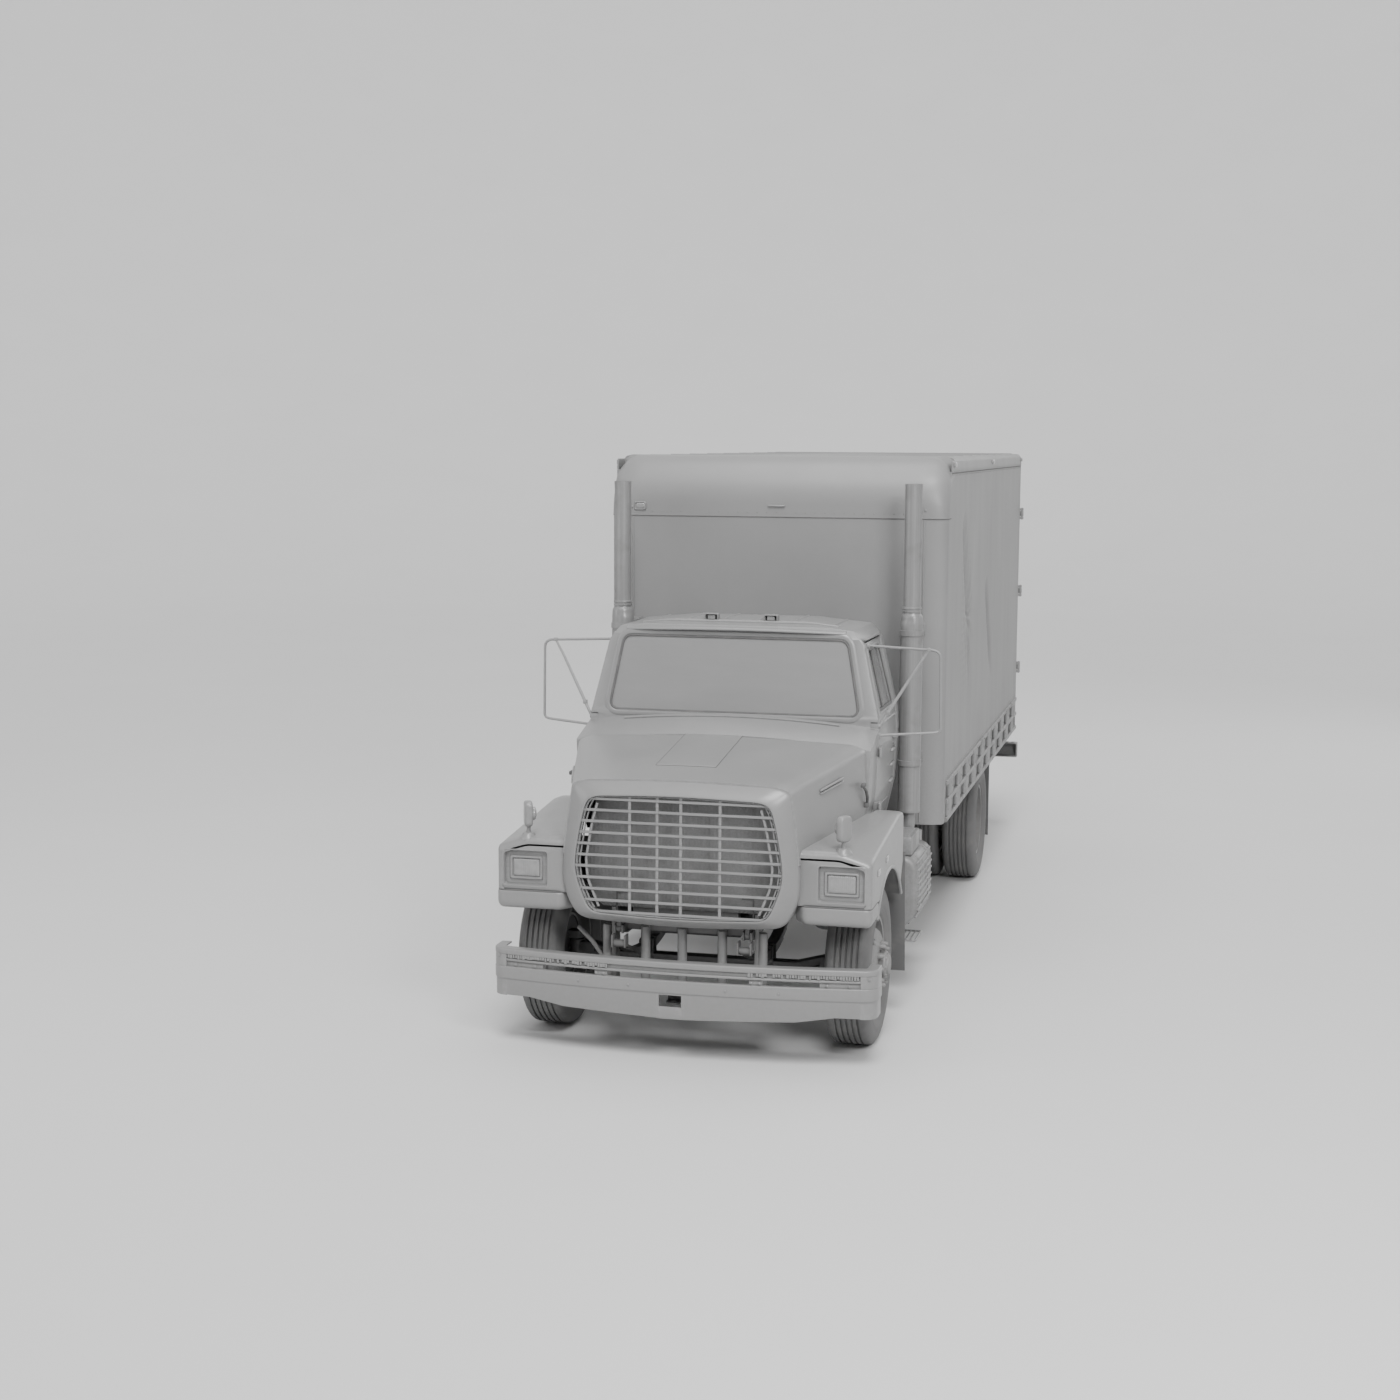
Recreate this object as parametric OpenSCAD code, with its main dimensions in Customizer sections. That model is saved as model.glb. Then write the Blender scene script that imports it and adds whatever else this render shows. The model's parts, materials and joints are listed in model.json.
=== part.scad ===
// Box truck: conventional cab with a tilting hood, a square cargo body, one steered and one driven axle.
// +Z is up, -Y is forward, +X is the driver's side. The origin is on the ground under the middle of the truck.

/* [Chassis] */
// Distance between the front and rear axle centres
wheelbase = 5290; // [4900:10:5500]
// Outer radius of every tyre
tyre_r = 500; // [480:5:510]
// Section width of a tyre
tyre_w = 285; // [260:5:290]
// Height of the frame rails
rail_h = 255; // [220:5:255]

/* [Cargo body] */
// Outside length of the cargo body
body_len = 5390; // [5200:10:5600]
// Outside width of the cargo body
body_w = 2440; // [2400:10:2480]
// Height of the cargo roof above the ground
body_top = 3620; // [3500:10:3700]

/* [Hood and cab] */
// Width across the front fenders
fender_w = 2314; // [2290:2:2330]
// Height of the cab roof above the ground
cab_top = 2550; // [2500:10:2560]
// Thickness of the hood and fender moulding
skin = 12; // [10:1:14]

/* [Hidden] */
$fn = 64;
front_y = -4150;                    // front face of the bumper
axle_f = front_y + 790;             // front axle
axle_r = axle_f + wheelbase;        // rear axle
body_y0 = front_y + 2810;           // front wall of the cargo body
body_y1 = body_y0 + body_len;       // rear face of the cargo body
side_x = body_w / 2;                // outer face of the cargo sides
rail_x = 430;                       // outer face of the frame rails
rail_top = 1000;
rail_z = rail_top - rail_h;

// Wheels
rim_r = 286;
rim_half = 105;                     // half the width between the rim flanges
front_x = 970;                      // middle of a front tyre
dual_in = 685;                      // middle of an inner rear tyre
dual_out = 1000;                    // middle of an outer rear tyre
disc_f = 1106;                      // wheel bolting face, front
disc_r = (dual_in + dual_out) / 2;  // wheel bolting face, rear
spindle_r = 38;
hub_gap = 2;                        // running gap round a spindle

// Steering
king_x = 860;
king_r = 20;
arm_len = 180;                      // steering arm, straight back from the kingpin
tie_z = 375;
tie_r = 20;

// Cab
cab_y0 = front_y + 1140;            // front of the cowl
cab_y1 = front_y + 2310;            // back wall
cab_z0 = 1200;
wall = 45;
belt_z = 1930;
gap = 8;                            // shut line round the cab doors
door_pin = 985;                     // cab door hinge pins

// Hood
nose_y = front_y + 10;              // front of the grille surround
hood_y0 = front_y + 75;
hood_y1 = cab_y0 - 10;
hinge_y = front_y + 170;            // hood hinge
hinge_z = 780;

// Cargo body
panel = 30;                         // wall and roof thickness
deck_z = 1300;
rail_band = 1320;                   // top of the rub rails
seam_z = 3200;                      // joint under the nose cap
eave_z = body_top - 110;            // top of the side panels
corner_r = 150;
nose_r = 330;
door_pin_x = side_x + 15;
door_pin_y = body_y1 + 45;
door_z0 = deck_z + 5;
door_z1 = body_top - 265;
door_in = side_x - 120;             // half width of the rear opening
door_t = 35;

paint = [0.46, 0.46, 0.46];
metal = [0.40, 0.40, 0.40];
dark = [0.32, 0.32, 0.32];
rubber = [0.36, 0.36, 0.36];
glass = [0.44, 0.44, 0.44];

// ---- helpers -------------------------------------------------------------------------------

// A 2D shape drawn in (y, z), extruded along X from x0 to x1
module along_x(x0, x1) {
    translate([x0, 0, 0]) rotate([90, 0, 90]) linear_extrude(x1 - x0) children();
}

// A 2D shape drawn in (x, z), extruded along Y from y0 to y1
module along_y(y0, y1) {
    translate([0, y1, 0]) rotate([90, 0, 0]) linear_extrude(y1 - y0) children();
}

// A box from its low corner to its high corner
module block(a, b) {
    translate(a) cube(b - a);
}

// A round bar along X, Y or Z
module bar_x(x0, x1, y, z, r) {
    translate([x0, y, z]) rotate([0, 90, 0]) cylinder(h = x1 - x0, r = r);
}
module bar_y(y0, y1, x, z, r) {
    translate([x, y1, z]) rotate([90, 0, 0]) cylinder(h = y1 - y0, r = r);
}
module bar_z(z0, z1, x, y, r) {
    translate([x, y, z0]) cylinder(h = z1 - z0, r = r);
}

// A round bar between two points
module rod(a, b, r) {
    d = b - a;
    len = norm(d);
    translate(a) rotate([0, acos(d[2] / len), atan2(d[1], d[0])]) cylinder(h = len, r = r);
}

// The children, and their mirror image on the other side of the truck
module both() {
    children();
    mirror([1, 0, 0]) children();
}

// The children moved to the right side when side is -1
module on_side(side) {
    if (side > 0) children();
    else mirror([1, 0, 0]) children();
}

// The half outline of right-side points, completed by its mirror image
function mirrored(half) = concat(half, [for (i = [len(half) - 1:-1:0]) [-half[i][0], half[i][1]]]);

// A square with its corners rounded to r, from two corners
module rounded(a, b, r) {
    difference() {
        translate(a) square(b - a);
        for (x = [0, 1], y = [0, 1])
            translate([x ? b[0] : a[0], y ? b[1] : a[1]]) mirror([x, 0]) mirror([0, y])
                difference() {
                    translate([-1, -1]) square(r + 1);
                    translate([r, r]) circle(r);
                }
    }
}

// ---- frame and running gear ------------------------------------------------------------------

module channel(y0, y1) {
    difference() {
        block([rail_x - 75, y0, rail_z], [rail_x, y1, rail_top]);
        block([rail_x - 76, y0 - 1, rail_z + 9], [rail_x - 9, y1 + 1, rail_top - 9]);
    }
}

module frame() color(dark) {
    rail_y0 = front_y + 200;
    rail_y1 = body_y1 - 40;
    front_half = 650;
    rear_half = 680;
    both() {
        channel(rail_y0, rail_y1);
        // hood hinge ears in front of the rails
        difference() {
            union() {
                block([rail_x - 60, hinge_y - 26, hinge_z - 30], [rail_x - 48, rail_y0 + 60, hinge_z + 22]);
                block([rail_x - 12, hinge_y - 26, hinge_z - 30], [rail_x, rail_y0 + 60, hinge_z + 22]);
            }
            bar_x(rail_x - 70, rail_x + 10, hinge_y, hinge_z, 15.5);
        }
        // spring hangers: cheek plates beside each spring eye
        for (s = [-1, 1]) {
            for (x = [345, 425])
                block([x, axle_f + s * front_half - 35, 672], [x + 10, axle_f + s * front_half + 35, rail_z + 1]);
            block([rail_x - 1, axle_r + s * rear_half - 40, 690], [rail_x + 12, axle_r + s * rear_half + 40, 860]);
            block([518, axle_r + s * rear_half - 40, 690], [530, axle_r + s * rear_half + 40, 860]);
            block([rail_x - 1, axle_r + s * rear_half - 40, 830], [530, axle_r + s * rear_half + 40, 860]);
        }
    }
    for (y = [front_y + 2160, front_y + 2700, front_y + 3700, axle_r - 800, axle_r + 350, axle_r + 1000])
        block([-rail_x + 5, y, rail_top - 100], [rail_x - 5, y + 60, rail_top - 12]);
    // cab mounts standing on the rails
    both() for (y = [cab_y0 + 60, cab_y1 - 160])
        block([rail_x - 75, y, rail_top - 1], [rail_x, y + 90, cab_z0]);
    // rear closing member
    block([-rail_x + 5, rail_y1 - 10, rail_z], [rail_x - 5, rail_y1, rail_top]);
    // front member under the radiator
    block([-rail_x + 5, rail_y0 + 57, rail_z + 9], [rail_x - 5, rail_y0 + 140, rail_z + 60]);
}

// Plan outline of the bumper, drawn in by inset from the outer face
bumper_half = 1100;
bumper_end_r = 97;
bumper_bow = 90;
bumper_end_y = 280;
function bumper_front(inset) = concat(
    [for (i = [-11:11]) [i * 100, front_y + inset + bumper_bow * pow(i / 11, 2)]],
    [for (a = [-75:15:0]) [bumper_half + (bumper_end_r - inset) * cos(a),
        front_y + bumper_bow + bumper_end_r + (bumper_end_r - inset) * sin(a)]],
    [[bumper_half + bumper_end_r - inset, front_y + bumper_end_y],
        [-bumper_half - bumper_end_r + inset, front_y + bumper_end_y]],
    [for (a = [180:15:255]) [-bumper_half + (bumper_end_r - inset) * cos(a),
        front_y + bumper_bow + bumper_end_r + (bumper_end_r - inset) * sin(a)]]);

module bumper_band(z0, z1, inset, t = 8) {
    translate([0, 0, z0]) linear_extrude(z1 - z0) difference() {
        polygon(bumper_front(inset));
        translate([0, 1]) polygon(bumper_front(inset + t));
    }
}

tow_x = -40;
tow_y = front_y + 95;
module front_bumper() color(paint) {
    post_y = front_y + 225;
    recess = 1075;
    difference() {
        union() {
            difference() {
                bumper_band(433, 625, 0);
                block([-recess, front_y - 20, 500], [recess, front_y + 110, 585]);
            }
            bumper_band(617, 625, 0, 70);
            intersection() {
                union() {
                    bumper_band(496, 589, 18);
                    bumper_band(492, 500, 0, 30);
                    bumper_band(585, 593, 0, 30);
                }
                block([-recess - 8, front_y - 20, 490], [recess + 8, front_y + 150, 595]);
            }
            // the apron below the crease, its lower edge bowed down in the middle
            intersection() {
                bumper_band(270, 433, 6);
                along_y(front_y - 10, front_y + 400) polygon(mirrored([
                    [0, 275], [720, 300], [950, 335], [1250, 330], [1250, 440]]));
            }
        }
        for (s = [[-440, 440], [-860, -520], [520, 860]])
            block([s[0], front_y - 20, 512], [s[1], front_y + 140, 546]);
        block([tow_x - 70, front_y - 20, 350], [tow_x + 70, front_y + 60, 425]);
    }
    // tow bracket behind the pocket, with a vertical pin bore through both ears
    difference() {
        union() {
            block([tow_x - 45, front_y + 60, 352], [tow_x + 45, front_y + 190, 366]);
            block([tow_x - 45, front_y + 60, 410], [tow_x + 45, front_y + 190, 424]);
            block([tow_x - 45, front_y + 130, 352], [tow_x + 45, front_y + 190, 424]);
        }
        bar_z(340, 430, tow_x, tow_y, 16);
    }
    // shelf that joins the bumper, the guard posts and the frame brackets
    block([-520, front_y + 4 + bumper_bow * pow(520 / 1100, 2), 424], [520, front_y + 270, 432]);
    for (x = [-490, -250, -20, 230, 480]) {
        bar_z(432, 790, x, post_y, 29);
        bar_z(432, 452, x, post_y, 46);
    }
    // brackets on the outer faces of the frame rails
    both() block([rail_x, front_y + 206, 432], [rail_x + 32, front_y + 300, 900]);
}

module engine() color(dark) {
    block([-300, front_y + 420, 700], [300, front_y + 1090, 1480]);
}

module radiator() color(dark) {
    block([-500, front_y + 215, rail_top + 3], [500, front_y + 290, 1590]);
    block([-330, front_y + 215, 830], [330, front_y + 290, rail_top + 3]);
}

module driveline() color(metal) {
    shaft_a = [0, front_y + 2130, 820];
    shaft_b = [0, axle_r - 352, 545];
    block([-180, front_y + 1092, 700], [180, front_y + 1700, 1110]);
    block([-130, front_y + 1700, 730], [130, front_y + 2050, 960]);
    bar_y(front_y + 2050, front_y + 2130, 0, 820, 70);
    rod(shaft_a, shaft_b, 50);
}

module front_axle() color(metal) {
    difference() {
        union() {
            along_y(axle_f - 45, axle_f + 45) polygon(mirrored([
                [600, 385], [760, 462], [830, 470], [830, 530], [745, 530], [580, 485]]));
            both() bar_z(455, 545, king_x, axle_f, 48);
            both() block([350, axle_f - 60, 484], [430, axle_f + 60, 502]);
        }
        both() bar_z(440, 560, king_x, axle_f, king_r + 1);
        // the I section's webs
        for (s = [-1, 1])
            along_y(axle_f + (s > 0 ? 12 : -46), axle_f + (s > 0 ? 46 : -12)) polygon(mirrored([
                [590, 407], [735, 478], [735, 508], [580, 463]]));
    }
}

module rear_axle() color(metal) {
    bar_x(-560, 560, axle_r, tyre_r, 70);
    both() bar_x(560, disc_r + 160, axle_r, tyre_r, spindle_r + 10);
    bar_x(-130, 130, axle_r, tyre_r, 195);
    translate([0, axle_r, tyre_r]) sphere(185);
    bar_y(axle_r - 343, axle_r - 150, 0, tyre_r + 42, 80);
    both() block([441, axle_r - 70, tyre_r + 40], [516, axle_r + 70, tyre_r + 78]);
}

// One leaf of a spring: a shallow arc of constant thickness, drawn in (y, z)
function leaf(y, half, z_mid, rise, t, full) = concat(
    [for (i = [-8:8]) [y + half * i / 8, z_mid + rise * pow(half * i / 8 / full, 2)]],
    [for (i = [8:-1:-8]) [y + half * i / 8, z_mid + t + rise * pow(half * i / 8 / full, 2)]]);

module spring(x0, x1, y, z, half, rise, leaves) {
    t = 14;
    along_x(x0, x1) union() {
        for (i = [0:leaves - 1])
            polygon(leaf(y, half * (1 - 0.16 * (leaves - 1 - i)), z + i * t, rise, t + 0.5, half));
    }
    for (s = [-1, 1])
        bar_x(x0, x1, y + s * half, z + leaves * t + rise - 8, 24);
    block([x0, y - 60, z], [x1, y + 60, z + leaves * t + 12]);
}

module leaf_springs() color(metal) both() {
    spring(356, 424, axle_f, 502, 650, 140, 4);
    spring(443, 517, axle_r, tyre_r + 78, 680, 130, 5);
}

// ---- wheels ----------------------------------------------------------------------------------

// Half section of a tyre, drawn as (radius, offset from its middle)
tyre_edge = tyre_w / 2;
tyre_half = [
    [rim_r + 1, 103], [rim_r + 18, 103], [rim_r + 34, tyre_edge - 20], [rim_r + 70, tyre_edge - 5],
    [rim_r + 105, tyre_edge], [tyre_r - 70, tyre_edge - 3], [tyre_r - 32, tyre_edge - 14],
    [tyre_r - 10, tyre_edge - 30], [tyre_r, tyre_edge - 52]];

module tyre(x) {
    half = tyre_half;
    translate([x, 0, tyre_r]) rotate([0, 90, 0]) rotate_extrude($fn = 128)
        polygon(concat(half, [for (i = [len(half) - 1:-1:0]) [half[i][0], -half[i][1]]]));
}

// Rim barrel with its two flanges, drawn as (radius, offset)
module barrel() {
    rotate_extrude($fn = 128) polygon([
        [rim_r + 14, -112], [rim_r + 14, -105], [rim_r, -105], [rim_r, -60], [rim_r - 22, -40],
        [rim_r - 22, 40], [rim_r, 60], [rim_r, 105], [rim_r + 14, 105], [rim_r + 14, 112],
        [rim_r - 8, 112], [rim_r - 8, 58], [rim_r - 30, 38], [rim_r - 30, -38], [rim_r - 8, -58],
        [rim_r - 8, -112]]);
}

// Wheel disc, its bolting face at face (from the rim middle), dished towards the rim
module disc(face, reach) {
    difference() {
        rotate_extrude($fn = 96) polygon([
            [60, face], [165, face], [205, face - 18], [rim_r - 27, reach + 10], [rim_r - 27, reach - 2],
            [200, face - 34], [160, face - 14], [60, face - 14]]);
        for (i = [0:4])
            rotate([0, 0, i * 72]) translate([212, 0, reach - 30]) cylinder(h = 200, r = 26);
    }
}

// A front wheel without its tyre: barrel, disc, hub, brake drum and spindle bore along X
module front_rim() {
    translate([front_x, axle_f, tyre_r]) rotate([0, 90, 0]) difference() {
        union() {
            barrel();
            disc(disc_f - front_x, 35);
            translate([0, 0, disc_f - front_x - 30]) cylinder(h = 68, r = 84);
            translate([0, 0, disc_f - front_x + 30]) cylinder(h = 30, r = 58);
            translate([0, 0, -10]) cylinder(h = disc_f - front_x, r = 72);
            difference() {
                translate([0, 0, -68]) cylinder(h = 110, r = 205);
                translate([0, 0, -69]) cylinder(h = 95, r = 190);
            }
        }
        translate([0, 0, -70]) cylinder(h = disc_f - front_x + 100, r = spindle_r + hub_gap);
    }
}

// A dual rear wheel without its tyres: two barrels and discs on one hub and drum
module rear_rims() {
    translate([disc_r, axle_r, tyre_r]) rotate([0, 90, 0]) difference() {
        union() {
            translate([0, 0, dual_out - disc_r]) {
                barrel();
                mirror([0, 0, 1]) disc(dual_out - disc_r, 35);
            }
            translate([0, 0, dual_in - disc_r]) {
                barrel();
                disc(disc_r - dual_in, 35);
            }
            translate([0, 0, -40]) cylinder(h = 180, r = 84);
            translate([0, 0, 130]) cylinder(h = 55, r = 98);
            difference() {
                translate([0, 0, -220]) cylinder(h = 190, r = 205);
                translate([0, 0, -221]) cylinder(h = 160, r = 190);
            }
            translate([0, 0, -70]) cylinder(h = 60, r = 195);
        }
        translate([0, 0, -225]) cylinder(h = 390, r = spindle_r + 10 + hub_gap);
    }
}

module front_tyre() {
    translate([0, axle_f, 0]) tyre(front_x);
}

module rear_tyres() {
    translate([0, axle_r, 0]) {
        tyre(dual_in);
        tyre(dual_out);
    }
}

// ---- steering --------------------------------------------------------------------------------

module knuckle() {
    difference() {
        union() {
            for (z = [[400, 448], [552, 600]]) {
                bar_z(z[0], z[1], king_x, axle_f, 45);
                block([king_x, axle_f - 45, z[0]], [king_x + 70, axle_f + 45, z[1]]);
            }
            block([king_x + 54, axle_f - 45, 400], [king_x + 70, axle_f + 45, 600]);
            bar_x(king_x + 60, disc_f + 20, axle_f, tyre_r, spindle_r);
            bar_x(king_x + 48, king_x + 56, axle_f, tyre_r, 182);
            // steering arm to the tie rod
            block([king_x - 22, axle_f + 20, 404], [king_x + 16, axle_f + arm_len + 22, 436]);
        }
        bar_z(390, 470, king_x, axle_f + arm_len, 12);
        block([king_x - 60, axle_f - 60, 448], [king_x + 54, axle_f + 60, 552]);
    }
    bar_z(395, 605, king_x, axle_f, king_r);
}

module tie_rod() color(metal) {
    y = axle_f + arm_len;
    bar_x(-king_x - 16, king_x + 16, y, tie_z, tie_r);
    for (x = [-king_x, king_x])
        bar_z(tie_z, 446, x, y, 9);
}

column_tilt = 45;
wheel_at = [450, front_y + 1710, 1840];
module steering_wheel() color(dark) translate(wheel_at) rotate([-column_tilt, 0, 0]) {
    ring = 218;
    rotate_extrude($fn = 96) translate([ring, 0]) circle(14, $fn = 24);
    translate([0, 0, -34]) cylinder(h = 50, r = 42);
    for (a = [90, 210, 330])
        rotate([0, 0, a]) translate([0, -11, -8]) cube([ring - 6, 22, 12]);
}

// ---- cab -------------------------------------------------------------------------------------

// Cross-section of the cab in (x, z), drawn in by t
function cab_section(t) = mirrored([
    [900 - t, cab_z0 + t], [955 - t, 1450], [972 - t, 1800], [965 - t, belt_z], [850 - t, 2415 - 0.3 * t],
    [785 - 0.8 * t, cab_top - 50 - 0.7 * t], [400, cab_top - 8 - t], [0, cab_top - t]]);

// Side profile of the cab in (y, z), drawn in by t
function cab_profile(t) = [
    [cab_y0 + t, cab_z0 + t], [cab_y0 + t, cowl_z0 - 0.9 * t], [front_y + 1450 + t, cowl_z1 - 0.9 * t],
    [front_y + 1455 + t, cowl_z1 + 10], [front_y + 1510 + t, 2450 - 0.4 * t],
    [front_y + 1560 + 0.6 * t, cab_top - 32 - 0.8 * t], [front_y + 1800, cab_top - t],
    [front_y + 2200, cab_top - 10 - t], [cab_y1 - 50 - 0.4 * t, cab_top - 50 - 0.8 * t],
    [cab_y1 - t, cab_top - 130], [cab_y1 - t, cab_z0 + t]];

// The cowl's crowned top: a wide cylinder laid along its slope, which rounds its sides down.
cowl_z0 = 1850;
cowl_z1 = 1945;
cowl_crown = 60;                    // fall from the middle to the sides
module cowl_top(t) {
    run = 310;
    big = (pow(950, 2) + pow(cowl_crown, 2)) / (2 * cowl_crown);
    slope = atan((cowl_z1 - cowl_z0) / run);
    translate([0, cab_y0, cowl_z0 - 0.9 * t]) rotate([slope, 0, 0]) translate([0, 800, -big])
        rotate([90, 0, 0]) cylinder(h = 1400, r = big, $fn = 400);
}

module cab_body(t) {
    difference() {
        intersection() {
            along_y(cab_y0 + t, cab_y1 - t) polygon(cab_section(t));
            along_x(-1000, 1000) polygon(cab_profile(t));
        }
        difference() {
            block([-1000, cab_y0 - 100, 1700], [1000, front_y + 1450 + t, 2100]);
            cowl_top(t);
        }
    }
}

// A polygon drawn in or out by a true distance, used for shut lines and glass edges
module grown(d) {
    offset(delta = d) children();
}

module door_outline() {
    polygon(door_edge(2185));
}

// Side outline of the door or its opening in (y, z); back is the upper rear corner
function door_edge(back) = [
    [front_y + 1432, cab_z0 + 35], [front_y + 2190, cab_z0 + 35], [front_y + 2195, belt_z],
    [front_y + back, 2425], [front_y + 1600, 2425], [front_y + 1540, 1960], [front_y + 1432, 1915]];

// The children extruded through the left side of the cab's shell, clear of its front wall
module through_side() {
    difference() {
        along_x(700, 1000) children();
        along_y(cab_y0, cab_y1) polygon([[600, cab_z0], [850, cab_z0], [905, 1450], [922, 1800],
            [915, belt_z], [799, 2430], [600, 2430]]);
    }
}

module window_outline() {
    polygon([[front_y + 1590, belt_z + 50], [front_y + 2125, belt_z + 50], [front_y + 2095, 2350],
        [front_y + 2075, 2370], [front_y + 1660, 2370], [front_y + 1636, 2350]]);
}

module windscreen_outline() {
    polygon(mirrored([[800, 1950], [838, 1990], [758, 2410], [720, 2445]]));
}

module rear_window_outline() {
    rounded([-450, 1990], [450, 2330], 50);
}

module cab() color(paint) {
    difference() {
        cab_body(0);
        cab_body(wall);
        along_y(front_y + 1350, front_y + 1700) windscreen_outline();
        along_y(cab_y1 - 100, cab_y1 + 10) rear_window_outline();
        both() through_side() door_outline();
    }
}

module cab_glass() color(glass) {
    intersection() {
        along_y(front_y + 1350, front_y + 1700) grown(-1) windscreen_outline();
        difference() {
            cab_body(18);
            cab_body(25);
        }
    }
    intersection() {
        along_y(cab_y1 - 60, cab_y1) grown(-1) rear_window_outline();
        difference() {
            cab_body(18);
            cab_body(25);
        }
    }
}

module door() {
    difference() {
        intersection() {
            through_side() grown(-gap) polygon(door_edge(2150));
            difference() {
                cab_body(0);
                cab_body(wall);
            }
        }
        along_x(500, 1000) window_outline();
    }
    // handle
    block([968, front_y + 2080, 1740], [990, front_y + 2150, 1762]);
    // hinges: a leaf on the door's face and its round pin
    for (z = [1340, 1700]) {
        block([940, front_y + 1445, z], [door_pin, front_y + 1500, z + 60]);
        block([door_pin - 9, front_y + 1432, z], [door_pin + 5, front_y + 1446, z + 60]);
        bar_z(z, z + 60, door_pin, front_y + 1432, 9);
    }
}

module door_glass() {
    intersection() {
        along_x(500, 1000) grown(-1) window_outline();
        difference() {
            cab_body(18);
            cab_body(24);
        }
    }
}

module mirror_frame() {
    r = 9;
    // feet standing just clear of the cab's side
    top_in = [867.2, front_y + 1650, 2400];
    top_out = [1310, front_y + 1615, 2385];
    out_top = [1340, front_y + 1620, 2355];
    out_low = [1346, front_y + 1625, 1862];
    low_out = [1320, front_y + 1620, 1848];
    low_in = [983.2, front_y + 1478, 1838];
    brace_top = [1262, front_y + 1613.4, 2388];
    brace_low = [980.2, front_y + 1478, 1896];
    rod(top_in, top_out, r);
    rod(top_out, out_top, r);
    rod(out_top, out_low, r);
    rod(out_low, low_out, r);
    rod(low_out, low_in, r);
    rod(brace_top, brace_low, r);
    for (p = [top_out, out_top, out_low, low_out])
        translate(p) sphere(r + 2);
    for (p = [top_in, low_in, brace_low])
        translate(p) sphere(r + 4);
}

module dashboard() color(dark) {
    along_x(-848, 848) polygon([[cab_y0 + wall, 1620], [cab_y0 + wall, 1730], [front_y + 1440, 1835],
        [front_y + 1530, 1828], [front_y + 1560, 1780], [front_y + 1500, 1640]]);
    down = [0, -sin(column_tilt), -cos(column_tilt)];
    rod(wheel_at + 42 * down, wheel_at + 650 * down, 28);
}

module seats() color(dark) for (x = [-450, 450]) {
    block([x - 210, front_y + 1760, cab_z0 + wall], [x + 210, front_y + 2150, 1440]);
    block([x - 250, front_y + 1720, 1440], [x + 250, front_y + 2250, 1580]);
    block([x - 250, front_y + 2140, 1580], [x + 250, front_y + 2250, 2150]);
}

// ---- hood, grille, fenders -------------------------------------------------------------------

// Front outline of the grille surround, in (x, z)
surround = mirrored([[0, 815], [600, 845], [668, 890], [731, 1030], [735, 1180], [712, 1400], [671, 1672],
    [600, 1700], [0, 1718]]);
// The opening that the grille fills
opening = mirrored([[0, 878], [515, 900], [560, 935], [628, 1100], [640, 1215], [600, 1450], [562, 1585],
    [500, 1612], [0, 1628]]);

// Cross-sections of the hood behind the surround, drawn in by t
function hood_front(t) = mirrored([
    [729 - t, 1240], [712 - t, 1400], [671 - t, 1672 - t], [600, 1700 - t], [0, 1718 - t]]);
function hood_rear(t) = mirrored([
    [958 - t, 1240], [957 - t, 1500], [951 - t, 1790 - t], [870, 1828 - t], [0, 1852 - t]]);

module hood_solid(t, extra = 0) {
    hull() {
        along_y(hood_y0 - extra, hood_y0 - extra + 1) polygon(hood_front(t));
        along_y(hood_y1 + extra - 1, hood_y1 + extra) polygon(hood_rear(t));
    }
}

module surround_solid() {
    along_y(hood_y0, front_y + 190) polygon(surround);
    hull() {
        along_y(hood_y0, hood_y0 + 1) polygon(surround);
        along_y(nose_y, nose_y + 1) grown(8) polygon(opening);
    }
}

module hood() color(paint) {
    difference() {
        hood_solid(0);
        hood_solid(skin, 2);
    }
    difference() {
        surround_solid();
        along_y(nose_y - 5, front_y + 110) polygon(opening);
        along_y(front_y + 100, front_y + 195) grown(-skin) polygon(surround);
    }
    // hinge arms, each turning on its own pin between the frame's ears
    both() difference() {
        union() {
            bar_x(rail_x - 44, rail_x - 16, hinge_y, hinge_z, 24);
            block([rail_x - 44, hinge_y - 20, hinge_z + 10], [rail_x - 16, hinge_y + 15, 850]);
        }
        bar_x(rail_x - 70, rail_x + 10, hinge_y, hinge_z, 10);
    }
    both() bar_x(rail_x - 62, rail_x + 2, hinge_y, hinge_z, 15);
}

grille_y = front_y + 30;
module grille() color(metal) {
    bar_count = 11;
    bar_pitch = 71.8;
    inner_ring = 62;
    depth = 30;
    // outer rim and inner rim
    along_y(grille_y, grille_y + depth) difference() {
        grown(-1) polygon(opening);
        grown(-11) polygon(opening);
    }
    along_y(grille_y, grille_y + depth) intersection() {
        difference() {
            grown(-inner_ring) polygon(opening);
            grown(-inner_ring - 9) polygon(opening);
        }
        polygon(mirrored([[900, 930], [300, 930], [300, 1560], [900, 1560]]));
    }
    // horizontal bars and uprights
    along_y(grille_y - 8, grille_y + depth - 4) intersection() {
        grown(-1) polygon(opening);
        union() {
            for (i = [0:bar_count - 1])
                translate([-700, 905 + (i - 0.05) * (bar_pitch * 0.955)]) square([1400, 11]);
        }
    }
    along_y(grille_y, grille_y + depth) intersection() {
        grown(-1) polygon(opening);
        union() for (x = [-300, -130, 15, 255])
            translate([x - 7, 800]) square([14, 900]);
    }
}

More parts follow.
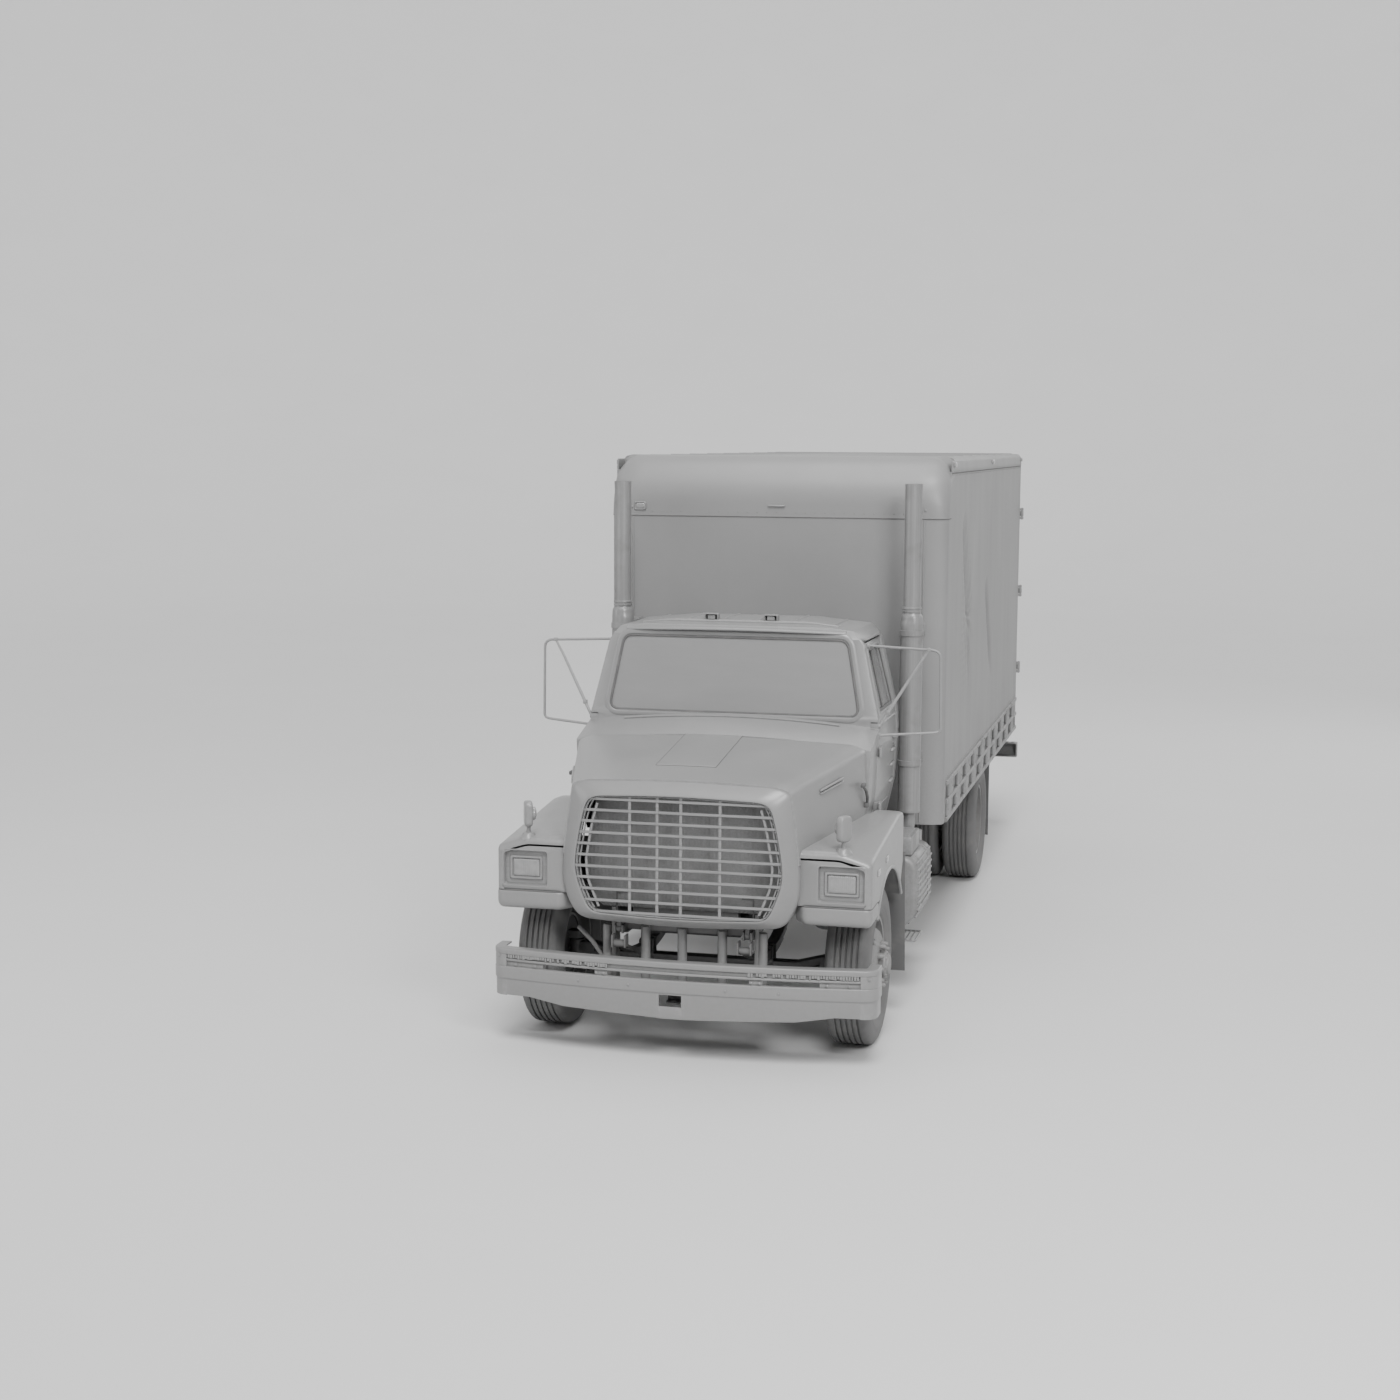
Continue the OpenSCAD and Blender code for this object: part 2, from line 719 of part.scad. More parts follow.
// Side outline of a fender in (y, z), drawn in by t
fender_x = fender_w / 2;
fender_y0 = front_y + 95;
fender_y1 = front_y + 1360;
chin_z = 988;                       // step between the fender's face and its chin
function fender_side(t) = [
    [fender_y0 - 10 + t, 875 - 20 * sign(t)], [fender_y0 - 10 + t, chin_z], [fender_y0 + t, chin_z + 8],
    [fender_y0 + t, 1290 - t], [fender_y0 + 35, 1325 - t], [fender_y0 + 1095, 1387 - t],
    [fender_y1 - 60 - t / 2, 1385 - t], [fender_y1 - t, 1320 - t / 2], [fender_y1 - t, 1080 - 20 * sign(t)],
    [fender_y1 - 160 - t, 875 - 20 * sign(t)]];
arch_r = 600;

// The solid above the fender's outer facet, which slopes down outward from a crease.
// The facet falls by slope across the fender and its crease moves outward to the rear.
module above_facet(t) {
    crease_turn = 7.1;
    slope = 17.5;
    crease = [970, fender_y0 + 30, 1327 - t];
    translate(crease) rotate([0, 0, -crease_turn]) rotate([3.4, slope, 0])
        translate([-30, -400, 0]) cube([600, 2400, 600]);
}

lens = [[838, 1026], [1112, 1238]];
module fender() {
    difference() {
        union() {
            difference() {
                along_x(700, fender_x) polygon(fender_side(0));
                along_x(690, fender_x - skin) polygon(fender_side(skin));
                above_facet(0);
            }
            // underside of the facet
            difference() {
                intersection() {
                    along_x(900, fender_x) polygon(fender_side(0));
                    above_facet(skin);
                }
                above_facet(0);
            }
            // collar round the lamp recess
            along_y(fender_y0, fender_y0 + 42) rounded(lens[0] - [12, 12], lens[1] + [12, 12], 20);
            // wheel arch liner
            intersection() {
                bar_x(640, fender_x, axle_f, tyre_r, arch_r + skin);
                along_x(600, fender_x) polygon([[fender_y0 + 15, 875], [fender_y0 + 15, 1240],
                    [fender_y1 - 10, 1240], [fender_y1 - 10, 875]]);
            }
        }
        bar_x(600, fender_x + 10, axle_f, tyre_r, arch_r);
        // room for the cowl behind the hood
        block([600, hood_y1 - 2, 800], [985, front_y + 1400, 1500]);
        hood_solid(0);
        block([600, front_y - 10, 800], [736, front_y + 190, 1500]);
        along_y(fender_y0 - 15, fender_y0 + 50) rounded(lens[0], lens[1], 15);
        block([600, front_y - 10, 800], [700, front_y + 1400, 1500]);
    }
}

module fenders() color(paint) {
    both() fender();
}

lamp_at = [975, front_y + 160];
module front_lamps() color(glass) both() {
    y = fender_y0 + 26;
    // headlamp bowl, its ring and lens, in the fender's recess
    along_y(y, y + 16) rounded(lens[0], lens[1], 15);
    along_y(y - 14, y) difference() {
        rounded(lens[0] + [36, 32], lens[1] - [36, 36], 14);
        rounded(lens[0] + [50, 46], lens[1] - [50, 50], 10);
    }
    along_y(y - 8, y) rounded(lens[0] + [50, 46], lens[1] - [50, 50], 10);
    // turn lamp on its stalk
    lamp_base = 1320;
    difference() {
        translate([lamp_at[0], lamp_at[1], lamp_base - 20]) cylinder(h = 44, r1 = 56, r2 = 40);
        along_x(800, 1100) polygon(fender_side(0));
    }
    bar_z(lamp_base + 20, 1400, lamp_at[0], lamp_at[1], 12);
    translate([lamp_at[0], lamp_at[1], 1456]) rotate([0, 0, -25]) {
        along_x(-4, 22) rounded([-52, -76], [52, 80], 28);
        translate([-34, 0, 0]) rotate([0, 90, 0]) cylinder(h = 31, r = 42);
    }
}

// ---- tanks, exhaust, flaps ---------------------------------------------------------------------

module fuel_tanks() color(metal) both() {
    along_y(front_y + 1930, front_y + 2640) difference() {
        rounded([450, 420], [1172, 955], 110);
        polygon([[1200, 400], [1200, 590], [1010, 400]]);
    }
    // straps' upper step, under the door
    block([880, front_y + 1990, 954], [1120, front_y + 2370, 1080]);
    // small box behind the tank's top
    block([985, front_y + 2600, 870], [1090, front_y + 2720, 1010]);
    // hangers on the rail
    for (y = [front_y + 2080, front_y + 2460])
        block([rail_x, y, 760], [470, y + 60, 960]);
    // stirrup step
    for (y = [front_y + 1945, front_y + 2245])
        block([960, y, 385], [1000, y + 12, 430]);
    block([960, front_y + 1945, 375], [1165, front_y + 2257, 387]);
}

stack_x = 1030;
stack_y = front_y + 2450;
module exhaust_stacks() color(metal) {
    pipe_z = 1055;
    bend = 110;
    both() {
        bar_z(1172, 2520, stack_x, stack_y, 78);
        translate([stack_x, stack_y, 2520]) cylinder(h = 30, r1 = 78, r2 = 64);
        bar_z(2550, 3437, stack_x, stack_y, 59);
        bar_z(2566, 2596, stack_x, stack_y, 66);
        // elbow under the muffler
        translate([stack_x - bend, stack_y, pipe_z + bend]) rotate([90, 0, 0])
            rotate_extrude(angle = -90) translate([bend, 0]) circle(45);
        bar_z(pipe_z + bend, 1175, stack_x, stack_y, 45);
        // straps back to the cargo body
        for (z = [1500, 2400])
            block([stack_x - 20, stack_y + 70, z], [stack_x + 20, body_y0, z + 40]);
    }
    bar_x(-stack_x + bend, stack_x - bend, stack_y, pipe_z, 45);
    bar_y(front_y + 1090, stack_y, -270, 1130, 40);
}

module mud_flaps() color(rubber) both() {
    // front splash guard behind each wheel, on a bar from the rail
    along_x(760, 1165) polygon([[front_y + 1378, 1100], [front_y + 1386, 1100],
        [front_y + 1458, 300], [front_y + 1450, 300]]);
    bar_x(rail_x, 1100, front_y + 1396, 1040, 12);
    // rear flap
    block([560, axle_r + 620, 250], [1140, axle_r + 628, 900]);
    bar_x(rail_x, 1140, axle_r + 640, 880, 12);
}

// ---- cargo body ------------------------------------------------------------------------------

// The outer block of the cargo body, drawn in by t: rounded nose, front corners and eaves
module body_block(t) {
    intersection() {
        along_x(-side_x + t, side_x - t) difference() {
            translate([body_y0 + t, 900]) square([body_len - t + 10, body_top - t - 900]);
            translate([body_y0 + t, body_top - t]) mirror([0, 1]) difference() {
                translate([-1, -1]) square(nose_r - t + 1);
                translate([nose_r - t, nose_r - t]) circle(nose_r - t);
            }
        }
        translate([0, 0, 800]) linear_extrude(body_top) difference() {
            translate([-side_x + t, body_y0 + t]) square([body_w - 2 * t, body_len + 10]);
            for (s = [0, 1]) mirror([s, 0]) translate([side_x - t, body_y0 + t]) mirror([1, 0])
                difference() {
                    translate([-1, -1]) square(corner_r - t + 1);
                    translate([corner_r - t, corner_r - t]) circle(corner_r - t);
                }
        }
        along_y(body_y0 - 10, body_y1 + 10) difference() {
            translate([-side_x + t, 800]) square([body_w - 2 * t, body_top - t - 800]);
            for (s = [0, 1]) mirror([s, 0]) translate([side_x - t, body_top - t])
                mirror([1, 0]) mirror([0, 1]) difference() {
                    translate([-1, -1]) square(110 - t + 1);
                    translate([110 - t, 110 - t]) circle(110 - t);
                }
        }
    }
}

module body_shell() {
    difference() {
        body_block(0);
        body_block(panel);
    }
}

module body_front_wall() color(paint) {
    intersection() {
        body_shell();
        block([-side_x - 1, body_y0 - 1, 1020], [side_x + 1, body_y0 + corner_r, seam_z]);
    }
}

module body_roof() color(paint) {
    intersection() {
        body_shell();
        union() {
            block([-side_x - 1, body_y0 - 1, seam_z], [side_x + 1, body_y0 + corner_r, body_top + 1]);
            block([-side_x - 1, body_y0 - 1, eave_z], [side_x + 1, body_y1 - 50, body_top + 1]);
        }
    }
}

module body_side_wall() {
    block([side_x - panel, body_y0 + corner_r, rail_band], [side_x, body_y1 - 50, eave_z]);
}

module body_floor() color(metal) {
    inner = side_x - panel;
    block([-inner, body_y0 + corner_r, deck_z - 30], [inner, body_y1 - 50, deck_z]);
    block([-inner + 130, body_y0 + panel, deck_z - 30], [inner - 130, body_y0 + corner_r, deck_z]);
    both() block([rail_x - 75, body_y0 + panel, rail_top], [rail_x, body_y1 - 60, 1150]);
    for (i = [0:13])
        block([-inner, body_y0 + 160 + i * 388, 1150], [inner, body_y0 + 220 + i * 388, deck_z - 30]);
}

module rear_frame() color(paint) {
    sill = 1020;
    difference() {
        intersection() {
            body_block(0);
            block([-side_x - 1, body_y1 - 50, sill], [side_x + 1, body_y1, body_top + 1]);
        }
        block([-door_in, body_y1 - 60, deck_z], [door_in, body_y1 + 1, door_z1 + 5]);
    }
    // hinge brackets on the posts, two knuckles to each hinge
    both() for (z = hinge_zs, s = [-1, 1]) {
        c = z + s * 40;
        block([side_x - 40, body_y1 - 2, c - 12], [side_x - 2, door_pin_y, c + 12]);
        difference() {
            union() {
                bar_z(c - 12, c + 12, door_pin_x, door_pin_y, 15);
                block([side_x - 40, door_pin_y - 15, c - 12], [door_pin_x, door_pin_y, c + 12]);
            }
            bar_z(c - 20, c + 20, door_pin_x, door_pin_y, 8);
        }
    }
}

hinge_zs = [deck_z + 300, (deck_z + door_z1) / 2, door_z1 - 300];
module cargo_door() {
    edge = 5;
    block([6, body_y1 - door_t - 5, door_z0], [door_in - edge, body_y1 - 5, door_z1]);
    for (z = hinge_zs) {
        // strap on the door's face, then the knuckle round its pin
        block([door_in - 320, body_y1 - 5, z - 24], [door_in - edge, body_y1 + 7, z + 24]);
        block([door_in - 60, body_y1 + 5, z - 24], [door_in - 40, door_pin_y + 6, z + 24]);
        block([door_in - 60, door_pin_y - 6, z - 24], [door_pin_x, door_pin_y + 6, z + 24]);
        bar_z(z - 24, z + 24, door_pin_x, door_pin_y, 15);
        bar_z(z - 56, z + 56, door_pin_x, door_pin_y, 7);
    }
    // lock rod with its guides and handle
    rod_x = 330;
    bar_z(door_z0 - 40, door_z1 + 40, rod_x, body_y1 + 15, 13);
    for (z = [door_z0 + 120, (door_z0 + door_z1) / 2, door_z1 - 120])
        block([rod_x - 40, body_y1 - 5, z - 30], [rod_x + 40, body_y1 + 9, z + 30]);
    block([rod_x - 260, body_y1 + 8, door_z0 + 420], [rod_x, body_y1 + 22, door_z0 + 450]);
}

module rub_rails() color(metal) both() {
    y0 = body_y0 + corner_r;
    y1 = body_y1 - 50;
    block([side_x - panel, y0, 1020], [side_x - 10, y1, rail_band]);
    for (z = [[1020, 1052], [1150, 1182], [1286, rail_band]])
        block([side_x - 10, y0, z[0]], [side_x + 15, y1, z[1]]);
    pitch = 520;
    for (i = [0:9]) {
        block([side_x - 10, y0 + 40 + i * pitch, 1052], [side_x + 8, y0 + 300 + i * pitch, 1150]);
        block([side_x - 10, y0 + 130 + i * pitch, 1182], [side_x + 8, y0 + 390 + i * pitch, 1286]);
    }
}

hitch_r = 6.75;
hitch_x = 85.7;
hitch_z = 44.5;
module rear_bumper() color(metal) {
    y0 = body_y1 + 5;
    y1 = body_y1 + 100;
    z0 = 735;
    z1 = 870;
    difference() {
        block([-1240, y0, z0], [1240, y1, z1]);
        block([-1232, y0 - 1, z0 + 10], [1232, y1 - 10, z1 - 10]);
        for (x = [-1, 1], z = [-1, 1])
            bar_y(y1 - 20, y1 + 5, x * hitch_x / 2, (z0 + z1) / 2 + z * hitch_z / 2, hitch_r);
    }
    both() block([rail_x, body_y1 - 300, z0 + 15], [rail_x + 15, y1 - 5, z1 - 5]);
}

// ---- assembly --------------------------------------------------------------------------------

frame();
front_bumper();
engine();
radiator();
driveline();
front_axle();
rear_axle();
leaf_springs();
cab();
cab_glass();
dashboard();
seats();
fuel_tanks();
exhaust_stacks();
body_floor();
body_front_wall();
color(paint) body_side_wall();  // body_left_wall
color(paint) mirror([1, 0, 0]) body_side_wall();  // body_right_wall
body_roof();
rear_frame();
rub_rails();
rear_bumper();
mud_flaps();
hood();
grille();
fenders();
front_lamps();
color(paint) door();  // left_door
color(glass) door_glass();  // left_door_glass
color(metal) mirror_frame();  // left_mirror_frame
color(paint) mirror([1, 0, 0]) door();  // right_door
color(glass) mirror([1, 0, 0]) door_glass();  // right_door_glass
color(metal) mirror([1, 0, 0]) mirror_frame();  // right_mirror_frame
color(paint) cargo_door();  // left_cargo_door
color(paint) mirror([1, 0, 0]) cargo_door();  // right_cargo_door
color(metal) knuckle();  // left_knuckle
color(metal) mirror([1, 0, 0]) knuckle();  // right_knuckle
tie_rod();
steering_wheel();
color(rubber) front_tyre();  // front_left_tyre
color(metal) front_rim();  // front_left_rim
color(rubber) mirror([1, 0, 0]) front_tyre();  // front_right_tyre
color(metal) mirror([1, 0, 0]) front_rim();  // front_right_rim
color(rubber) rear_tyres();  // rear_left_tyres
color(metal) rear_rims();  // rear_left_rims
color(rubber) mirror([1, 0, 0]) rear_tyres();  // rear_right_tyres
color(metal) mirror([1, 0, 0]) rear_rims();  // rear_right_rims
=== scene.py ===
"""Box truck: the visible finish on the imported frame.

Run as a script in Blender 4.5. Every length is in metres, +Z is up, the truck faces -Y and its left side
is +X.
"""

import json
import math

import bmesh
import bpy
import numpy as np
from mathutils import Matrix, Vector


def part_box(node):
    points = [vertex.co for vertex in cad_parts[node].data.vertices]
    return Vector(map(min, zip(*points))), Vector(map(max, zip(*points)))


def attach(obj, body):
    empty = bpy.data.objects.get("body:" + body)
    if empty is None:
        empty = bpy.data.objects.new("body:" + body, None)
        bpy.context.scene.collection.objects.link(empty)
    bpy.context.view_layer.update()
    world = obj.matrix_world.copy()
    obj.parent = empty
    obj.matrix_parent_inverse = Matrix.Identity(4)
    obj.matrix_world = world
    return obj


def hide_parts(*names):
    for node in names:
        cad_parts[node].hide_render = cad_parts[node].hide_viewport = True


bl_info = {
    "name": "Box Truck Finish",
    "version": (1, 0, 0),
    "blender": (4, 5, 0),
    "location": "3D View > Sidebar > Truck",
    "description": "Builds the skins, tyres, trim, seats and finishes of a box truck around its CAD frame",
    "category": "Add Mesh",
}

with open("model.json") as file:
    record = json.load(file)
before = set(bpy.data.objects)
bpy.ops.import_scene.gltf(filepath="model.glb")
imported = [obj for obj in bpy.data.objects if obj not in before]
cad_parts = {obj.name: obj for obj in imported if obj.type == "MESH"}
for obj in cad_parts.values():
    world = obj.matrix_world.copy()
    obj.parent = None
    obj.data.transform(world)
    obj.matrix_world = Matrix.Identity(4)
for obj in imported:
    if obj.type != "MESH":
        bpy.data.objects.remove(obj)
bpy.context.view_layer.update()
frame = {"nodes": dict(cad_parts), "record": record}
NODES = frame["nodes"]
BODY_OF = {node: body for body, nodes in frame["record"]["behaviour"]["bodies"].items() for node in nodes}
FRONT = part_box("front_bumper")[0].y
SIDES = {"left": 1, "right": -1}


def span(node):
    """The lowest and highest corner of a CAD node, as arrays."""
    low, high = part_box(node)
    return np.array(low), np.array(high)


# ---- surfaces from arrays ------------------------------------------------------------------------


class Shape:
    """Grids of corners gathered as arrays, and made into one mesh at the end."""

    def __init__(self):
        self.points = []
        self.faces = []
        self.count = 0

    def grid(self, p, round_u=False, round_v=False, caps=False):
        """The quads between neighbouring rows and columns of p, an array of (rows, columns, 3).
        round_u joins the last row to the first and round_v the last column to the first.
        caps closes the first and last row of a tube."""
        rows, columns = p.shape[:2]
        index = np.arange(rows * columns).reshape(rows, columns) + self.count
        if round_u:
            index = np.vstack([index, index[:1]])
        if round_v:
            index = np.hstack([index, index[:, :1]])
        quads = np.stack([index[:-1, :-1], index[:-1, 1:], index[1:, 1:], index[1:, :-1]], axis=-1)
        self.faces += quads.reshape(-1, 4).tolist()
        if caps:
            self.faces += [index[0, :columns][::-1].tolist(), index[-1, :columns].tolist()]
        self.points.append(p.reshape(-1, 3))
        self.count += rows * columns
        return self

    def add(self, points, faces):
        """More corners, with faces that count from the first of them."""
        self.faces += [[i + self.count for i in face] for face in faces]
        self.points.append(np.asarray(points, float))
        self.count += len(points)
        return self

    def mirrored(self):
        """The same shape, with its mirror image on the other side of the truck."""
        points = np.vstack(self.points)
        self.points = [points, points * (-1, 1, 1)]
        self.faces += [[i + self.count for i in face[::-1]] for face in self.faces]
        self.count *= 2
        return self

    def on_side(self, side):
        """The shape moved to the right side where side is -1."""
        if side < 0:
            self.points = [np.vstack(self.points) * (-1, 1, 1)]
            self.faces = [face[::-1] for face in self.faces]
        return self

    def build(self, name, body, slot, crease=35, outward=True, keep_open=False):
        """One mesh object of the gathered faces, smooth below the crease angle, riding on a body."""
        mesh = bpy.data.meshes.new(name)
        mesh.from_pydata(np.vstack(self.points).tolist(), [], self.faces)
        if outward:
            work = bmesh.new()
            work.from_mesh(mesh)
            if not keep_open:
                bmesh.ops.remove_doubles(work, verts=work.verts, dist=1e-5)
            bmesh.ops.recalc_face_normals(work, faces=work.faces)
            work.to_mesh(mesh)
            work.free()
        piece = bpy.data.objects.new(name, mesh)
        bpy.context.collection.objects.link(piece)
        smooth_below(piece, crease)
        finish(piece, body, slot)
        return piece


def smooth_below(piece, crease):
    """Smooth shading, with the edges that bend more than crease degrees kept sharp."""
    work = bmesh.new()
    work.from_mesh(piece.data)
    limit = math.radians(crease)
    for edge in work.edges:
        edge.smooth = len(edge.link_faces) == 2 and edge.calc_face_angle(0) < limit
    for face in work.faces:
        face.smooth = True
    work.to_mesh(piece.data)
    work.free()


def finish(piece, body, slot):
    """Gives a piece its material, its slot and its body."""
    piece.data.materials.clear()
    piece.data.materials.append(MATERIALS[slot])
    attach(piece, body)


def apply_modifiers(piece):
    """The piece's mesh with its modifiers worked in."""
    graph = bpy.context.evaluated_depsgraph_get()
    made = bpy.data.meshes.new_from_object(piece.evaluated_get(graph))
    piece.modifiers.clear()
    piece.data = made


def unit(v):
    """Vectors along the last axis, brought to length 1."""
    return v / np.maximum(np.linalg.norm(v, axis=-1, keepdims=True), 1e-12)


def ease(a, b, t):
    """0 below a, 1 above b, and a smooth rise between."""
    s = np.clip((t - a) / (b - a), 0, 1)
    return s * s * (3 - 2 * s)


def fillet(points, radii, steps=5, closed=False):
    """A polyline in a plane with its corners rounded: each corner becomes a quadratic arc that starts and
    ends radius away from it. A radius of 0 leaves steps equal points, so outlines of one list stay
    matched."""
    p = np.asarray(points, float)
    r = np.broadcast_to(np.asarray(radii, float), (len(p),))
    before = np.roll(p, 1, axis=0)
    after = np.roll(p, -1, axis=0)
    t = np.linspace(0, 1, steps)[None, :, None]
    reach_a = np.minimum(r, 0.49 * np.linalg.norm(p - before, axis=1))[:, None]
    reach_b = np.minimum(r, 0.49 * np.linalg.norm(p - after, axis=1))[:, None]
    a = (p + unit(before - p) * reach_a)[:, None]
    b = (p + unit(after - p) * reach_b)[:, None]
    corner = p[:, None]
    arcs = (1 - t) ** 2 * a + 2 * t * (1 - t) * corner + t**2 * b
    if not closed:
        arcs[0] = p[0]
        arcs[-1] = p[-1]
        arcs = np.concatenate([arcs[0, :1], arcs[1:-1].reshape(-1, p.shape[1]), arcs[-1, :1]])
        return arcs
    return arcs.reshape(-1, p.shape[1])


def rounded_box(a, b, radius, steps=4):
    """The outline of a rectangle from corner a to corner b with rounded corners."""
    corners = [(a[0], a[1]), (b[0], a[1]), (b[0], b[1]), (a[0], b[1])]
    return fillet(corners, radius, steps, closed=True)


def ring(radius, count):
    """count points round a circle in a plane."""
    angle = np.arange(count) * (2 * math.pi / count)
    return np.stack([np.cos(angle), np.sin(angle)], axis=1) * radius


AXES = {"x": (1, 2, 0), "y": (0, 2, 1), "z": (0, 1, 2)}


def stack(outline, levels, axis="z", centre=None):
    """An outline carried along an axis: one row of corners per level, a level being (distance, scale or
    inset). A positive inset draws the outline in towards its centre by that length on both of its axes."""
    outline = np.asarray(outline, float)
    middle = (outline.max(0) + outline.min(0)) / 2 if centre is None else np.asarray(centre, float)
    half = (outline.max(0) - outline.min(0)) / 2
    rows = np.empty((len(levels), len(outline), 3))
    first, second, along = AXES[axis]
    for row, (distance, inset) in zip(rows, levels):
        drawn = middle + (outline - middle) * (1 - inset / half)
        row[:, first] = drawn[:, 0]
        row[:, second] = drawn[:, 1]
        row[:, along] = distance
    return rows


def slab(shape, outline, a, b, edge, axis="z"):
    """A plate of an outline from a to b along an axis, with its rims chamfered by edge."""
    levels = [(a, edge), (a + edge * 0.3, edge * 0.3), (a + edge, 0), (b - edge, 0),
              (b - edge * 0.3, edge * 0.3), (b, edge)]
    return shape.grid(stack(outline, levels, axis), round_v=True, caps=True)


def block(shape, low, high, edge=0.003, radius=0.006, axis="z"):
    """A box with rounded corners and chamfered rims."""
    first, second, along = AXES[axis]
    outline = rounded_box((low[first], low[second]), (high[first], high[second]), radius, 3)
    return slab(shape, outline, low[along], high[along], edge, axis)


def tube(shape, path, radius, sides=12, caps=True):
    """A circle carried along a path, turned to face along it. radius may be one value per point."""
    path = np.asarray(path, float)
    along = unit(np.gradient(path, axis=0))
    reference = np.eye(3)[np.argmin(np.abs(along).max(axis=0))]
    across = unit(np.cross(along, reference))
    up = np.cross(across, along)
    c = ring(1, sides)
    r = np.broadcast_to(np.asarray(radius, float), (len(path),))[:, None, None]
    rows = path[:, None] + r * (across[:, None] * c[None, :, :1] + up[:, None] * c[None, :, 1:])
    return shape.grid(rows, round_v=True, caps=caps)


def turned(shape, profile, centre, axis="x", segments=48, closed=False):
    """A profile of (distance along the axis, radius) turned round an axis through centre."""
    profile = np.asarray(profile, float)
    first, second, along = AXES[axis]
    c = ring(1, segments)
    rows = np.empty((len(profile), segments, 3))
    rows[..., first] = centre[first] + profile[:, 1:] * c[None, :, 0]
    rows[..., second] = centre[second] + profile[:, 1:] * c[None, :, 1]
    rows[..., along] = centre[along] + profile[:, :1]
    return shape.grid(rows, round_u=closed, round_v=True, caps=not closed)


def studs(shape, centres, radius, height, axis="y", sides=8, sign=1):
    """A row of bolt heads: one small domed prism at each centre, all worked out as one array."""
    centres = np.asarray(centres, float).reshape(-1, 3)
    levels = np.array([(0, 1), (0.7, 1), (1, 0.62)])
    first, second, along = AXES[axis]
    c = ring(radius, sides)
    p = np.repeat(centres[:, None, None], len(levels), axis=1).repeat(sides, axis=2)
    p[..., first] += levels[None, :, 1:] * c[None, None, :, 0]
    p[..., second] += levels[None, :, 1:] * c[None, None, :, 1]
    p[..., along] += sign * height * levels[None, :, :1]
    size = len(levels) * sides
    index = np.arange(size).reshape(len(levels), sides)
    wrap = np.hstack([index, index[:, :1]])
    quads = np.stack([wrap[:-1, :-1], wrap[:-1, 1:], wrap[1:, 1:], wrap[1:, :-1]], axis=-1).reshape(-1, 4)
    faces = [(quads + size * i).tolist() for i in range(len(centres))]
    caps = [[(index[0] + size * i).tolist()[::-1], (index[-1] + size * i).tolist()]
            for i in range(len(centres))]
    return shape.add(p.reshape(-1, 3), [f for group in faces + caps for f in group])


# ---- shader expressions --------------------------------------------------------------------------


class Value:
    """A number inside a shader. Its operators add Math nodes to the material."""

    def __init__(self, shader, socket):
        self.shader = shader
        self.socket = socket

    def _with(self, operation, other, swapped=False):
        pair = (other, self) if swapped else (self, other)
        return self.shader.math(operation, *pair)

    def __add__(self, other):
        return self._with("ADD", other)

    __radd__ = __add__

    def __mul__(self, other):
        return self._with("MULTIPLY", other)

    __rmul__ = __mul__

    def __sub__(self, other):
        return self._with("SUBTRACT", other)

    def __rsub__(self, other):
        return self._with("SUBTRACT", other, swapped=True)

    def __truediv__(self, other):
        return self._with("DIVIDE", other)

    def __pow__(self, other):
        return self._with("POWER", other)


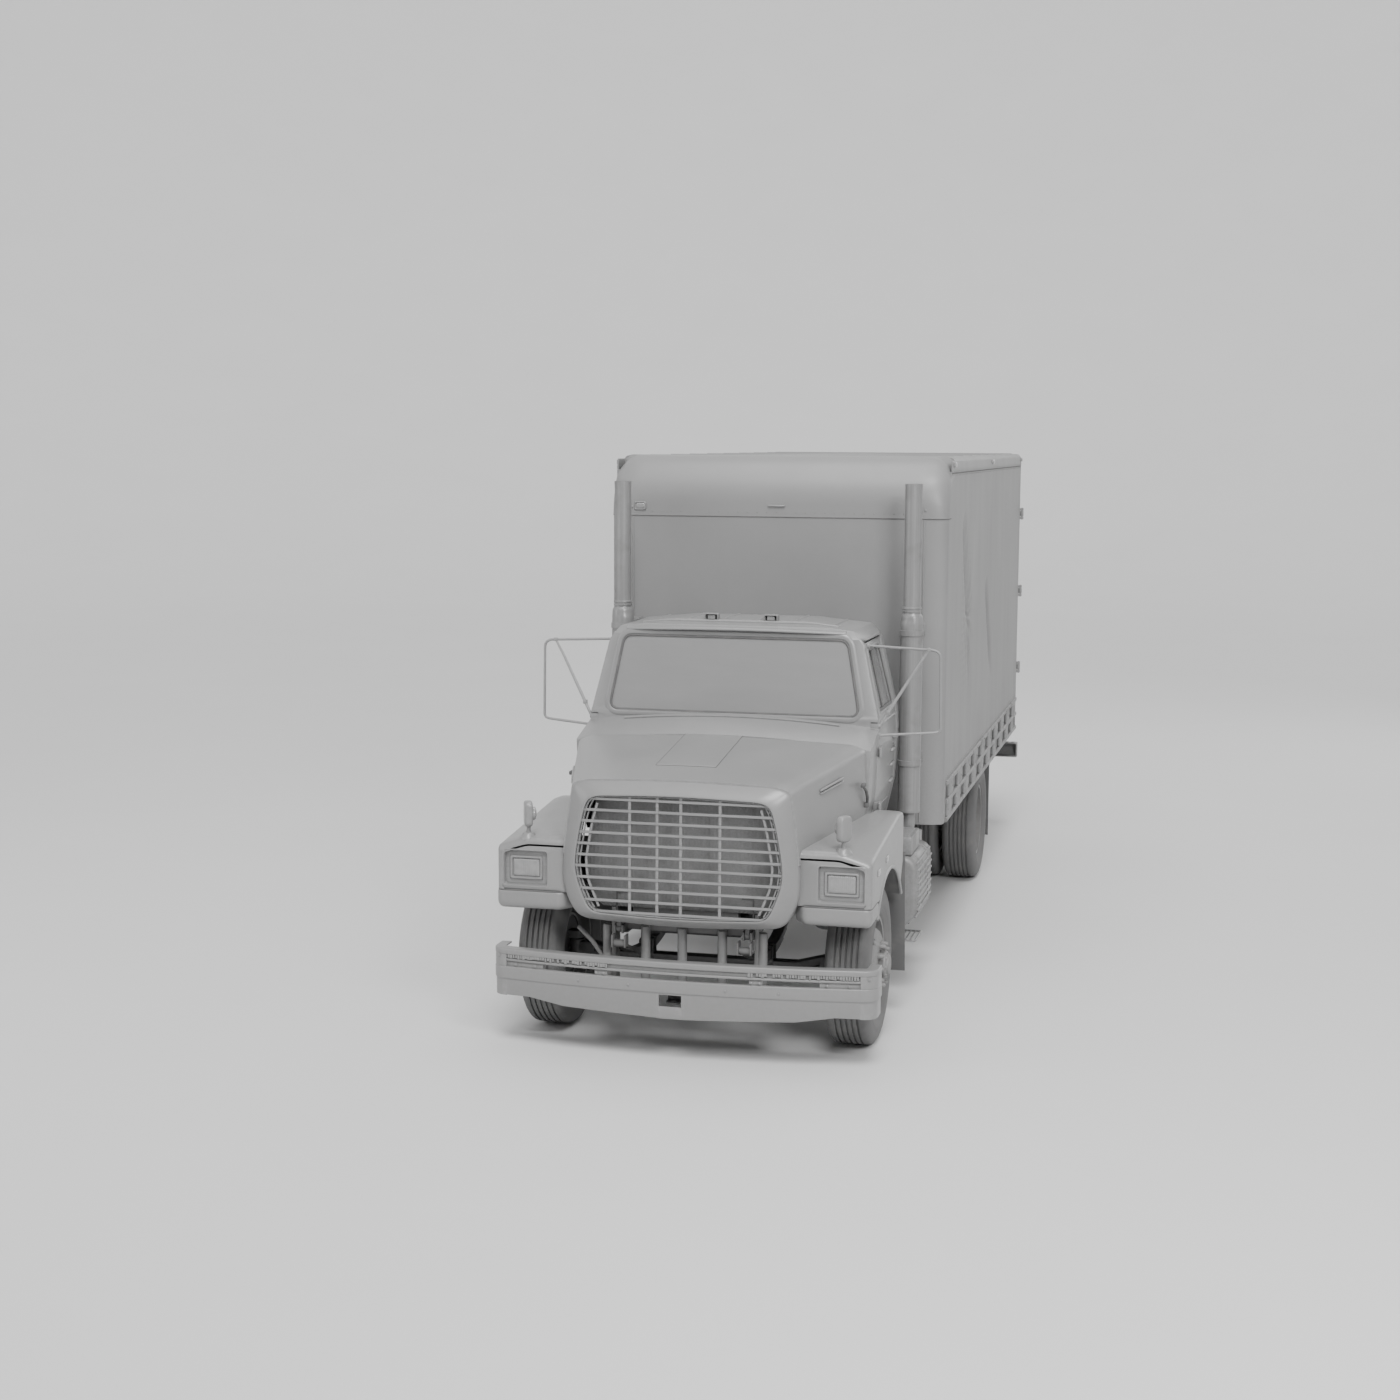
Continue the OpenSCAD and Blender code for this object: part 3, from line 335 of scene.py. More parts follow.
class Shader:
    """A material's node tree, filled by expressions. Every pattern reads Object coordinates."""

    def __init__(self, name, shades, roughness, metallic=0.0, **constants):
        self.material = bpy.data.materials.new(name)
        self.material.use_nodes = True
        self.tree = self.material.node_tree
        self.surface = self.tree.nodes["Principled BSDF"]
        self.set("Base Color", (*shades, 1.0))
        self.set("Roughness", roughness)
        self.set("Metallic", metallic)
        for socket, value in constants.items():
            self.set(socket.replace("_", " "), value)
        self.place = self.node("ShaderNodeTexCoord").outputs["Object"]

    def set(self, socket, value):
        """A value, colour or link on one of the surface's own sockets."""
        self.link(self.surface.inputs[socket], value)

    def link(self, target, value):
        if isinstance(value, Value):
            value = value.socket
        if isinstance(value, bpy.types.NodeSocket):
            self.tree.links.new(value, target)
        else:
            target.default_value = value

    def node(self, kind, settings=None, inputs=None):
        """Any node: its settings first, then the values or links of its sockets."""
        made = self.tree.nodes.new(kind)
        for name, value in (settings or {}).items():
            if name == "stops":
                ramp = made.color_ramp
                for element, (position, shade) in zip(ramp.elements, value):
                    element.position = position
                    element.color = (shade, shade, shade, 1)
            else:
                setattr(made, name, value)
        for name, value in (inputs or {}).items():
            self.link(made.inputs[name], value)
        return made

    def math(self, operation, *values, clamp=False):
        settings = {"operation": operation, "use_clamp": clamp}
        return Value(self, self.node("ShaderNodeMath", settings, dict(enumerate(values))).outputs[0])

    def stretched(self, scale):
        """Object coordinates stretched by a scale on each axis."""
        return self.node("ShaderNodeMapping", {}, {"Vector": self.place, "Scale": scale}).outputs[0]

    def noise(self, scale, detail=4.0, rough=0.55, stretch=None):
        vector = self.place if stretch is None else self.stretched(stretch)
        inputs = {"Vector": vector, "Scale": scale, "Detail": detail, "Roughness": rough}
        return Value(self, self.node("ShaderNodeTexNoise", {}, inputs).outputs["Fac"])

    def cells(self, scale, stretch=None):
        """Distance to the nearest point of an even scatter."""
        vector = self.place if stretch is None else self.stretched(stretch)
        made = self.node("ShaderNodeTexVoronoi", {}, {"Vector": vector, "Scale": scale})
        return Value(self, made.outputs["Distance"])

    def axis(self, name):
        """One of the Object coordinates, in metres."""
        split = self.node("ShaderNodeSeparateXYZ", {}, {0: self.place})
        return Value(self, split.outputs[name])

    def between(self, value, low, high):
        """0 where value is at low, 1 at high, held outside."""
        inputs = {"Value": value, "From Min": low, "From Max": high}
        return Value(self, self.node("ShaderNodeMapRange", {"clamp": True}, inputs).outputs[0])

    def mix(self, amount, first, second):
        """From the first colour to the second."""
        made = self.node("ShaderNodeMix", {"data_type": "RGBA"}, {0: amount})
        self.link(made.inputs[6], first)
        self.link(made.inputs[7], second)
        return made.outputs[2]

    def edges(self, low=0.52, high=0.62):
        """Where the surface bends outward: its worn edges."""
        point = Value(self, self.node("ShaderNodeNewGeometry").outputs["Pointiness"])
        return self.between(point, low, high)

    def bump(self, height, distance, strength=1.0, after=None):
        inputs = {"Height": height, "Distance": distance, "Strength": strength}
        if after is not None:
            inputs["Normal"] = after
        return self.node("ShaderNodeBump", {}, inputs).outputs[0]


def grey(shade, warm=0.0):
    """A near neutral colour."""
    return (shade * (1 + warm), shade, shade * (1 - warm), 1.0)


def painted(name, shade, roughness, dirt=0.25, coat=0.0):
    """Sprayed paint: a fine orange peel, soft clouds in the gloss, and road dust that thickens downwards."""
    s = Shader(name, (shade, shade, shade), roughness, Coat_Weight=coat, Coat_Roughness=0.25)
    clouds = s.noise(2.2, 5)
    specks = s.noise(38, 3)
    low = 1 - s.between(s.axis("Z"), 0.25, 1.9)
    dust = s.math("MULTIPLY", low * dirt, s.between(clouds * 0.7 + specks * 0.3, 0.38, 0.62), clamp=True)
    tone = s.mix(s.between(clouds, 0.3, 0.7), grey(shade * 0.93), grey(shade * 1.05))
    tone = s.mix(dust, tone, grey(shade * 0.72, 0.03))
    worn = s.edges() * s.between(specks, 0.42, 0.6)
    s.set("Base Color", s.mix(worn * 0.35, tone, grey(min(shade * 1.5, 0.7))))
    s.set("Roughness", roughness + dust * 0.3 + (clouds - 0.5) * 0.16)
    peel = s.bump(s.noise(420, 2), 0.0006, 0.25)
    s.set("Normal", s.bump(clouds, 0.004, 0.25, after=peel))
    return s.material


def sheet_skin(name, shade, roughness):
    """The cargo body's painted sheet: faint runs of dirt down the panels over a slightly wavy face."""
    s = Shader(name, (shade, shade, shade), roughness)
    runs = s.noise(4.0, 6, stretch=(1.0, 1.0, 0.22))
    clouds = s.noise(0.9, 4)
    fine = s.noise(60, 3)
    foot = 1 - s.between(s.axis("Z"), 1.0, 1.7)
    dust = s.between(runs * 0.6 + fine * 0.4, 0.42, 0.66)
    tone = s.mix(s.between(clouds, 0.35, 0.65), grey(shade * 0.95), grey(shade * 1.04))
    tone = s.mix(dust * (foot * 0.35 + 0.08), tone, grey(shade * 0.66, 0.03))
    s.set("Base Color", tone)
    s.set("Roughness", roughness + (runs - 0.5) * 0.12 + foot * 0.08)
    peel = s.bump(fine, 0.0004, 0.3)
    s.set("Normal", s.bump(clouds, 0.012, 0.3, after=peel))
    return s.material


def bare_metal(name, shade, roughness, metallic=0.85, grain=(1, 1, 1), stain=0.3):
    """Metal with a brushed grain along one axis and dull stains."""
    s = Shader(name, (shade, shade, shade), roughness, metallic)
    lines = s.noise(90, 3, stretch=grain)
    stains = s.noise(6.5, 6)
    spots = s.between(stains, 0.5, 0.68)
    tone = s.mix(s.between(lines, 0.3, 0.7), grey(shade * 0.9), grey(shade * 1.08))
    s.set("Base Color", s.mix(spots * stain, tone, grey(shade * 0.5, 0.04)))
    s.set("Roughness", roughness + spots * 0.2 + (lines - 0.5) * 0.15)
    s.set("Normal", s.bump(lines, 0.0004, 0.35))
    return s.material


def cast_surface(name, shade):
    """Sand-cast metal: a grainy face with oily dark patches."""
    s = Shader(name, (shade, shade, shade), 0.62, 0.35)
    sand = s.noise(210, 3)
    oil = s.between(s.noise(7, 5), 0.5, 0.7)
    s.set("Base Color", s.mix(oil, grey(shade), grey(shade * 0.45)))
    s.set("Roughness", 0.66 - oil * 0.22)
    s.set("Normal", s.bump(sand, 0.0015, 0.4))
    return s.material


def rubber_surface(name, shade, dusty=0.4):
    """Rubber: matt, a little cracked, with pale dust in the hollows."""
    s = Shader(name, (shade, shade, shade), 0.78)
    dust = s.between(s.noise(9, 6), 0.45, 0.7)
    cracks = s.cells(120, stretch=(1, 0.35, 1))
    s.set("Base Color", s.mix(dust * dusty, grey(shade), grey(shade * 1.7, 0.03)))
    s.set("Roughness", 0.66 + dust * 0.24)
    fine = s.bump(s.noise(320, 2), 0.0005, 0.4)
    s.set("Normal", s.bump(cracks, 0.0006, 0.25, after=fine))
    return s.material


def smoky_glass(name, shade, roughness, alpha):
    """Glass that is nearly closed by its own grey, with wiped streaks in the dust."""
    s = Shader(name, (shade, shade, shade), roughness, IOR=1.5, Coat_Weight=0.6, Coat_Roughness=0.04)
    film = s.noise(3.2, 6, stretch=(0.6, 1, 2.6))
    wipe = s.between(film, 0.25, 0.80)
    s.set("Base Color", s.mix(wipe, grey(shade * 0.97), grey(shade * 1.04)))
    s.set("Roughness", roughness + wipe * 0.06)
    s.set("Alpha", alpha + wipe * (0.98 - alpha) * 0.6)
    return s.material


def lens_glass(name, shade):
    """Moulded lamp lens: upright flutes crossed by fine prisms."""
    s = Shader(name, (shade, shade, shade), 0.22, Coat_Weight=0.8, Coat_Roughness=0.05)
    flutes = s.math("SINE", s.axis("X") * 520.0)
    prisms = s.math("SINE", s.axis("Z") * 900.0)
    cloud = s.noise(26, 4)
    s.set("Base Color", s.mix(s.between(cloud, 0.35, 0.7), grey(shade), grey(shade * 0.84)))
    s.set("Normal", s.bump(flutes * 0.7 + prisms * 0.3, 0.0012, 0.5))
    return s.material


def moulded_plastic(name, shade):
    """Grained interior moulding with rubbed high spots."""
    s = Shader(name, (shade, shade, shade), 0.6)
    hide = s.cells(330)
    rub = s.edges(0.53, 0.66)
    s.set("Base Color", s.mix(rub * 0.5, grey(shade), grey(shade * 1.6)))
    s.set("Roughness", 0.62 - rub * 0.18)
    s.set("Normal", s.bump(hide, 0.0008, 0.5))
    return s.material


def woven_cloth(name, shade):
    """Seat cloth: two crossing sets of threads, fluff and worn patches."""
    s = Shader(name, (shade, shade, shade), 0.92, Sheen_Weight=0.35, Sheen_Roughness=0.5)
    along = s.math("SINE", s.axis("X") * 1900.0)
    across = s.math("SINE", (s.axis("Y") + s.axis("Z")) * 1900.0)
    weave = s.math("MAXIMUM", along, across)
    fluff = s.noise(160, 4)
    worn = s.between(s.noise(5, 4), 0.45, 0.7)
    tone = s.mix(s.between(weave, -1.0, 1.0), grey(shade * 0.7), grey(shade * 1.15))
    s.set("Base Color", s.mix(worn * 0.4, tone, grey(shade * 1.45, 0.02)))
    s.set("Roughness", 0.86 + fluff * 0.12)
    s.set("Normal", s.bump(weave + fluff * 0.5, 0.0009, 0.6))
    return s.material


def plank_floor(name, shade):
    """Laminated hardwood planks laid lengthways: thin gaps, grain and scuffs."""
    s = Shader(name, (shade, shade, shade), 0.7)
    plank = s.math("FRACT", s.axis("X") * 3.3)
    gap = s.math("LESS_THAN", plank, 0.02)
    grain = s.noise(30, 6, stretch=(4, 0.25, 1))
    scuff = s.between(s.noise(3.5, 5), 0.5, 0.66)
    tone = s.mix(grain, grey(shade * 0.7, 0.05), grey(shade * 1.2, 0.05))
    tone = s.mix(scuff * 0.5, tone, grey(shade * 1.3, 0.02))
    s.set("Base Color", s.mix(gap, tone, grey(0.04)))
    s.set("Roughness", 0.62 + grain * 0.2)
    s.set("Normal", s.bump(grain - gap * 2.0, 0.0012, 0.4))
    return s.material


MATERIALS = {}


def make_materials(colours):
    """Every finish of the truck, by the record's slot name."""
    body, steel = colours.body, colours.steel
    MATERIALS.update({
        "body_paint": painted("body_paint", body, 0.36, 0.4, coat=0.25),
        "box_skin": sheet_skin("box_skin", body * 1.04, 0.42),
        "chassis_paint": painted("chassis_paint", colours.chassis, 0.6, 0.7),
        "cast_metal": cast_surface("cast_metal", colours.chassis * 1.05),
        "tank_metal": bare_metal("tank_metal", steel, 0.36, 0.25, grain=(0.6, 0.03, 0.6)),
        "stack_metal": bare_metal("stack_metal", steel * 1.05, 0.36, 0.25, grain=(1, 1, 0.02)),
        "rail_metal": bare_metal("rail_metal", steel * 0.95, 0.42, 0.2, grain=(1, 0.02, 1)),
        "grille_metal": bare_metal("grille_metal", steel * 1.05, 0.34, 0.2, grain=(0.04, 1, 1), stain=0.15),
        "mirror_tube": painted("mirror_tube", body * 1.1, 0.4, 0.1),
        "rim_steel": painted("rim_steel", body * 1.02, 0.42, 0.8),
        "lamp_lens": lens_glass("lamp_lens", colours.lens),
        "glass": smoky_glass("glass", colours.glass, 0.16, 0.95),
        "cab_plastic": moulded_plastic("cab_plastic", 0.11),
        "seat_cloth": woven_cloth("seat_cloth", 0.13),
        "floor_wood": plank_floor("floor_wood", 0.26),
        "flap_rubber": rubber_surface("flap_rubber", 0.09, 0.6),
        "tyre": rubber_surface("tyre", colours.tyre),
    })


# ---- helpers for the truck's own pieces ----------------------------------------------------------


def paint_node(node, slot):
    """A CAD node keeps its shape and gets a finished material."""
    data = NODES[node].data
    data.materials.clear()
    data.materials.append(MATERIALS[slot])
    for polygon in data.polygons:
        polygon.material_index = 0


def softened(node, name, slot, body, radius, segments=3, angle=28.0):
    """The CAD node's own shape with its edges rolled over to a radius, standing in for the node.
    Coplanar triangles are first joined, so that the bevel follows the shape's real edges only."""
    work = bmesh.new()
    work.from_mesh(NODES[node].data)
    bmesh.ops.remove_doubles(work, verts=work.verts, dist=2e-5)
    bmesh.ops.dissolve_limit(work, angle_limit=math.radians(0.8), verts=work.verts, edges=work.edges)
    mesh = bpy.data.meshes.new(name)
    work.to_mesh(mesh)
    work.free()
    piece = bpy.data.objects.new(name, mesh)
    bpy.context.collection.objects.link(piece)
    bevel = piece.modifiers.new("rolled edges", "BEVEL")
    bevel.width = radius
    bevel.segments = segments
    bevel.limit_method = "ANGLE"
    bevel.angle_limit = math.radians(angle)
    bevel.use_clamp_overlap = True
    bevel.harden_normals = False
    apply_modifiers(piece)
    smooth_below(piece, 40)
    finish(piece, body, slot)
    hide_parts(node)
    return piece


def stacked(*rings):
    """Matched outlines of (N, 3) as the rows of one grid."""
    return np.stack([np.asarray(r, float) for r in rings])


def shell(shape, outer, inner):
    """A wall between two matched grids of corners, closed round its four rims."""
    shape.grid(outer).grid(inner[::-1])
    for a, b in ((outer[0], inner[0]), (outer[-1], inner[-1]), (outer[:, 0], inner[:, 0]),
                 (outer[:, -1], inner[:, -1])):
        shape.grid(stacked(a, b))
    return shape


def rim(shape, outline, section, place):
    """A closed outline carried round a section of (outward, depth) pairs: each pair moves the outline along
    its own normals by outward, and place turns the moved outline and depth into corners."""
    outline = np.asarray(outline, float)
    step = np.roll(outline, -1, axis=0) - np.roll(outline, 1, axis=0)
    normal = unit(np.stack([step[:, 1], -step[:, 0]], axis=1))
    area = np.sum(outline[:, 0] * np.roll(outline[:, 1], -1) - outline[:, 1] * np.roll(outline[:, 0], -1))
    normal *= math.copysign(1, area)
    rows = [place(outline + normal * outward, depth) for outward, depth in section]
    return shape.grid(np.array(rows), round_u=True, round_v=True)


def pane(shape, outline, front, back, steps=6):
    """A sheet inside an outline: rings of the outline shrunk to its middle, on a front and a back surface,
    each a function from points of the outline's plane to corners."""
    outline = np.asarray(outline, float)
    middle = (outline.max(0) + outline.min(0)) / 2
    scale = np.linspace(0, 1, steps)
    rings = [front(middle + (outline - middle) * s) for s in scale]
    rings += [back(middle + (outline - middle) * s) for s in scale[::-1]]
    return shape.grid(np.array(rings), round_v=True)


def turned_about(points, degrees, centre):
    """Points turned about an upright line through centre."""
    a = math.radians(degrees)
    turn = np.array([[math.cos(a), -math.sin(a), 0], [math.sin(a), math.cos(a), 0], [0, 0, 1]])
    return (np.asarray(points, float) - centre) @ turn.T + centre


def round_section(width, height, steps=16):
    """The outline of an oval about the origin."""
    return ring(1, steps) * (width / 2, height / 2)


def bar_between(shape, a, b, width, height, steps=12):
    """A straight bar of oval section from a to b, its height upright."""
    a, b = np.asarray(a, float), np.asarray(b, float)
    along = unit(b - a)
    up = np.array([0, 0, 1.0]) if abs(along[2]) < 0.9 else np.array([0, -1.0, 0])
    across = unit(np.cross(along, up))
    up = np.cross(across, along)
    o = round_section(width, height, steps)
    offset = o[:, :1] * across + o[:, 1:] * up
    return shape.grid(stacked(a + offset, b + offset), round_v=True, caps=True)


# ---- CAD finishes --------------------------------------------------------------------------------

SOFT_EDGES = {
    "frame": 0.0025, "engine": 0.012, "driveline": 0.004, "front_axle": 0.004, "rear_axle": 0.003,
    "leaf_springs": 0.0015, "dashboard": 0.012, "body_floor": 0.002, "rear_bumper": 0.004,
    "mud_flaps": 0.002, "left_knuckle": 0.003, "right_knuckle": 0.003, "tie_rod": 0.001,
}


class TRUCK_OT_cad_finishes(bpy.types.Operator):
    """Gives every CAD node its finished material, and rolls over the edges of the chassis parts"""
    bl_idname = "truck.cad_finishes"
    bl_label = "CAD finishes"

    def execute(self, context):
        rows = {part["node"]: part for part in frame["record"]["subparts"]}
        for node in NODES:
            paint_node(node, rows[node]["material_slot"])
        for node, radius in SOFT_EDGES.items():
            slot = "rail_metal" if node == "rear_bumper" else rows[node]["material_slot"]
            softened(node, node + "_finish", slot, BODY_OF[node], radius)
        return {"FINISHED"}


# ---- hood, grille, fenders and bumper ------------------------------------------------------------

SKIN = 0.012
NOSE_Y = FRONT + 0.010
HOOD_Y0 = FRONT + 0.075
HOOD_Y1 = FRONT + 1.130
SURROUND_HALF = ((0, 0.815), (0.600, 0.845), (0.668, 0.890), (0.731, 1.030), (0.735, 1.180), (0.712, 1.400),
                 (0.671, 1.672), (0.600, 1.700), (0, 1.718))
OPENING_HALF = ((0, 0.878), (0.515, 0.900), (0.560, 0.935), (0.628, 1.100), (0.640, 1.215), (0.600, 1.450),
                (0.562, 1.585), (0.500, 1.612), (0, 1.628))
HOOD_FRONT = ((0.729, 1.240), (0.712, 1.400), (0.671, 1.672), (0.600, 1.700), (0.300, 1.7135), (0, 1.718))
HOOD_REAR = ((0.958, 1.240), (0.957, 1.500), (0.951, 1.790), (0.870, 1.828), (0.435, 1.846), (0, 1.852))


def both_halves(half):
    """A closed outline from its right half, which runs from the bottom middle to the top middle."""
    half = np.asarray(half, float)
    return np.vstack([half, half[-2:0:-1] * (-1, 1)])


def hood_section(t):
    """The hood's cross-section in (x, z), a fraction t of the way back: the front and rear sections are
    matched outlines, and every section between is a straight blend of the two."""
    ends = []
    for half in (HOOD_FRONT, HOOD_REAR):
        half = np.asarray(half, float)
        line = np.vstack([half, half[-2::-1] * (-1, 1)])
        ends.append(fillet(line, [0, 0.08, 0.028, 0.05, 0.2, 0.25, 0.2, 0.05, 0.028, 0.08, 0], 7))
    return ends[0] * (1 - t) + ends[1] * t


def hood_y(t):
    return HOOD_Y0 + (HOOD_Y1 - HOOD_Y0) * t


def hood_top(x, y):
    """Height of the hood's top skin over points (x, y)."""
    t = (y - HOOD_Y0) / (HOOD_Y1 - HOOD_Y0)
    rows = []
    for across, back in zip(np.atleast_2d(x), np.atleast_2d(t)):
        section = hood_section(back[0])
        top = section[np.abs(section[:, 0]) < 0.98 * np.abs(section[:, 0]).max()]
        order = np.argsort(top[:, 0])
        rows.append(np.interp(across, top[order, 0], top[order, 1]))
    return np.array(rows)


class TRUCK_OT_hood(bpy.types.Operator):
    """The tilting hood: its skin, grille surround, hatch panel, side louvres, latches and hinge arms"""
    bl_idname = "truck.hood"
    bl_label = "Hood"

    def execute(self, context):
        self.skin()
        self.surround()
        self.hatch()
        self.trim()
        return {"FINISHED"}

    def skin(self):
        """Cross-sections carried from the surround to the cowl; the inner wall is each section moved in
        along its own normals by the skin's thickness."""
        outer, inner = [], []
        for t in np.linspace(0, 1, 26):
            section = hood_section(t)
            step = unit(np.gradient(section, axis=0))
            normal = np.stack([-step[:, 1], step[:, 0]], axis=1)
            y = np.full(len(section), hood_y(t))
            roll = 0.010 * ease(0.975, 1.0, t)
            drawn = section + normal * roll
            thick = section + normal * (SKIN + roll * 0.2)
            outer.append(np.stack([drawn[:, 0], y, drawn[:, 1]], axis=1))
            inner.append(np.stack([thick[:, 0], y, thick[:, 1]], axis=1))
        shape = shell(Shape(), np.array(outer), np.array(inner))
        piece = shape.build("hood_skin", "hood", "body_paint", crease=50)
        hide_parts("hood")

    def surround(self):
        """A rounded profile carried round the nose: each corner of the profile blends the outer outline of
        the surround into the outline of the opening."""
        outer = fillet(both_halves(SURROUND_HALF), [.3, .07, .08, .1, .1, .12, .03, .05, .3, .05, .03, .12,
                                                    .1, .1, .08, .07], 7, True)
        inner = fillet(both_halves(OPENING_HALF), [.3, .05, .06, .1, .1, .1, .05, .05, .3, .05, .05, .1, .1,
                                                   .1, .06, .05], 7, True)
        wide = 0.09
        profile = fillet([(0, FRONT + 0.189), (0, HOOD_Y0 + 0.004), (0.60 * wide, NOSE_Y + 0.020),
                          (0.955 * wide, NOSE_Y),
                          (1.0 * wide, NOSE_Y + 0.006), (1.0 * wide, FRONT + 0.105),
                          (0.12 * wide, FRONT + 0.115),
                          (0.12 * wide, FRONT + 0.189)], [0, 0.022, 0.03, 0.012, 0.006, 0.004, 0.004, 0], 6)
        w = profile[:, 0][:, None, None] / wide
        flat = outer[None] * (1 - w) + inner[None] * w
        rows = np.stack([flat[..., 0], np.broadcast_to(profile[:, 1][:, None], flat.shape[:2]),
                         flat[..., 1]], axis=-1)
        shape = Shape().grid(rows, round_u=True, round_v=True)
        shape.build("grille_surround", "hood", "body_paint", crease=50)

    def hatch(self):
        """The oil filler hatch: a patch of the hood's own surface raised by 4 mm inside a sunk groove, with
        the groove's shade painted by a dark rubber tube.
        """
        x0, x1, y0, y1 = -0.232, 0.145, FRONT + 0.385, HOOD_Y1 - 0.012
        rise = np.array([-0.003, -0.0005, 0.0035, 0.0045, 0.0045, 0.0035, -0.0005, -0.003])
        edge = np.array([0, 0.001, 0.003, 0.008])
        xs = np.concatenate([x0 + edge, x1 - edge[::-1]])
        ys = np.concatenate([y0 + edge, np.linspace(y0 + 0.05, y1 - 0.05, 8), y1 - edge[::-1]])
        lift_y = np.concatenate([rise[:4], np.full(8, 0.0045), rise[4:]])
        u, v = np.meshgrid(xs, ys)
        z = hood_top(u, v)
        top = np.stack([u, v, z + np.minimum(rise[None, :], lift_y[:, None])], axis=-1)
        foot = np.stack([u, v, z - 0.006], axis=-1)
        shell(Shape(), top, foot).build("hood_hatch", "hood", "body_paint", crease=60)
        # Painted shade: a dark rubber tube along three edges of the hatch stands in for the shade in the gap
        # round it.
        groove = Shape()
        corners = np.array([(x0, y0), (x1, y0), (x1, y1)])
        for a, b in ((corners[0], corners[1]), (corners[0], (x0, y1)), (corners[1], corners[2])):
            line = np.linspace(a, b, 14)
            path = np.column_stack([line, [hood_top(p[0], p[1])[0, 0] for p in line]]) + (0, 0, 0.0008)
            tube(groove, path, 0.0022, 6)
        groove.build("hood_hatch_gap_shade", "hood", "flap_rubber")

    def trim(self):
        bars = Shape()
        for z0, z1 in ((1.632, 1.667), (1.612, 1.645)):
            front = np.array((0.7805, FRONT + 0.43, z0))
            rear = np.array((0.8665, FRONT + 0.75, z1))
            t = np.linspace(0, 1, 12)[:, None]
            path = front * (1 - t) + rear * t
            tube(bars, path, 0.0075 * np.clip(np.minimum(t, 1 - t)[:, 0] * 12, 0.35, 1) ** 0.5, 10)
        bars.mirrored().build("hood_louvre_bars", "hood", "body_paint")
        latch = Shape()
        path = [(0.949, FRONT + 0.99, 1.58), (0.962, FRONT + 1.03, 1.545), (0.966, FRONT + 1.06, 1.50),
                (0.962, FRONT + 1.09, 1.455)]
        tube(latch, path, [0.007, 0.010, 0.010, 0.007], 8)
        block(latch, (0.938, FRONT + 0.955, 1.575), (0.966, FRONT + 1.015, 1.600), 0.004, 0.006, "x")
        block(latch, (0.942, FRONT + 1.068, 1.430), (0.970, FRONT + 1.108, 1.462), 0.004, 0.006, "x")
        latch.mirrored().build("hood_latches", "hood", "flap_rubber")
        arms = Shape()
        for side in (1, -1):
            pin = np.array((0.400 * side, FRONT + 0.170, 0.780))
            turned(arms, [(-0.014, 0.019), (-0.014, 0.022), (-0.012, 0.024), (0.012, 0.024), (0.014, 0.022),
                          (0.014, 0.019)], pin, "x", 28)
            turned(arms, [(-0.033, 0.012), (-0.033, 0.014), (-0.032, 0.015), (0.032, 0.015), (0.033, 0.014),
                          (0.033, 0.012)], pin, "x", 24)
            block(arms, pin + (-0.014, -0.020, 0.010), pin + (0.014, 0.015, 0.075), 0.003, 0.006, "x")
        arms.build("hood_hinge_arms", "hood", "chassis_paint")


def opening_half_width(z):
    """Half the width of the grille opening at a height."""
    half = np.array(OPENING_HALF)
    return np.interp(z, half[:, 1], half[:, 0])


class TRUCK_OT_grille(bpy.types.Operator):
    """The grille: eleven rails with rounded faces, four uprights, a frame ring and the side ladders"""
    bl_idname = "truck.grille"
    bl_label = "Grille"

    def execute(self, context):
        y = span("grille")[0][1] + 0.012
        shape = Shape()
        section = fillet([(-0.008, -0.0088), (0.016, -0.0070), (0.016, 0.0070), (-0.008, 0.0088)], 0.006, 4,
                         True)
        for i in range(11):
            z = 0.905 + (i - 0.05) * 0.0718 * 0.955 + 0.0055
            half = float(opening_half_width(z)) + 0.004
            ends = [np.column_stack([np.full(len(section), x), y + section[:, 0], z + section[:, 1]])
                    for x in (-half, half)]
            shape.grid(stacked(*ends), round_v=True, caps=True)
        for x in (-0.300, -0.130, 0.015, 0.255):
            z0, z1 = self.reach(abs(x))
            ends = [np.column_stack([x + section[:, 1] * 1.1, y + 0.005 + section[:, 0],
                                     np.full(len(section), z)]) for z in (z0, z1)]
            shape.grid(stacked(*ends), round_v=True, caps=True)
        for side in (1, -1):
            z = np.linspace(0.935, 1.565, 14)
            path = np.column_stack([side * (opening_half_width(z) - 0.066), np.full(14, y + 0.008), z])
            tube(shape, path, 0.0085, 8)
            z = np.linspace(0.925, 1.590, 15)
            path = np.column_stack([side * (opening_half_width(z) - 0.026), np.full(15, y + 0.010), z])
            tube(shape, path, 0.0055, 6)
        piece = shape.build("grille_rails", "hood", "grille_metal")
        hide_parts("grille")
        edge = fillet(both_halves(OPENING_HALF), [.3, .05, .06, .1, .1, .1, .05, .05, .3, .05, .05, .1, .1,
                                                  .1, .06, .05], 7, True)
        oval = ring(1, 10) * (0.006, 0.011) + (-0.006, y + 0.004)
        frame_ring = Shape()
        rim(frame_ring, edge, oval, lambda p, d: np.column_stack([p[:, 0], np.full(len(p), d), p[:, 1]]))
        teeth = np.column_stack([edge[::2, 0] * 0.985, np.full(len(edge[::2]), y - 0.006),
                                 1.25 + (edge[::2, 1] - 1.25) * 0.985])
        studs(frame_ring, teeth, 0.0048, 0.006, "y", 6, -1)
        frame_ring.build("grille_frame", "hood", "grille_metal")
        return {"FINISHED"}

    def reach(self, x):
        """Lowest and highest point of the opening at a distance from its middle."""
        half = np.array(OPENING_HALF)
        return float(np.interp(x, half[:5, 0],
                               half[:5, 1])), float(np.interp(x, half[:4:-1, 0], half[:4:-1, 1]))


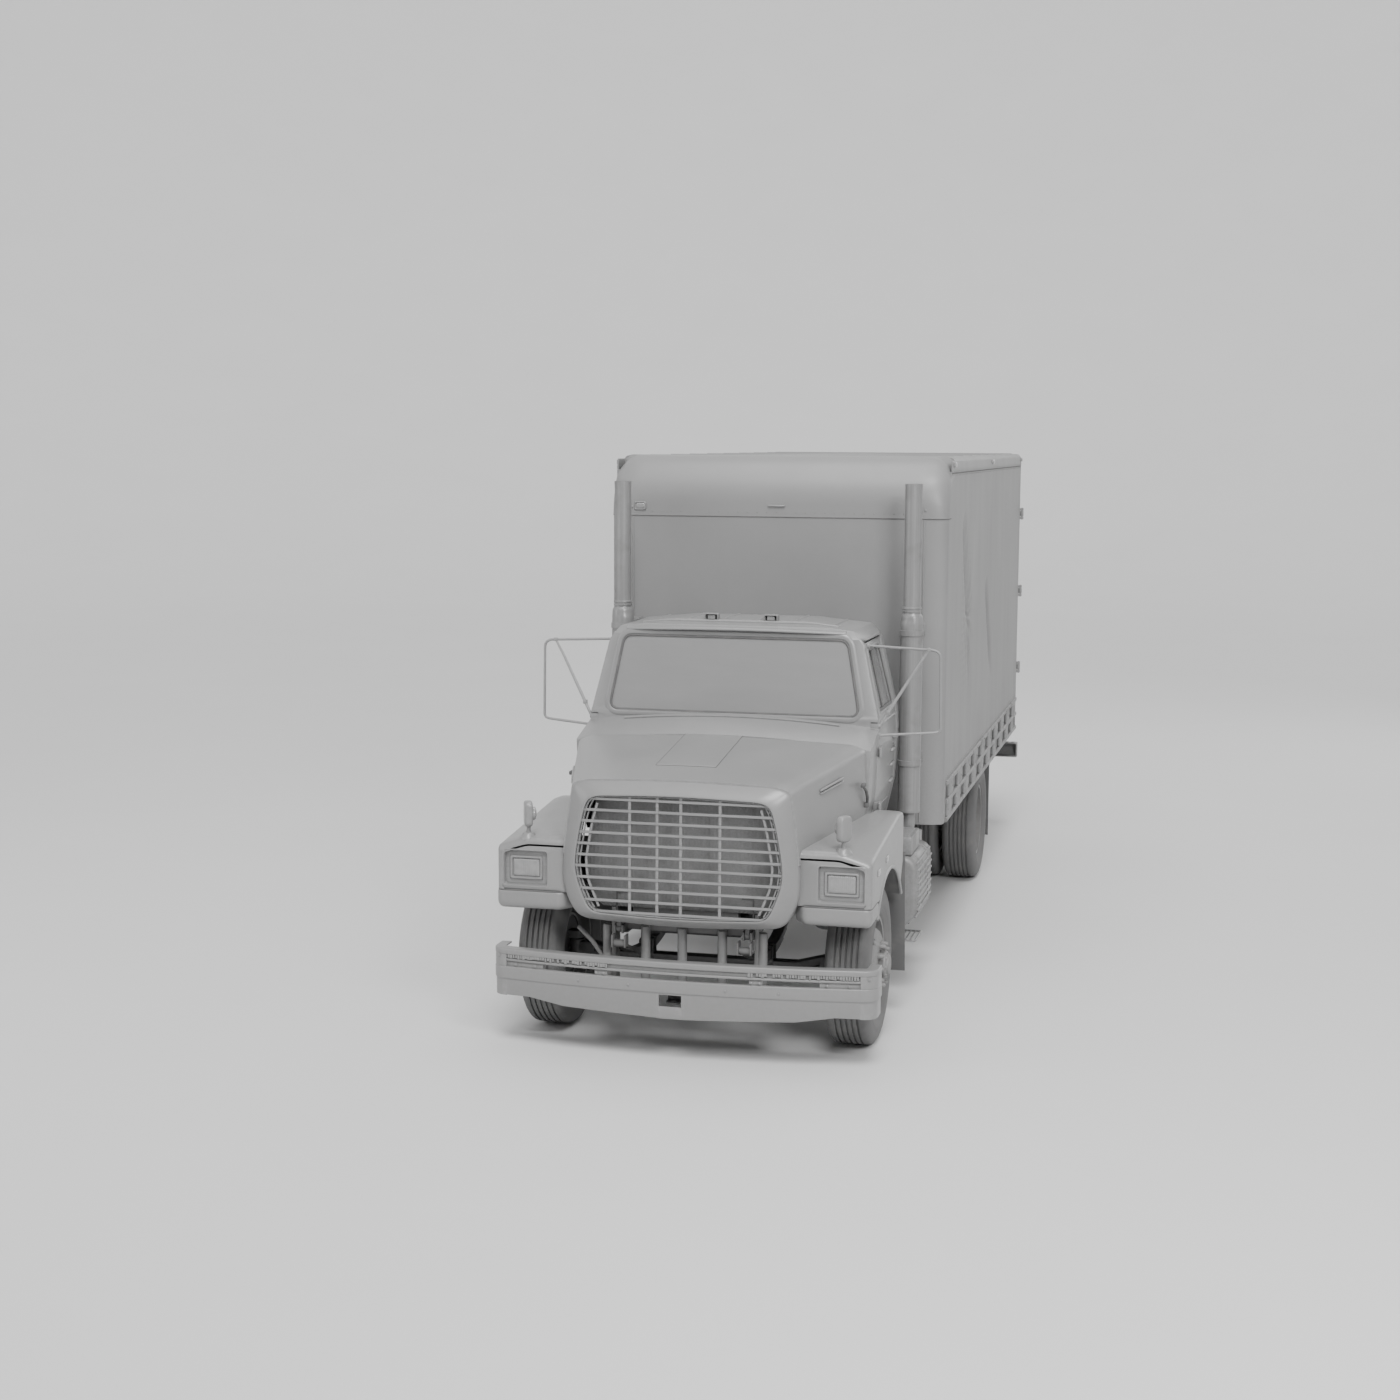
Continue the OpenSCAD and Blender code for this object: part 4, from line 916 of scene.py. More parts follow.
class TRUCK_OT_radiator(bpy.types.Operator):
    """The radiator behind the grille: core of upright fins, tanks and side channels"""
    bl_idname = "truck.radiator"
    bl_label = "Radiator"

    def execute(self, context):
        low, high = span("radiator")
        shape = Shape()
        zs = np.linspace(low[2] + 0.25, high[2] - 0.085, 30)
        xs = np.linspace(-0.455, 0.455, 183)
        u, v = np.meshgrid(xs, zs)
        wave = np.abs(((u / 0.010) % 1) - 0.5) * 0.018 + 0.0025 * np.sin(v * 260)
        front = np.stack([u, low[1] + 0.006 + wave, v], axis=-1)
        shell(shape, front, front + (0, 0.045, 0))
        core = shape.build("radiator_core", "chassis", "rail_metal", crease=25)
        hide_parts("radiator")
        case = Shape()
        block(case, (low[0], low[1], high[2] - 0.09), high, 0.008, 0.02, "x")
        block(case, (low[0], low[1], low[2] + 0.173), (high[0], high[1], low[2] + 0.26), 0.008, 0.02, "x")
        block(case, (-0.33, low[1], low[2]), (0.33, high[1], low[2] + 0.180), 0.006, 0.015, "x")
        for x in (-0.500, 0.455):
            block(case, (x, low[1], low[2] + 0.2), (x + 0.045, high[1], high[2] - 0.05), 0.003, 0.006)
        for x in (-0.285, -0.095, 0.095, 0.285):
            block(case, (x - 0.014, low[1] - 0.002, low[2] + 0.25),
                  (x + 0.014, low[1] + 0.02, high[2] - 0.08), 0.003, 0.005)
        for z in (1.15, 1.38):
            block(case, (-0.46, low[1] - 0.001, z), (0.46, low[1] + 0.016, z + 0.02), 0.003, 0.005, "x")
        self.insect_screen(low[1] - 0.012)
        case.build("radiator_case", "chassis", "rail_metal")
        return {"FINISHED"}


    def insect_screen(self, y):
        """A pleated sheet that fills the opening: depth = 3 mm * |triangle wave of x| over 24 mm pleats."""
        z = np.linspace(0.905, 1.590, 30)
        u = np.linspace(-1, 1, 161)[None, :]
        x = u * (opening_half_width(z)[:, None] - 0.012)
        pleat = 0.003 * np.abs(((x / 0.024) % 1) - 0.5) * 2
        stain = 0.004 * np.exp(-(((np.abs(x) - 0.13) / 0.03) ** 2)) + 0.004 * np.exp(
            -(((np.abs(x) - 0.38) / 0.04) ** 2))
        front = np.stack([x, y + pleat + stain, np.broadcast_to(z[:, None], x.shape)], axis=-1)
        screen = shell(Shape(), front, front + (0, 0.004, 0))
        screen.build("radiator_screen", "chassis", "rail_metal", crease=25)


FENDER_X = 1.157
FENDER_Y0 = FRONT + 0.095
FENDER_Y1 = FRONT + 1.360
ARCH_R = 0.600
LENS = ((0.838, 1.026), (1.112, 1.238))


def fender_foot(y):
    """Lower edge of a fender's side: the wheel arch between a front and a rear skirt."""
    axle = FRONT + 0.790
    arch = 0.500 + np.sqrt(np.maximum(ARCH_R**2 - (y - axle) ** 2, 0))
    skirt = np.where(y < axle, 0.990, 0.875 + np.maximum(y - (FENDER_Y1 - 0.16), 0) * 1.28)
    return np.maximum(arch, skirt)


def fender_section(y, inset):
    """Cross-section of a fender in (x, z): flat inner top, a crease, an outer facet that falls 17.5 degrees,
    and an upright side down to the arch. inset draws it in, for the rolled front and rear edges."""
    profile = np.array([(FENDER_Y0, 1.314), (FENDER_Y0 + 0.035, 1.325), (FENDER_Y0 + 1.095, 1.387),
                        (FENDER_Y1, 1.372)])
    top = np.interp(y, profile[:, 0], profile[:, 1]) - inset
    back = y - FENDER_Y0 - 0.030
    crease = 0.970 + 0.1246 * back
    ridge = 1.327 + 0.0594 * back - inset
    top = min(top, ridge)
    if y < HOOD_Y1:
        t = max((y - HOOD_Y0) / (HOOD_Y1 - HOOD_Y0), 0)
        inner = 0.728 * (1 - t) + 0.957 * t - 0.006
    else:
        inner = 0.985
    out = FENDER_X - inset
    eave = top - 0.315 * (out - crease)
    foot = float(fender_foot(y))
    line = [(inner, top), (crease, top), (out, eave), (out, foot)]
    return fillet(line, [0, 0.03, 0.026, 0], 7)


class TRUCK_OT_fenders(bpy.types.Operator):
    """Both front fenders: skins, lamp faces, chins, wheel arch liners and lips"""
    bl_idname = "truck.fenders"
    bl_label = "Fenders"

    def execute(self, context):
        self.skins()
        self.chins()
        self.arches()
        return {"FINISHED"}

    def skins(self):
        """Sections carried back from the lamp face, with a quarter circle at each end: y = R(1 - cos a) and
        inset = R(1 - sin a). The lamp face is a sheet between the first section and the lamp's recess."""
        roll = 0.032
        axle = FRONT + 0.790
        angle = np.radians(np.linspace(0, 90, 6))
        front = [(FENDER_Y0 + roll * (1 - math.cos(a)), roll * (1 - math.sin(a))) for a in angle]
        rear = [(FENDER_Y1 - 0.026 * (1 - math.cos(a)), 0.026 * (1 - math.sin(a))) for a in angle[::-1]]
        middle = axle + 0.57 * np.sin(np.linspace(-1.0, 1.0, 34) * 1.48)
        middle = middle[(middle > front[-1][0] + 0.01) & (middle < rear[0][0] - 0.01)]
        stations = front + [(y, 0.0) for y in middle] + rear
        outer = np.array([np.insert(fender_section(y, inset), 1, y, axis=1) for y, inset in stations])
        inner = outer.copy()
        step = unit(np.gradient(outer[..., ::2], axis=1))
        inner[..., 0] += step[..., 1] * SKIN
        inner[..., 2] -= step[..., 0] * SKIN
        inner[:, -1, 2] = outer[:, -1, 2]
        shape = shell(Shape(), outer, inner)
        first = fender_section(FENDER_Y0, roll)
        low = 0.996
        (inner_x, top), out = first[0], first[-1, 0]
        crease = 0.9663
        eave = top - 0.315 * (out - crease)
        corners = [(inner_x, low + 0.01), (out, low + 0.01), (out, eave), (crease, top), (inner_x, top)]
        face = fillet(corners, [0.01, 0.02, 0.026, 0.03, 0.003], 7, True)
        hole = fillet([LENS[0], (LENS[1][0], LENS[0][1]), LENS[1],
                       ((LENS[0][0] + LENS[1][0]) / 2, LENS[1][1]), (LENS[0][0], LENS[1][1])],
                      [0.02, 0.02, 0.02, 0.02, 0.02], 7, True)
        middle = hole.mean(0)
        grow = lambda k: middle + (hole - middle) * (1 + k)
        centre = (face.min(0) + face.max(0)) / 2
        backing = centre + (face - centre) * (1 + 0.028 / np.ptp(face, axis=0))
        levels = [(backing, 0.014), (backing, 0.011), (face, 0), (grow(0.11), 0), (grow(0.06), -0.0035),
                  (grow(0.02), -0.002), (grow(0.0), 0.004),
                  (grow(-0.03), 0.028), (grow(0.0), 0.042), (grow(0.06), 0.042), (grow(0.12), 0.012)]
        rows = [np.column_stack([o[:, 0], np.full(len(o), FENDER_Y0 + d), o[:, 1]]) for o, d in levels]
        shape.grid(np.array(rows), round_u=True, round_v=True)
        piece = shape.mirrored().build("fender_skins", "hood", "body_paint", crease=42)
        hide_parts("fenders")

    def chins(self):
        """A rounded section swept along the plan of the fender's front corner."""
        plan = fillet([(0.690, FENDER_Y0 + 0.07), (0.752, FENDER_Y0 - 0.009),
                       (FENDER_X + 0.004, FENDER_Y0 - 0.009), (FENDER_X + 0.004, FENDER_Y0 + 0.232)],
                      [0, 0.03, 0.05, 0], 8)
        step = unit(np.gradient(plan, axis=0))
        inward = np.stack([-step[:, 1], step[:, 0]], axis=1)
        section = fillet([(0.012, 0.992), (0, 0.986), (0.0, 0.905), (0.022, 0.878), (0.10, 0.876),
                          (0.10, 0.992)],
                         [0.01, 0.014, 0.03, 0.02, 0.004, 0.004], 5, True)
        rows = []
        for depth, height in section:
            p = plan + inward * depth
            rows.append(np.column_stack([p, np.full(len(p), height)]))
        shape = Shape().grid(np.array(rows).transpose(1, 0, 2), round_v=True, caps=True)
        shape.mirrored().build("fender_chins", "hood", "body_paint", crease=50)
        seam = Shape()
        path = np.column_stack([plan + inward * 0.006, np.full(len(plan), 0.993)])
        tube(seam, path, 0.0045, 6)
        seam.mirrored().build("fender_seams", "hood", "flap_rubber")

    def arches(self):
        axle = FRONT + 0.790
        angle = np.radians(np.linspace(39, 145, 40))
        liner = Shape()
        rows = []
        for radius in (ARCH_R + 0.001, ARCH_R + 0.009):
            arc = np.stack([axle + radius * -np.cos(angle), 0.5 + radius * np.sin(angle)], axis=1)
            rows.append([np.column_stack([np.full(len(arc), x), arc]) for x in (0.700, 0.80, 0.95, 1.145)])
        shell(liner, np.array(rows[1]), np.array(rows[0]))
        liner.mirrored().build("wheel_arch_liners", "hood", "flap_rubber")
        lip = Shape()
        arc = np.stack([axle + (ARCH_R + 0.009) * -np.cos(angle), 0.5 + (ARCH_R + 0.009) * np.sin(angle)],
                       axis=1)
        centre = np.column_stack([np.full(len(arc), FENDER_X - 0.004), arc])
        outward = np.column_stack([np.zeros(len(arc)), -np.cos(angle), np.sin(angle)])
        oval = round_section(0.024, 0.026, 10)
        rows = centre[:, None] + oval[None, :, :1] * np.array((1.0, 0, 0)) + oval[None, :, 1:] * outward[
            :, None]
        lip.grid(rows, round_v=True, caps=True)
        lip.mirrored().build("wheel_arch_lips", "hood", "body_paint")
        marker = Shape()
        for y in (FRONT + 0.30, FRONT + 0.62):
            block(marker, (FENDER_X - 0.004, y, 1.150 if y < FRONT + 0.5 else 1.172),
                  (FENDER_X + 0.006, y + 0.095, 1.192 if y < FRONT + 0.5 else 1.214), 0.003, 0.008, "x")
        marker.mirrored().build("fender_markers", "hood", "lamp_lens")


class TRUCK_OT_lamps(bpy.types.Operator):
    """Headlamps in their double bezels, and the turn lamps on their stalks"""
    bl_idname = "truck.lamps"
    bl_label = "Front lamps"

    def execute(self, context):
        y = FENDER_Y0 + 0.026
        outline = rounded_box(*LENS, 0.018, 6)
        bezel = Shape()
        levels = [(y + 0.015, 0), (y + 0.001, 0), (y - 0.001, 0.006), (y, 0.020), (y - 0.001, 0.030),
                  (y - 0.0135, 0.036),
                  (y - 0.016, 0.041), (y - 0.0135, 0.047), (y - 0.002, 0.051), (y + 0.004, 0.055),
                  (y + 0.015, 0.055)]
        bezel.grid(stack(outline, levels, "y"), round_u=True, round_v=True)
        piece = bezel.mirrored().build("headlamp_bezels", "hood", "grille_metal")
        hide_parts("front_lamps")
        glass = Shape()
        levels = [(y + 0.014, 0.052), (y - 0.004, 0.052), (y - 0.0085, 0.056), (y - 0.0115, 0.068),
                  (y - 0.0135, 0.090), (y - 0.0140, 0.104)]
        glass.grid(stack(outline, levels, "y"), round_v=True, caps=True)
        glass.mirrored().build("headlamp_lenses", "hood", "lamp_lens")
        at = np.array((0.975, FRONT + 0.160, 0.0))
        housing = Shape()
        outline = fillet([(-0.052, 1.380), (0.052, 1.380), (0.052, 1.536), (-0.052, 1.536)], 0.036, 6, True)
        rows = stack(outline + (at[1], 0), [(-0.022, 0.010), (-0.019, 0.003), (-0.012, 0), (0.016, 0),
                                            (0.023, 0.004), (0.026, 0.012)], "x")
        rows[..., 0] += at[0]
        housing.grid(turned_about(rows, -25, at), round_v=True, caps=True)
        tube(housing, [at + (0, 0, 1.335), at + (0, 0, 1.36), at + (0, 0, 1.395)], [0.017, 0.012, 0.012],
             14)
        turned(housing, [(1.302, 0.058), (1.312, 0.056), (1.322, 0.048), (1.332, 0.040), (1.342, 0.036),
                         (1.346, 0.024)], at, "z", 36)
        housing.mirrored().build("turn_lamp_housings", "hood", "body_paint", crease=45)
        lens = Shape()
        profile = [(-0.018, 0.044), (-0.026, 0.044), (-0.028, 0.041), (-0.036, 0.041), (-0.042, 0.037),
                   (-0.046, 0.026), (-0.048, 0.010)]
        turned(lens, [(d, r) for d, r in profile[::-1]], at + (0, 0, 1.458), "x", 32)
        lens.points[-1] = turned_about(lens.points[-1], -25, at)
        lens.mirrored().build("turn_lamp_lenses", "hood", "lamp_lens")
        return {"FINISHED"}


BUMPER_HALF = 1.100
BUMPER_END_R = 0.097
BUMPER_BOW = 0.090


def bumper_path(limits=None, count=81):
    """Plan points of the bumper's outer face and their inward normals: y = bow (x / half)^2 between the
    ends, then a quarter circle and a straight return on each side. limits keeps only a stretch of x."""
    if limits is not None:
        x = np.linspace(*limits, count)
        p = np.column_stack([x, FRONT + BUMPER_BOW * (x / BUMPER_HALF) ** 2])
    else:
        x = np.linspace(-BUMPER_HALF, BUMPER_HALF, count)
        p = np.column_stack([x, FRONT + BUMPER_BOW * (x / BUMPER_HALF) ** 2])
        a = np.radians(np.linspace(-75, 0, 9))
        end = np.column_stack([BUMPER_HALF + BUMPER_END_R * np.cos(a),
                               FRONT + BUMPER_BOW + BUMPER_END_R * (1 + np.sin(a))])
        tail = np.array([[BUMPER_HALF + BUMPER_END_R, FRONT + 0.235],
                         [BUMPER_HALF + BUMPER_END_R, FRONT + 0.280]])
        right = np.vstack([end, tail])
        p = np.vstack([right[::-1] * (-1, 1), p, right])
    step = unit(np.gradient(p, axis=0))
    return p, np.stack([-step[:, 1], step[:, 0]], axis=1)


def bumper_strip(shape, section, limits=None, count=81, foot=None):
    """A closed section of (inset, height) swept along the bumper's plan. foot, a function of x, gives the
    height that the section's lowest points are brought to."""
    p, inward = bumper_path(limits, count)
    section = np.asarray(section, float)
    rows = p[:, None] + inward[:, None] * section[None, :, :1]
    z = np.broadcast_to(section[:, 1], rows.shape[:2]).copy()
    if foot is not None:
        low = section[:, 1].min()
        top = section[:, 1].max()
        lift = (foot(np.abs(p[:, 0])) - low)[:, None] * ((top - section[:, 1]) / (top - low))[None]
        z = z + lift
    return shape.grid(np.concatenate([rows, z[..., None]], axis=-1), round_v=True, caps=True)


class TRUCK_OT_bumper(bpy.types.Operator):
    """The front bumper: rolled top rail, slotted band, bowed apron, guard posts and tow hook"""
    bl_idname = "truck.bumper"
    bl_label = "Front bumper"

    def execute(self, context):
        self.face()
        self.teeth()
        self.posts()
        return {"FINISHED"}

    def face(self):
        shape = Shape()
        top = fillet([(0.070, 0.616), (0.070, 0.625), (0.0, 0.625), (0.0, 0.587), (0.018, 0.587),
                      (0.018, 0.580), (0.026, 0.580), (0.026, 0.611)],
                     [0.003, 0.003, 0.012, 0.008, 0.003, 0.002, 0.002, 0.01], 5, True)
        bumper_strip(shape, top)
        band = fillet([(0.018, 0.594), (0.018, 0.559), (0.026, 0.559), (0.026, 0.594)], 0.001, 2, True)
        bumper_strip(shape, band)
        bar = fillet([(0.006, 0.561), (0.006, 0.545), (0.028, 0.545), (0.028, 0.561)],
                     [0.006, 0.006, 0.002, 0.002], 4, True)
        bumper_strip(shape, bar)
        ledge = fillet([(0.0, 0.512), (0.0, 0.440), (0.003, 0.433), (0.012, 0.433), (0.012, 0.502),
                        (0.026, 0.506), (0.026, 0.514)],
                       [0.007, 0.004, 0.003, 0.002, 0.006, 0.002, 0.003], 4, True)
        bumper_strip(shape, ledge)
        back = fillet([(0.018, 0.548), (0.018, 0.510), (0.026, 0.510), (0.026, 0.548)], 0.001, 2, True)
        for a, b in ((-1.100, -0.860), (-0.520, -0.440), (0.440, 0.520), (0.860, 1.100)):
            bumper_strip(shape, back, (a, b), 10)
        panel = fillet([(0.002, 0.590), (0.002, 0.510), (0.022, 0.510), (0.022, 0.590)],
                       [0.006, 0.006, 0.002, 0.002], 4, True)
        for side in (1, -1):
            p, inward = bumper_path()
            keep = side * p[:, 0] > 1.085
            p, inward = p[keep], inward[keep]
            rows = p[:, None] + inward[:, None] * panel[None, :, :1]
            z = np.broadcast_to(panel[:, 1], rows.shape[:2])
            shape.grid(np.concatenate([rows, z[..., None]], axis=-1), round_v=True, caps=True)
        foot = lambda x: np.interp(x, [0, 0.72, 0.95, 1.25], [0.275, 0.300, 0.335, 0.330])
        apron = fillet([(0.004, 0.434), (0.006, 0.426), (0.006, 0.275), (0.014, 0.275), (0.014, 0.434)],
                       [0.002, 0.004, 0.003, 0.003, 0.002], 4, True)
        for a, b in ((-1.1, -0.110), (0.030, 1.1)):
            bumper_strip(shape, apron, (a, b), 46, foot)
        for side in (1, -1):
            p, inward = bumper_path()
            keep = side * p[:, 0] > 1.085
            p, inward = p[keep], inward[keep]
            rows = p[:, None] + inward[:, None] * apron[None, :, :1]
            z = np.where(apron[:, 1] < 0.30, 0.330, apron[:, 1])
            shape.grid(np.concatenate([rows, np.broadcast_to(z, rows.shape[:2])[..., None]], axis=-1),
                       round_v=True, caps=True)
        below = [(0.006, 0.352), (0.006, 0.277), (0.014, 0.277), (0.014, 0.352)]
        above = [(0.006, 0.434), (0.006, 0.423), (0.014, 0.423), (0.014, 0.434)]
        for section in (below, above):
            bumper_strip(shape, fillet(section, 0.002, 3, True), (-0.112, 0.032), 6)
        piece = shape.build("bumper_face", "chassis", "body_paint", crease=46)
        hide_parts("front_bumper")

    def teeth(self):
        """Short blocks of uneven size between the top rail and the middle bar, denser towards the ends."""
        rng = np.random.default_rng(7)
        shape = Shape()
        for side in (1, -1):
            for x in np.arange(0.44, 1.15, 0.0165):
                size = rng.uniform(0.3, 1.0, 3)
                if size[0] < 0.42 and x < 0.8:
                    continue
                y = FRONT + BUMPER_BOW * (min(x, BUMPER_HALF) / BUMPER_HALF) ** 2
                if x > 1.10:
                    y = FRONT + BUMPER_BOW + 0.006
                wide = 0.003 + 0.0055 * size[1]
                z1 = 0.588
                z0 = z1 - 0.010 - 0.017 * size[2]
                low, high = (side * x - wide, y + 0.002, z0), (side * x + wide, y + 0.024, z1)
                block(shape, np.minimum(low, high), np.maximum(low, high), 0.0015, 0.002, "y")
        shape.build("bumper_teeth", "chassis", "body_paint")
        bolts = Shape()
        spots = [(s * x, FRONT + BUMPER_BOW * (x / BUMPER_HALF) ** 2 + 0.002, z) for s in (1, -1)
                 for x, z in ((0.455, 0.530), (0.505, 0.530), (0.905, 0.530), (1.035, 0.530), (0.30, 0.470),
                              (0.62, 0.470))]
        studs(bolts, spots, 0.0085, 0.007, "y", 6, -1)
        bolts.build("bumper_bolts", "chassis", "rail_metal")

    def posts(self):
        shape = Shape()
        y = FRONT + 0.225
        for x in (-0.490, -0.250, -0.020, 0.230, 0.480):
            turned(shape, [(0.426, 0.040), (0.434, 0.046), (0.448, 0.046), (0.454, 0.034), (0.462, 0.029),
                           (0.775, 0.029), (0.786, 0.026), (0.790, 0.016)],
                   (x, y, 0.0), "z", 26)
        block(shape, (-0.520, FRONT + 0.024, 0.424), (0.520, FRONT + 0.270, 0.432), 0.002, 0.02)
        for side in (1, -1):
            x = np.array((0.431, 0.461)) * side
            block(shape, (x.min(), FRONT + 0.206, 0.432), (x.max(), FRONT + 0.299, 0.898), 0.003, 0.008)
            studs(shape, [(side * 0.461, FRONT + 0.25, z) for z in (0.79, 0.84, 0.88)], 0.010, 0.008, "x",
                  6, side)
        tube(shape, [(-0.70, FRONT + 0.30, 0.74), (-0.60, FRONT + 0.27, 0.66),
                     (-0.51, FRONT + 0.235, 0.56)], 0.014, 12)
        shape.build("bumper_posts", "chassis", "rim_steel")
        hook = Shape()
        tow = np.array((-0.040, FRONT + 0.095, 0.0))
        for z in (0.352, 0.410):
            outer = fillet([(-0.045, -0.035), (0.045, -0.035), (0.045, 0.095), (-0.045, 0.095)],
                           [0.034, 0.034, 0.004, 0.004], 6, True)
            bore = ring(0.016, 24)[np.argsort(np.arange(24))]
            start = int(np.argmin(np.linalg.norm(bore - unit(outer[:1]) * 0.016, axis=1)))
            bore = np.roll(bore, -start, axis=0)
            rows = []
            for o, h in ((outer, z + 0.002), (outer, z + 0.012), (bore, z + 0.014), (bore, z)):
                rows.append(np.column_stack([o + tow[:2], np.full(24, h)]))
            hook.grid(np.array(rows), round_u=True, round_v=True)
        block(hook, tow + (-0.045, 0.035, 0.352), tow + (0.045, 0.095, 0.424), 0.003, 0.006, "y")
        hook.build("tow_hook", "chassis", "cast_metal")


# ---- cab -----------------------------------------------------------------------------------------

SCREEN = ((0.843, 1.952), (0.750, 2.444), (-0.750, 2.444), (-0.843, 1.952))


def screen_y(z):
    """The cab front's outer face above the cowl, which leans back by 55 mm over half a metre."""
    return FRONT + 1.455 + 0.055 * (z - 1.955) / 0.495


def cab_side(z):
    """Half width of the cab at a height."""
    return np.interp(z, [1.200, 1.450, 1.800, 1.930, 2.415, 2.500],
                     [0.900, 0.955, 0.972, 0.965, 0.850, 0.785])


def cab_roof(x, y):
    """Height of the roof skin over (x, y): the lower of the side section and the length profile."""
    across = np.interp(np.abs(x), [0, 0.400, 0.785, 0.850], [2.550, 2.542, 2.500, 2.415])
    along = np.interp(y - FRONT, [1.510, 1.560, 1.800, 2.200, 2.260, 2.310],
                      [2.450, 2.518, 2.550, 2.540, 2.500, 2.420])
    return np.minimum(across, along)


def on_screen(points, depth):
    """Points of the (x, z) plane set on the windscreen's plane, depth behind it."""
    return np.column_stack([points[:, 0], screen_y(points[:, 1]) + depth, points[:, 1]])


def on_side(side):
    """A function that sets points of the (y, z) plane on a side of the cab, depth inside it."""
    return lambda points, depth: np.column_stack([side * (cab_side(points[:, 1]) - depth), points[:, 0],
                                                  points[:, 1]])


class TRUCK_OT_cab(bpy.types.Operator):
    """The cab's shell with its header, gutters, roof beads, marker lamps and cowl bead"""
    bl_idname = "truck.cab"
    bl_label = "Cab"

    def execute(self, context):
        softened("cab", "cab_shell", "body_paint", "chassis", 0.0035, 2)
        self.screen()
        self.roof()
        self.cowl()
        self.back()
        return {"FINISHED"}

    def screen(self):
        """Windscreen: a sheet bowed forward by b (1 - (x/w)^2) inside a rubber seal and a rolled frame."""
        outline = fillet(SCREEN, [0.075, 0.060, 0.060, 0.075], 9, True)
        bow = lambda p: 0.010 * (1 - (p[:, 0] / 0.85) ** 2)
        glass = Shape()
        pane(glass, outline, lambda p: on_screen(p, 0.010 - bow(p)), lambda p: on_screen(p, 0.016 - bow(p)),
             12)
        rear = rounded_box((-0.450, 1.990), (0.450, 2.330), 0.050, 6)
        back_y = span("cab_glass")[1][1] - 0.002
        place = lambda depth: (lambda p: np.column_stack([p[:, 0], np.full(len(p), back_y - depth),
                                                          p[:, 1]]))
        pane(glass, rear, place(0.0), place(0.006), 4)
        piece = glass.build("cab_windows", "chassis", "glass", crease=40)
        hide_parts("cab_glass")
        seal = Shape()
        oval = ring(1, 10) * (0.0075, 0.0065) + (-0.001, 0.003)
        rim(seal, outline, oval, on_screen)
        rim(seal, rear, oval, lambda p, d: np.column_stack([p[:, 0], np.full(len(p), FRONT + 2.311 - d),
                                                            p[:, 1]]))
        seal.build("window_seals", "chassis", "flap_rubber")
        frame_ring = Shape()
        section = fillet([(0.005, 0.006), (0.008, -0.006), (0.030, -0.007), (0.050, 0.004), (0.030, 0.012)],
                         0.008, 4, True)
        rim(frame_ring, outline, section, on_screen)
        frame_ring.build("windscreen_frame", "chassis", "body_paint", crease=60)

    def roof(self):
        shape = Shape()
        x = np.linspace(-0.66, 0.66, 40)
        for y, radius in ((FRONT + 1.662, 0.011), (FRONT + 1.700, 0.006)):
            path = np.column_stack([x, np.full(40, y), cab_roof(x, y) + 0.001])
            tube(shape, path, radius, 10)
        y = np.linspace(FRONT + 1.70, FRONT + 2.22, 20)
        for at in (-0.62, -0.36, -0.12, 0.12, 0.36, 0.62):
            path = np.column_stack([np.full(20, at), y, cab_roof(at, y) - 0.002])
            tube(shape, path, 0.009, 8)
        header = fillet([(-0.020, 0), (-0.012, 0.016), (0.020, 0.024), (0.045, 0.010), (0.030, -0.010)],
                        0.012, 4, True)
        xs = np.linspace(-0.735, 0.735, 30)
        rows = [np.column_stack([np.full(len(header), a), screen_y(2.492) - 0.020 + header[:, 0]
                                 + 0.035 * (a / 0.735) ** 4, 2.490 + header[:, 1]
                                 - 0.012 * (a / 0.735) ** 2])
                for a in xs]
        shape.grid(np.array(rows), round_v=True, caps=True)
        for side in (1, -1):
            path = [(side * 0.775, FRONT + 1.535, 2.452), (side * 0.838, FRONT + 1.585, 2.443),
                    (side * 0.850, FRONT + 1.66, 2.442),
                    (side * 0.850, FRONT + 2.10, 2.438), (side * 0.846, FRONT + 2.19, 2.430),
                    (side * 0.842, FRONT + 2.23, 2.36)]
            tube(shape, fillet(path, 0.04, 5), 0.0095, 8)
        shape.build("roof_beads", "chassis", "body_paint", crease=50)
        lamps = Shape()
        glass = Shape()
        for at in (-0.202, 0.202):
            y = FRONT + 1.700
            outline = rounded_box((at - 0.048, 2.530), (at + 0.048, 2.585), 0.010, 4)
            levels = [(y + 0.085, 0.014), (y + 0.055, 0.004), (y - 0.014, 0), (y - 0.020, 0.003),
                      (y - 0.020, 0.007), (y - 0.004, 0.012), (y + 0.02, 0.013)]
            lamps.grid(stack(outline, levels, "y"), round_v=True, caps=True)
            outline = rounded_box((at - 0.026, 2.543), (at + 0.026, 2.573), 0.006, 3)
            glass.grid(stack(outline, [(y + 0.010, 0), (y - 0.008, 0), (y - 0.011, 0.003)], "y"),
                       round_v=True, caps=True)
        lamps.build("roof_lamps", "chassis", "body_paint", crease=45)
        glass.build("roof_lamp_lenses", "chassis", "lamp_lens")

    def cowl(self):
        """A raised bead across the cowl, crowned as the cowl is, and the hood's rest hooks."""
        bead = Shape()
        x = np.linspace(-0.72, 0.72, 40)
        path = np.column_stack([x, np.full(40, FRONT + 1.405), 1.9355 - 0.060 * (x / 0.95) ** 2])
        tube(bead, path, 0.0085, 8)
        bead.build("cowl_bead", "chassis", "body_paint")
        hooks = Shape()
        for side in (1, -1):
            for z in (1.30, 1.72):
                x = side * (float(cab_side(z)) + 0.002)
                low, high = (min(x, x - side * 0.010), FRONT + 1.18,
                             z), (max(x, x - side * 0.010), FRONT + 1.25, z + 0.05)
                block(hooks, low, high, 0.003, 0.010, "x")
        hooks.build("cowl_hinge_plates", "chassis", "body_paint")

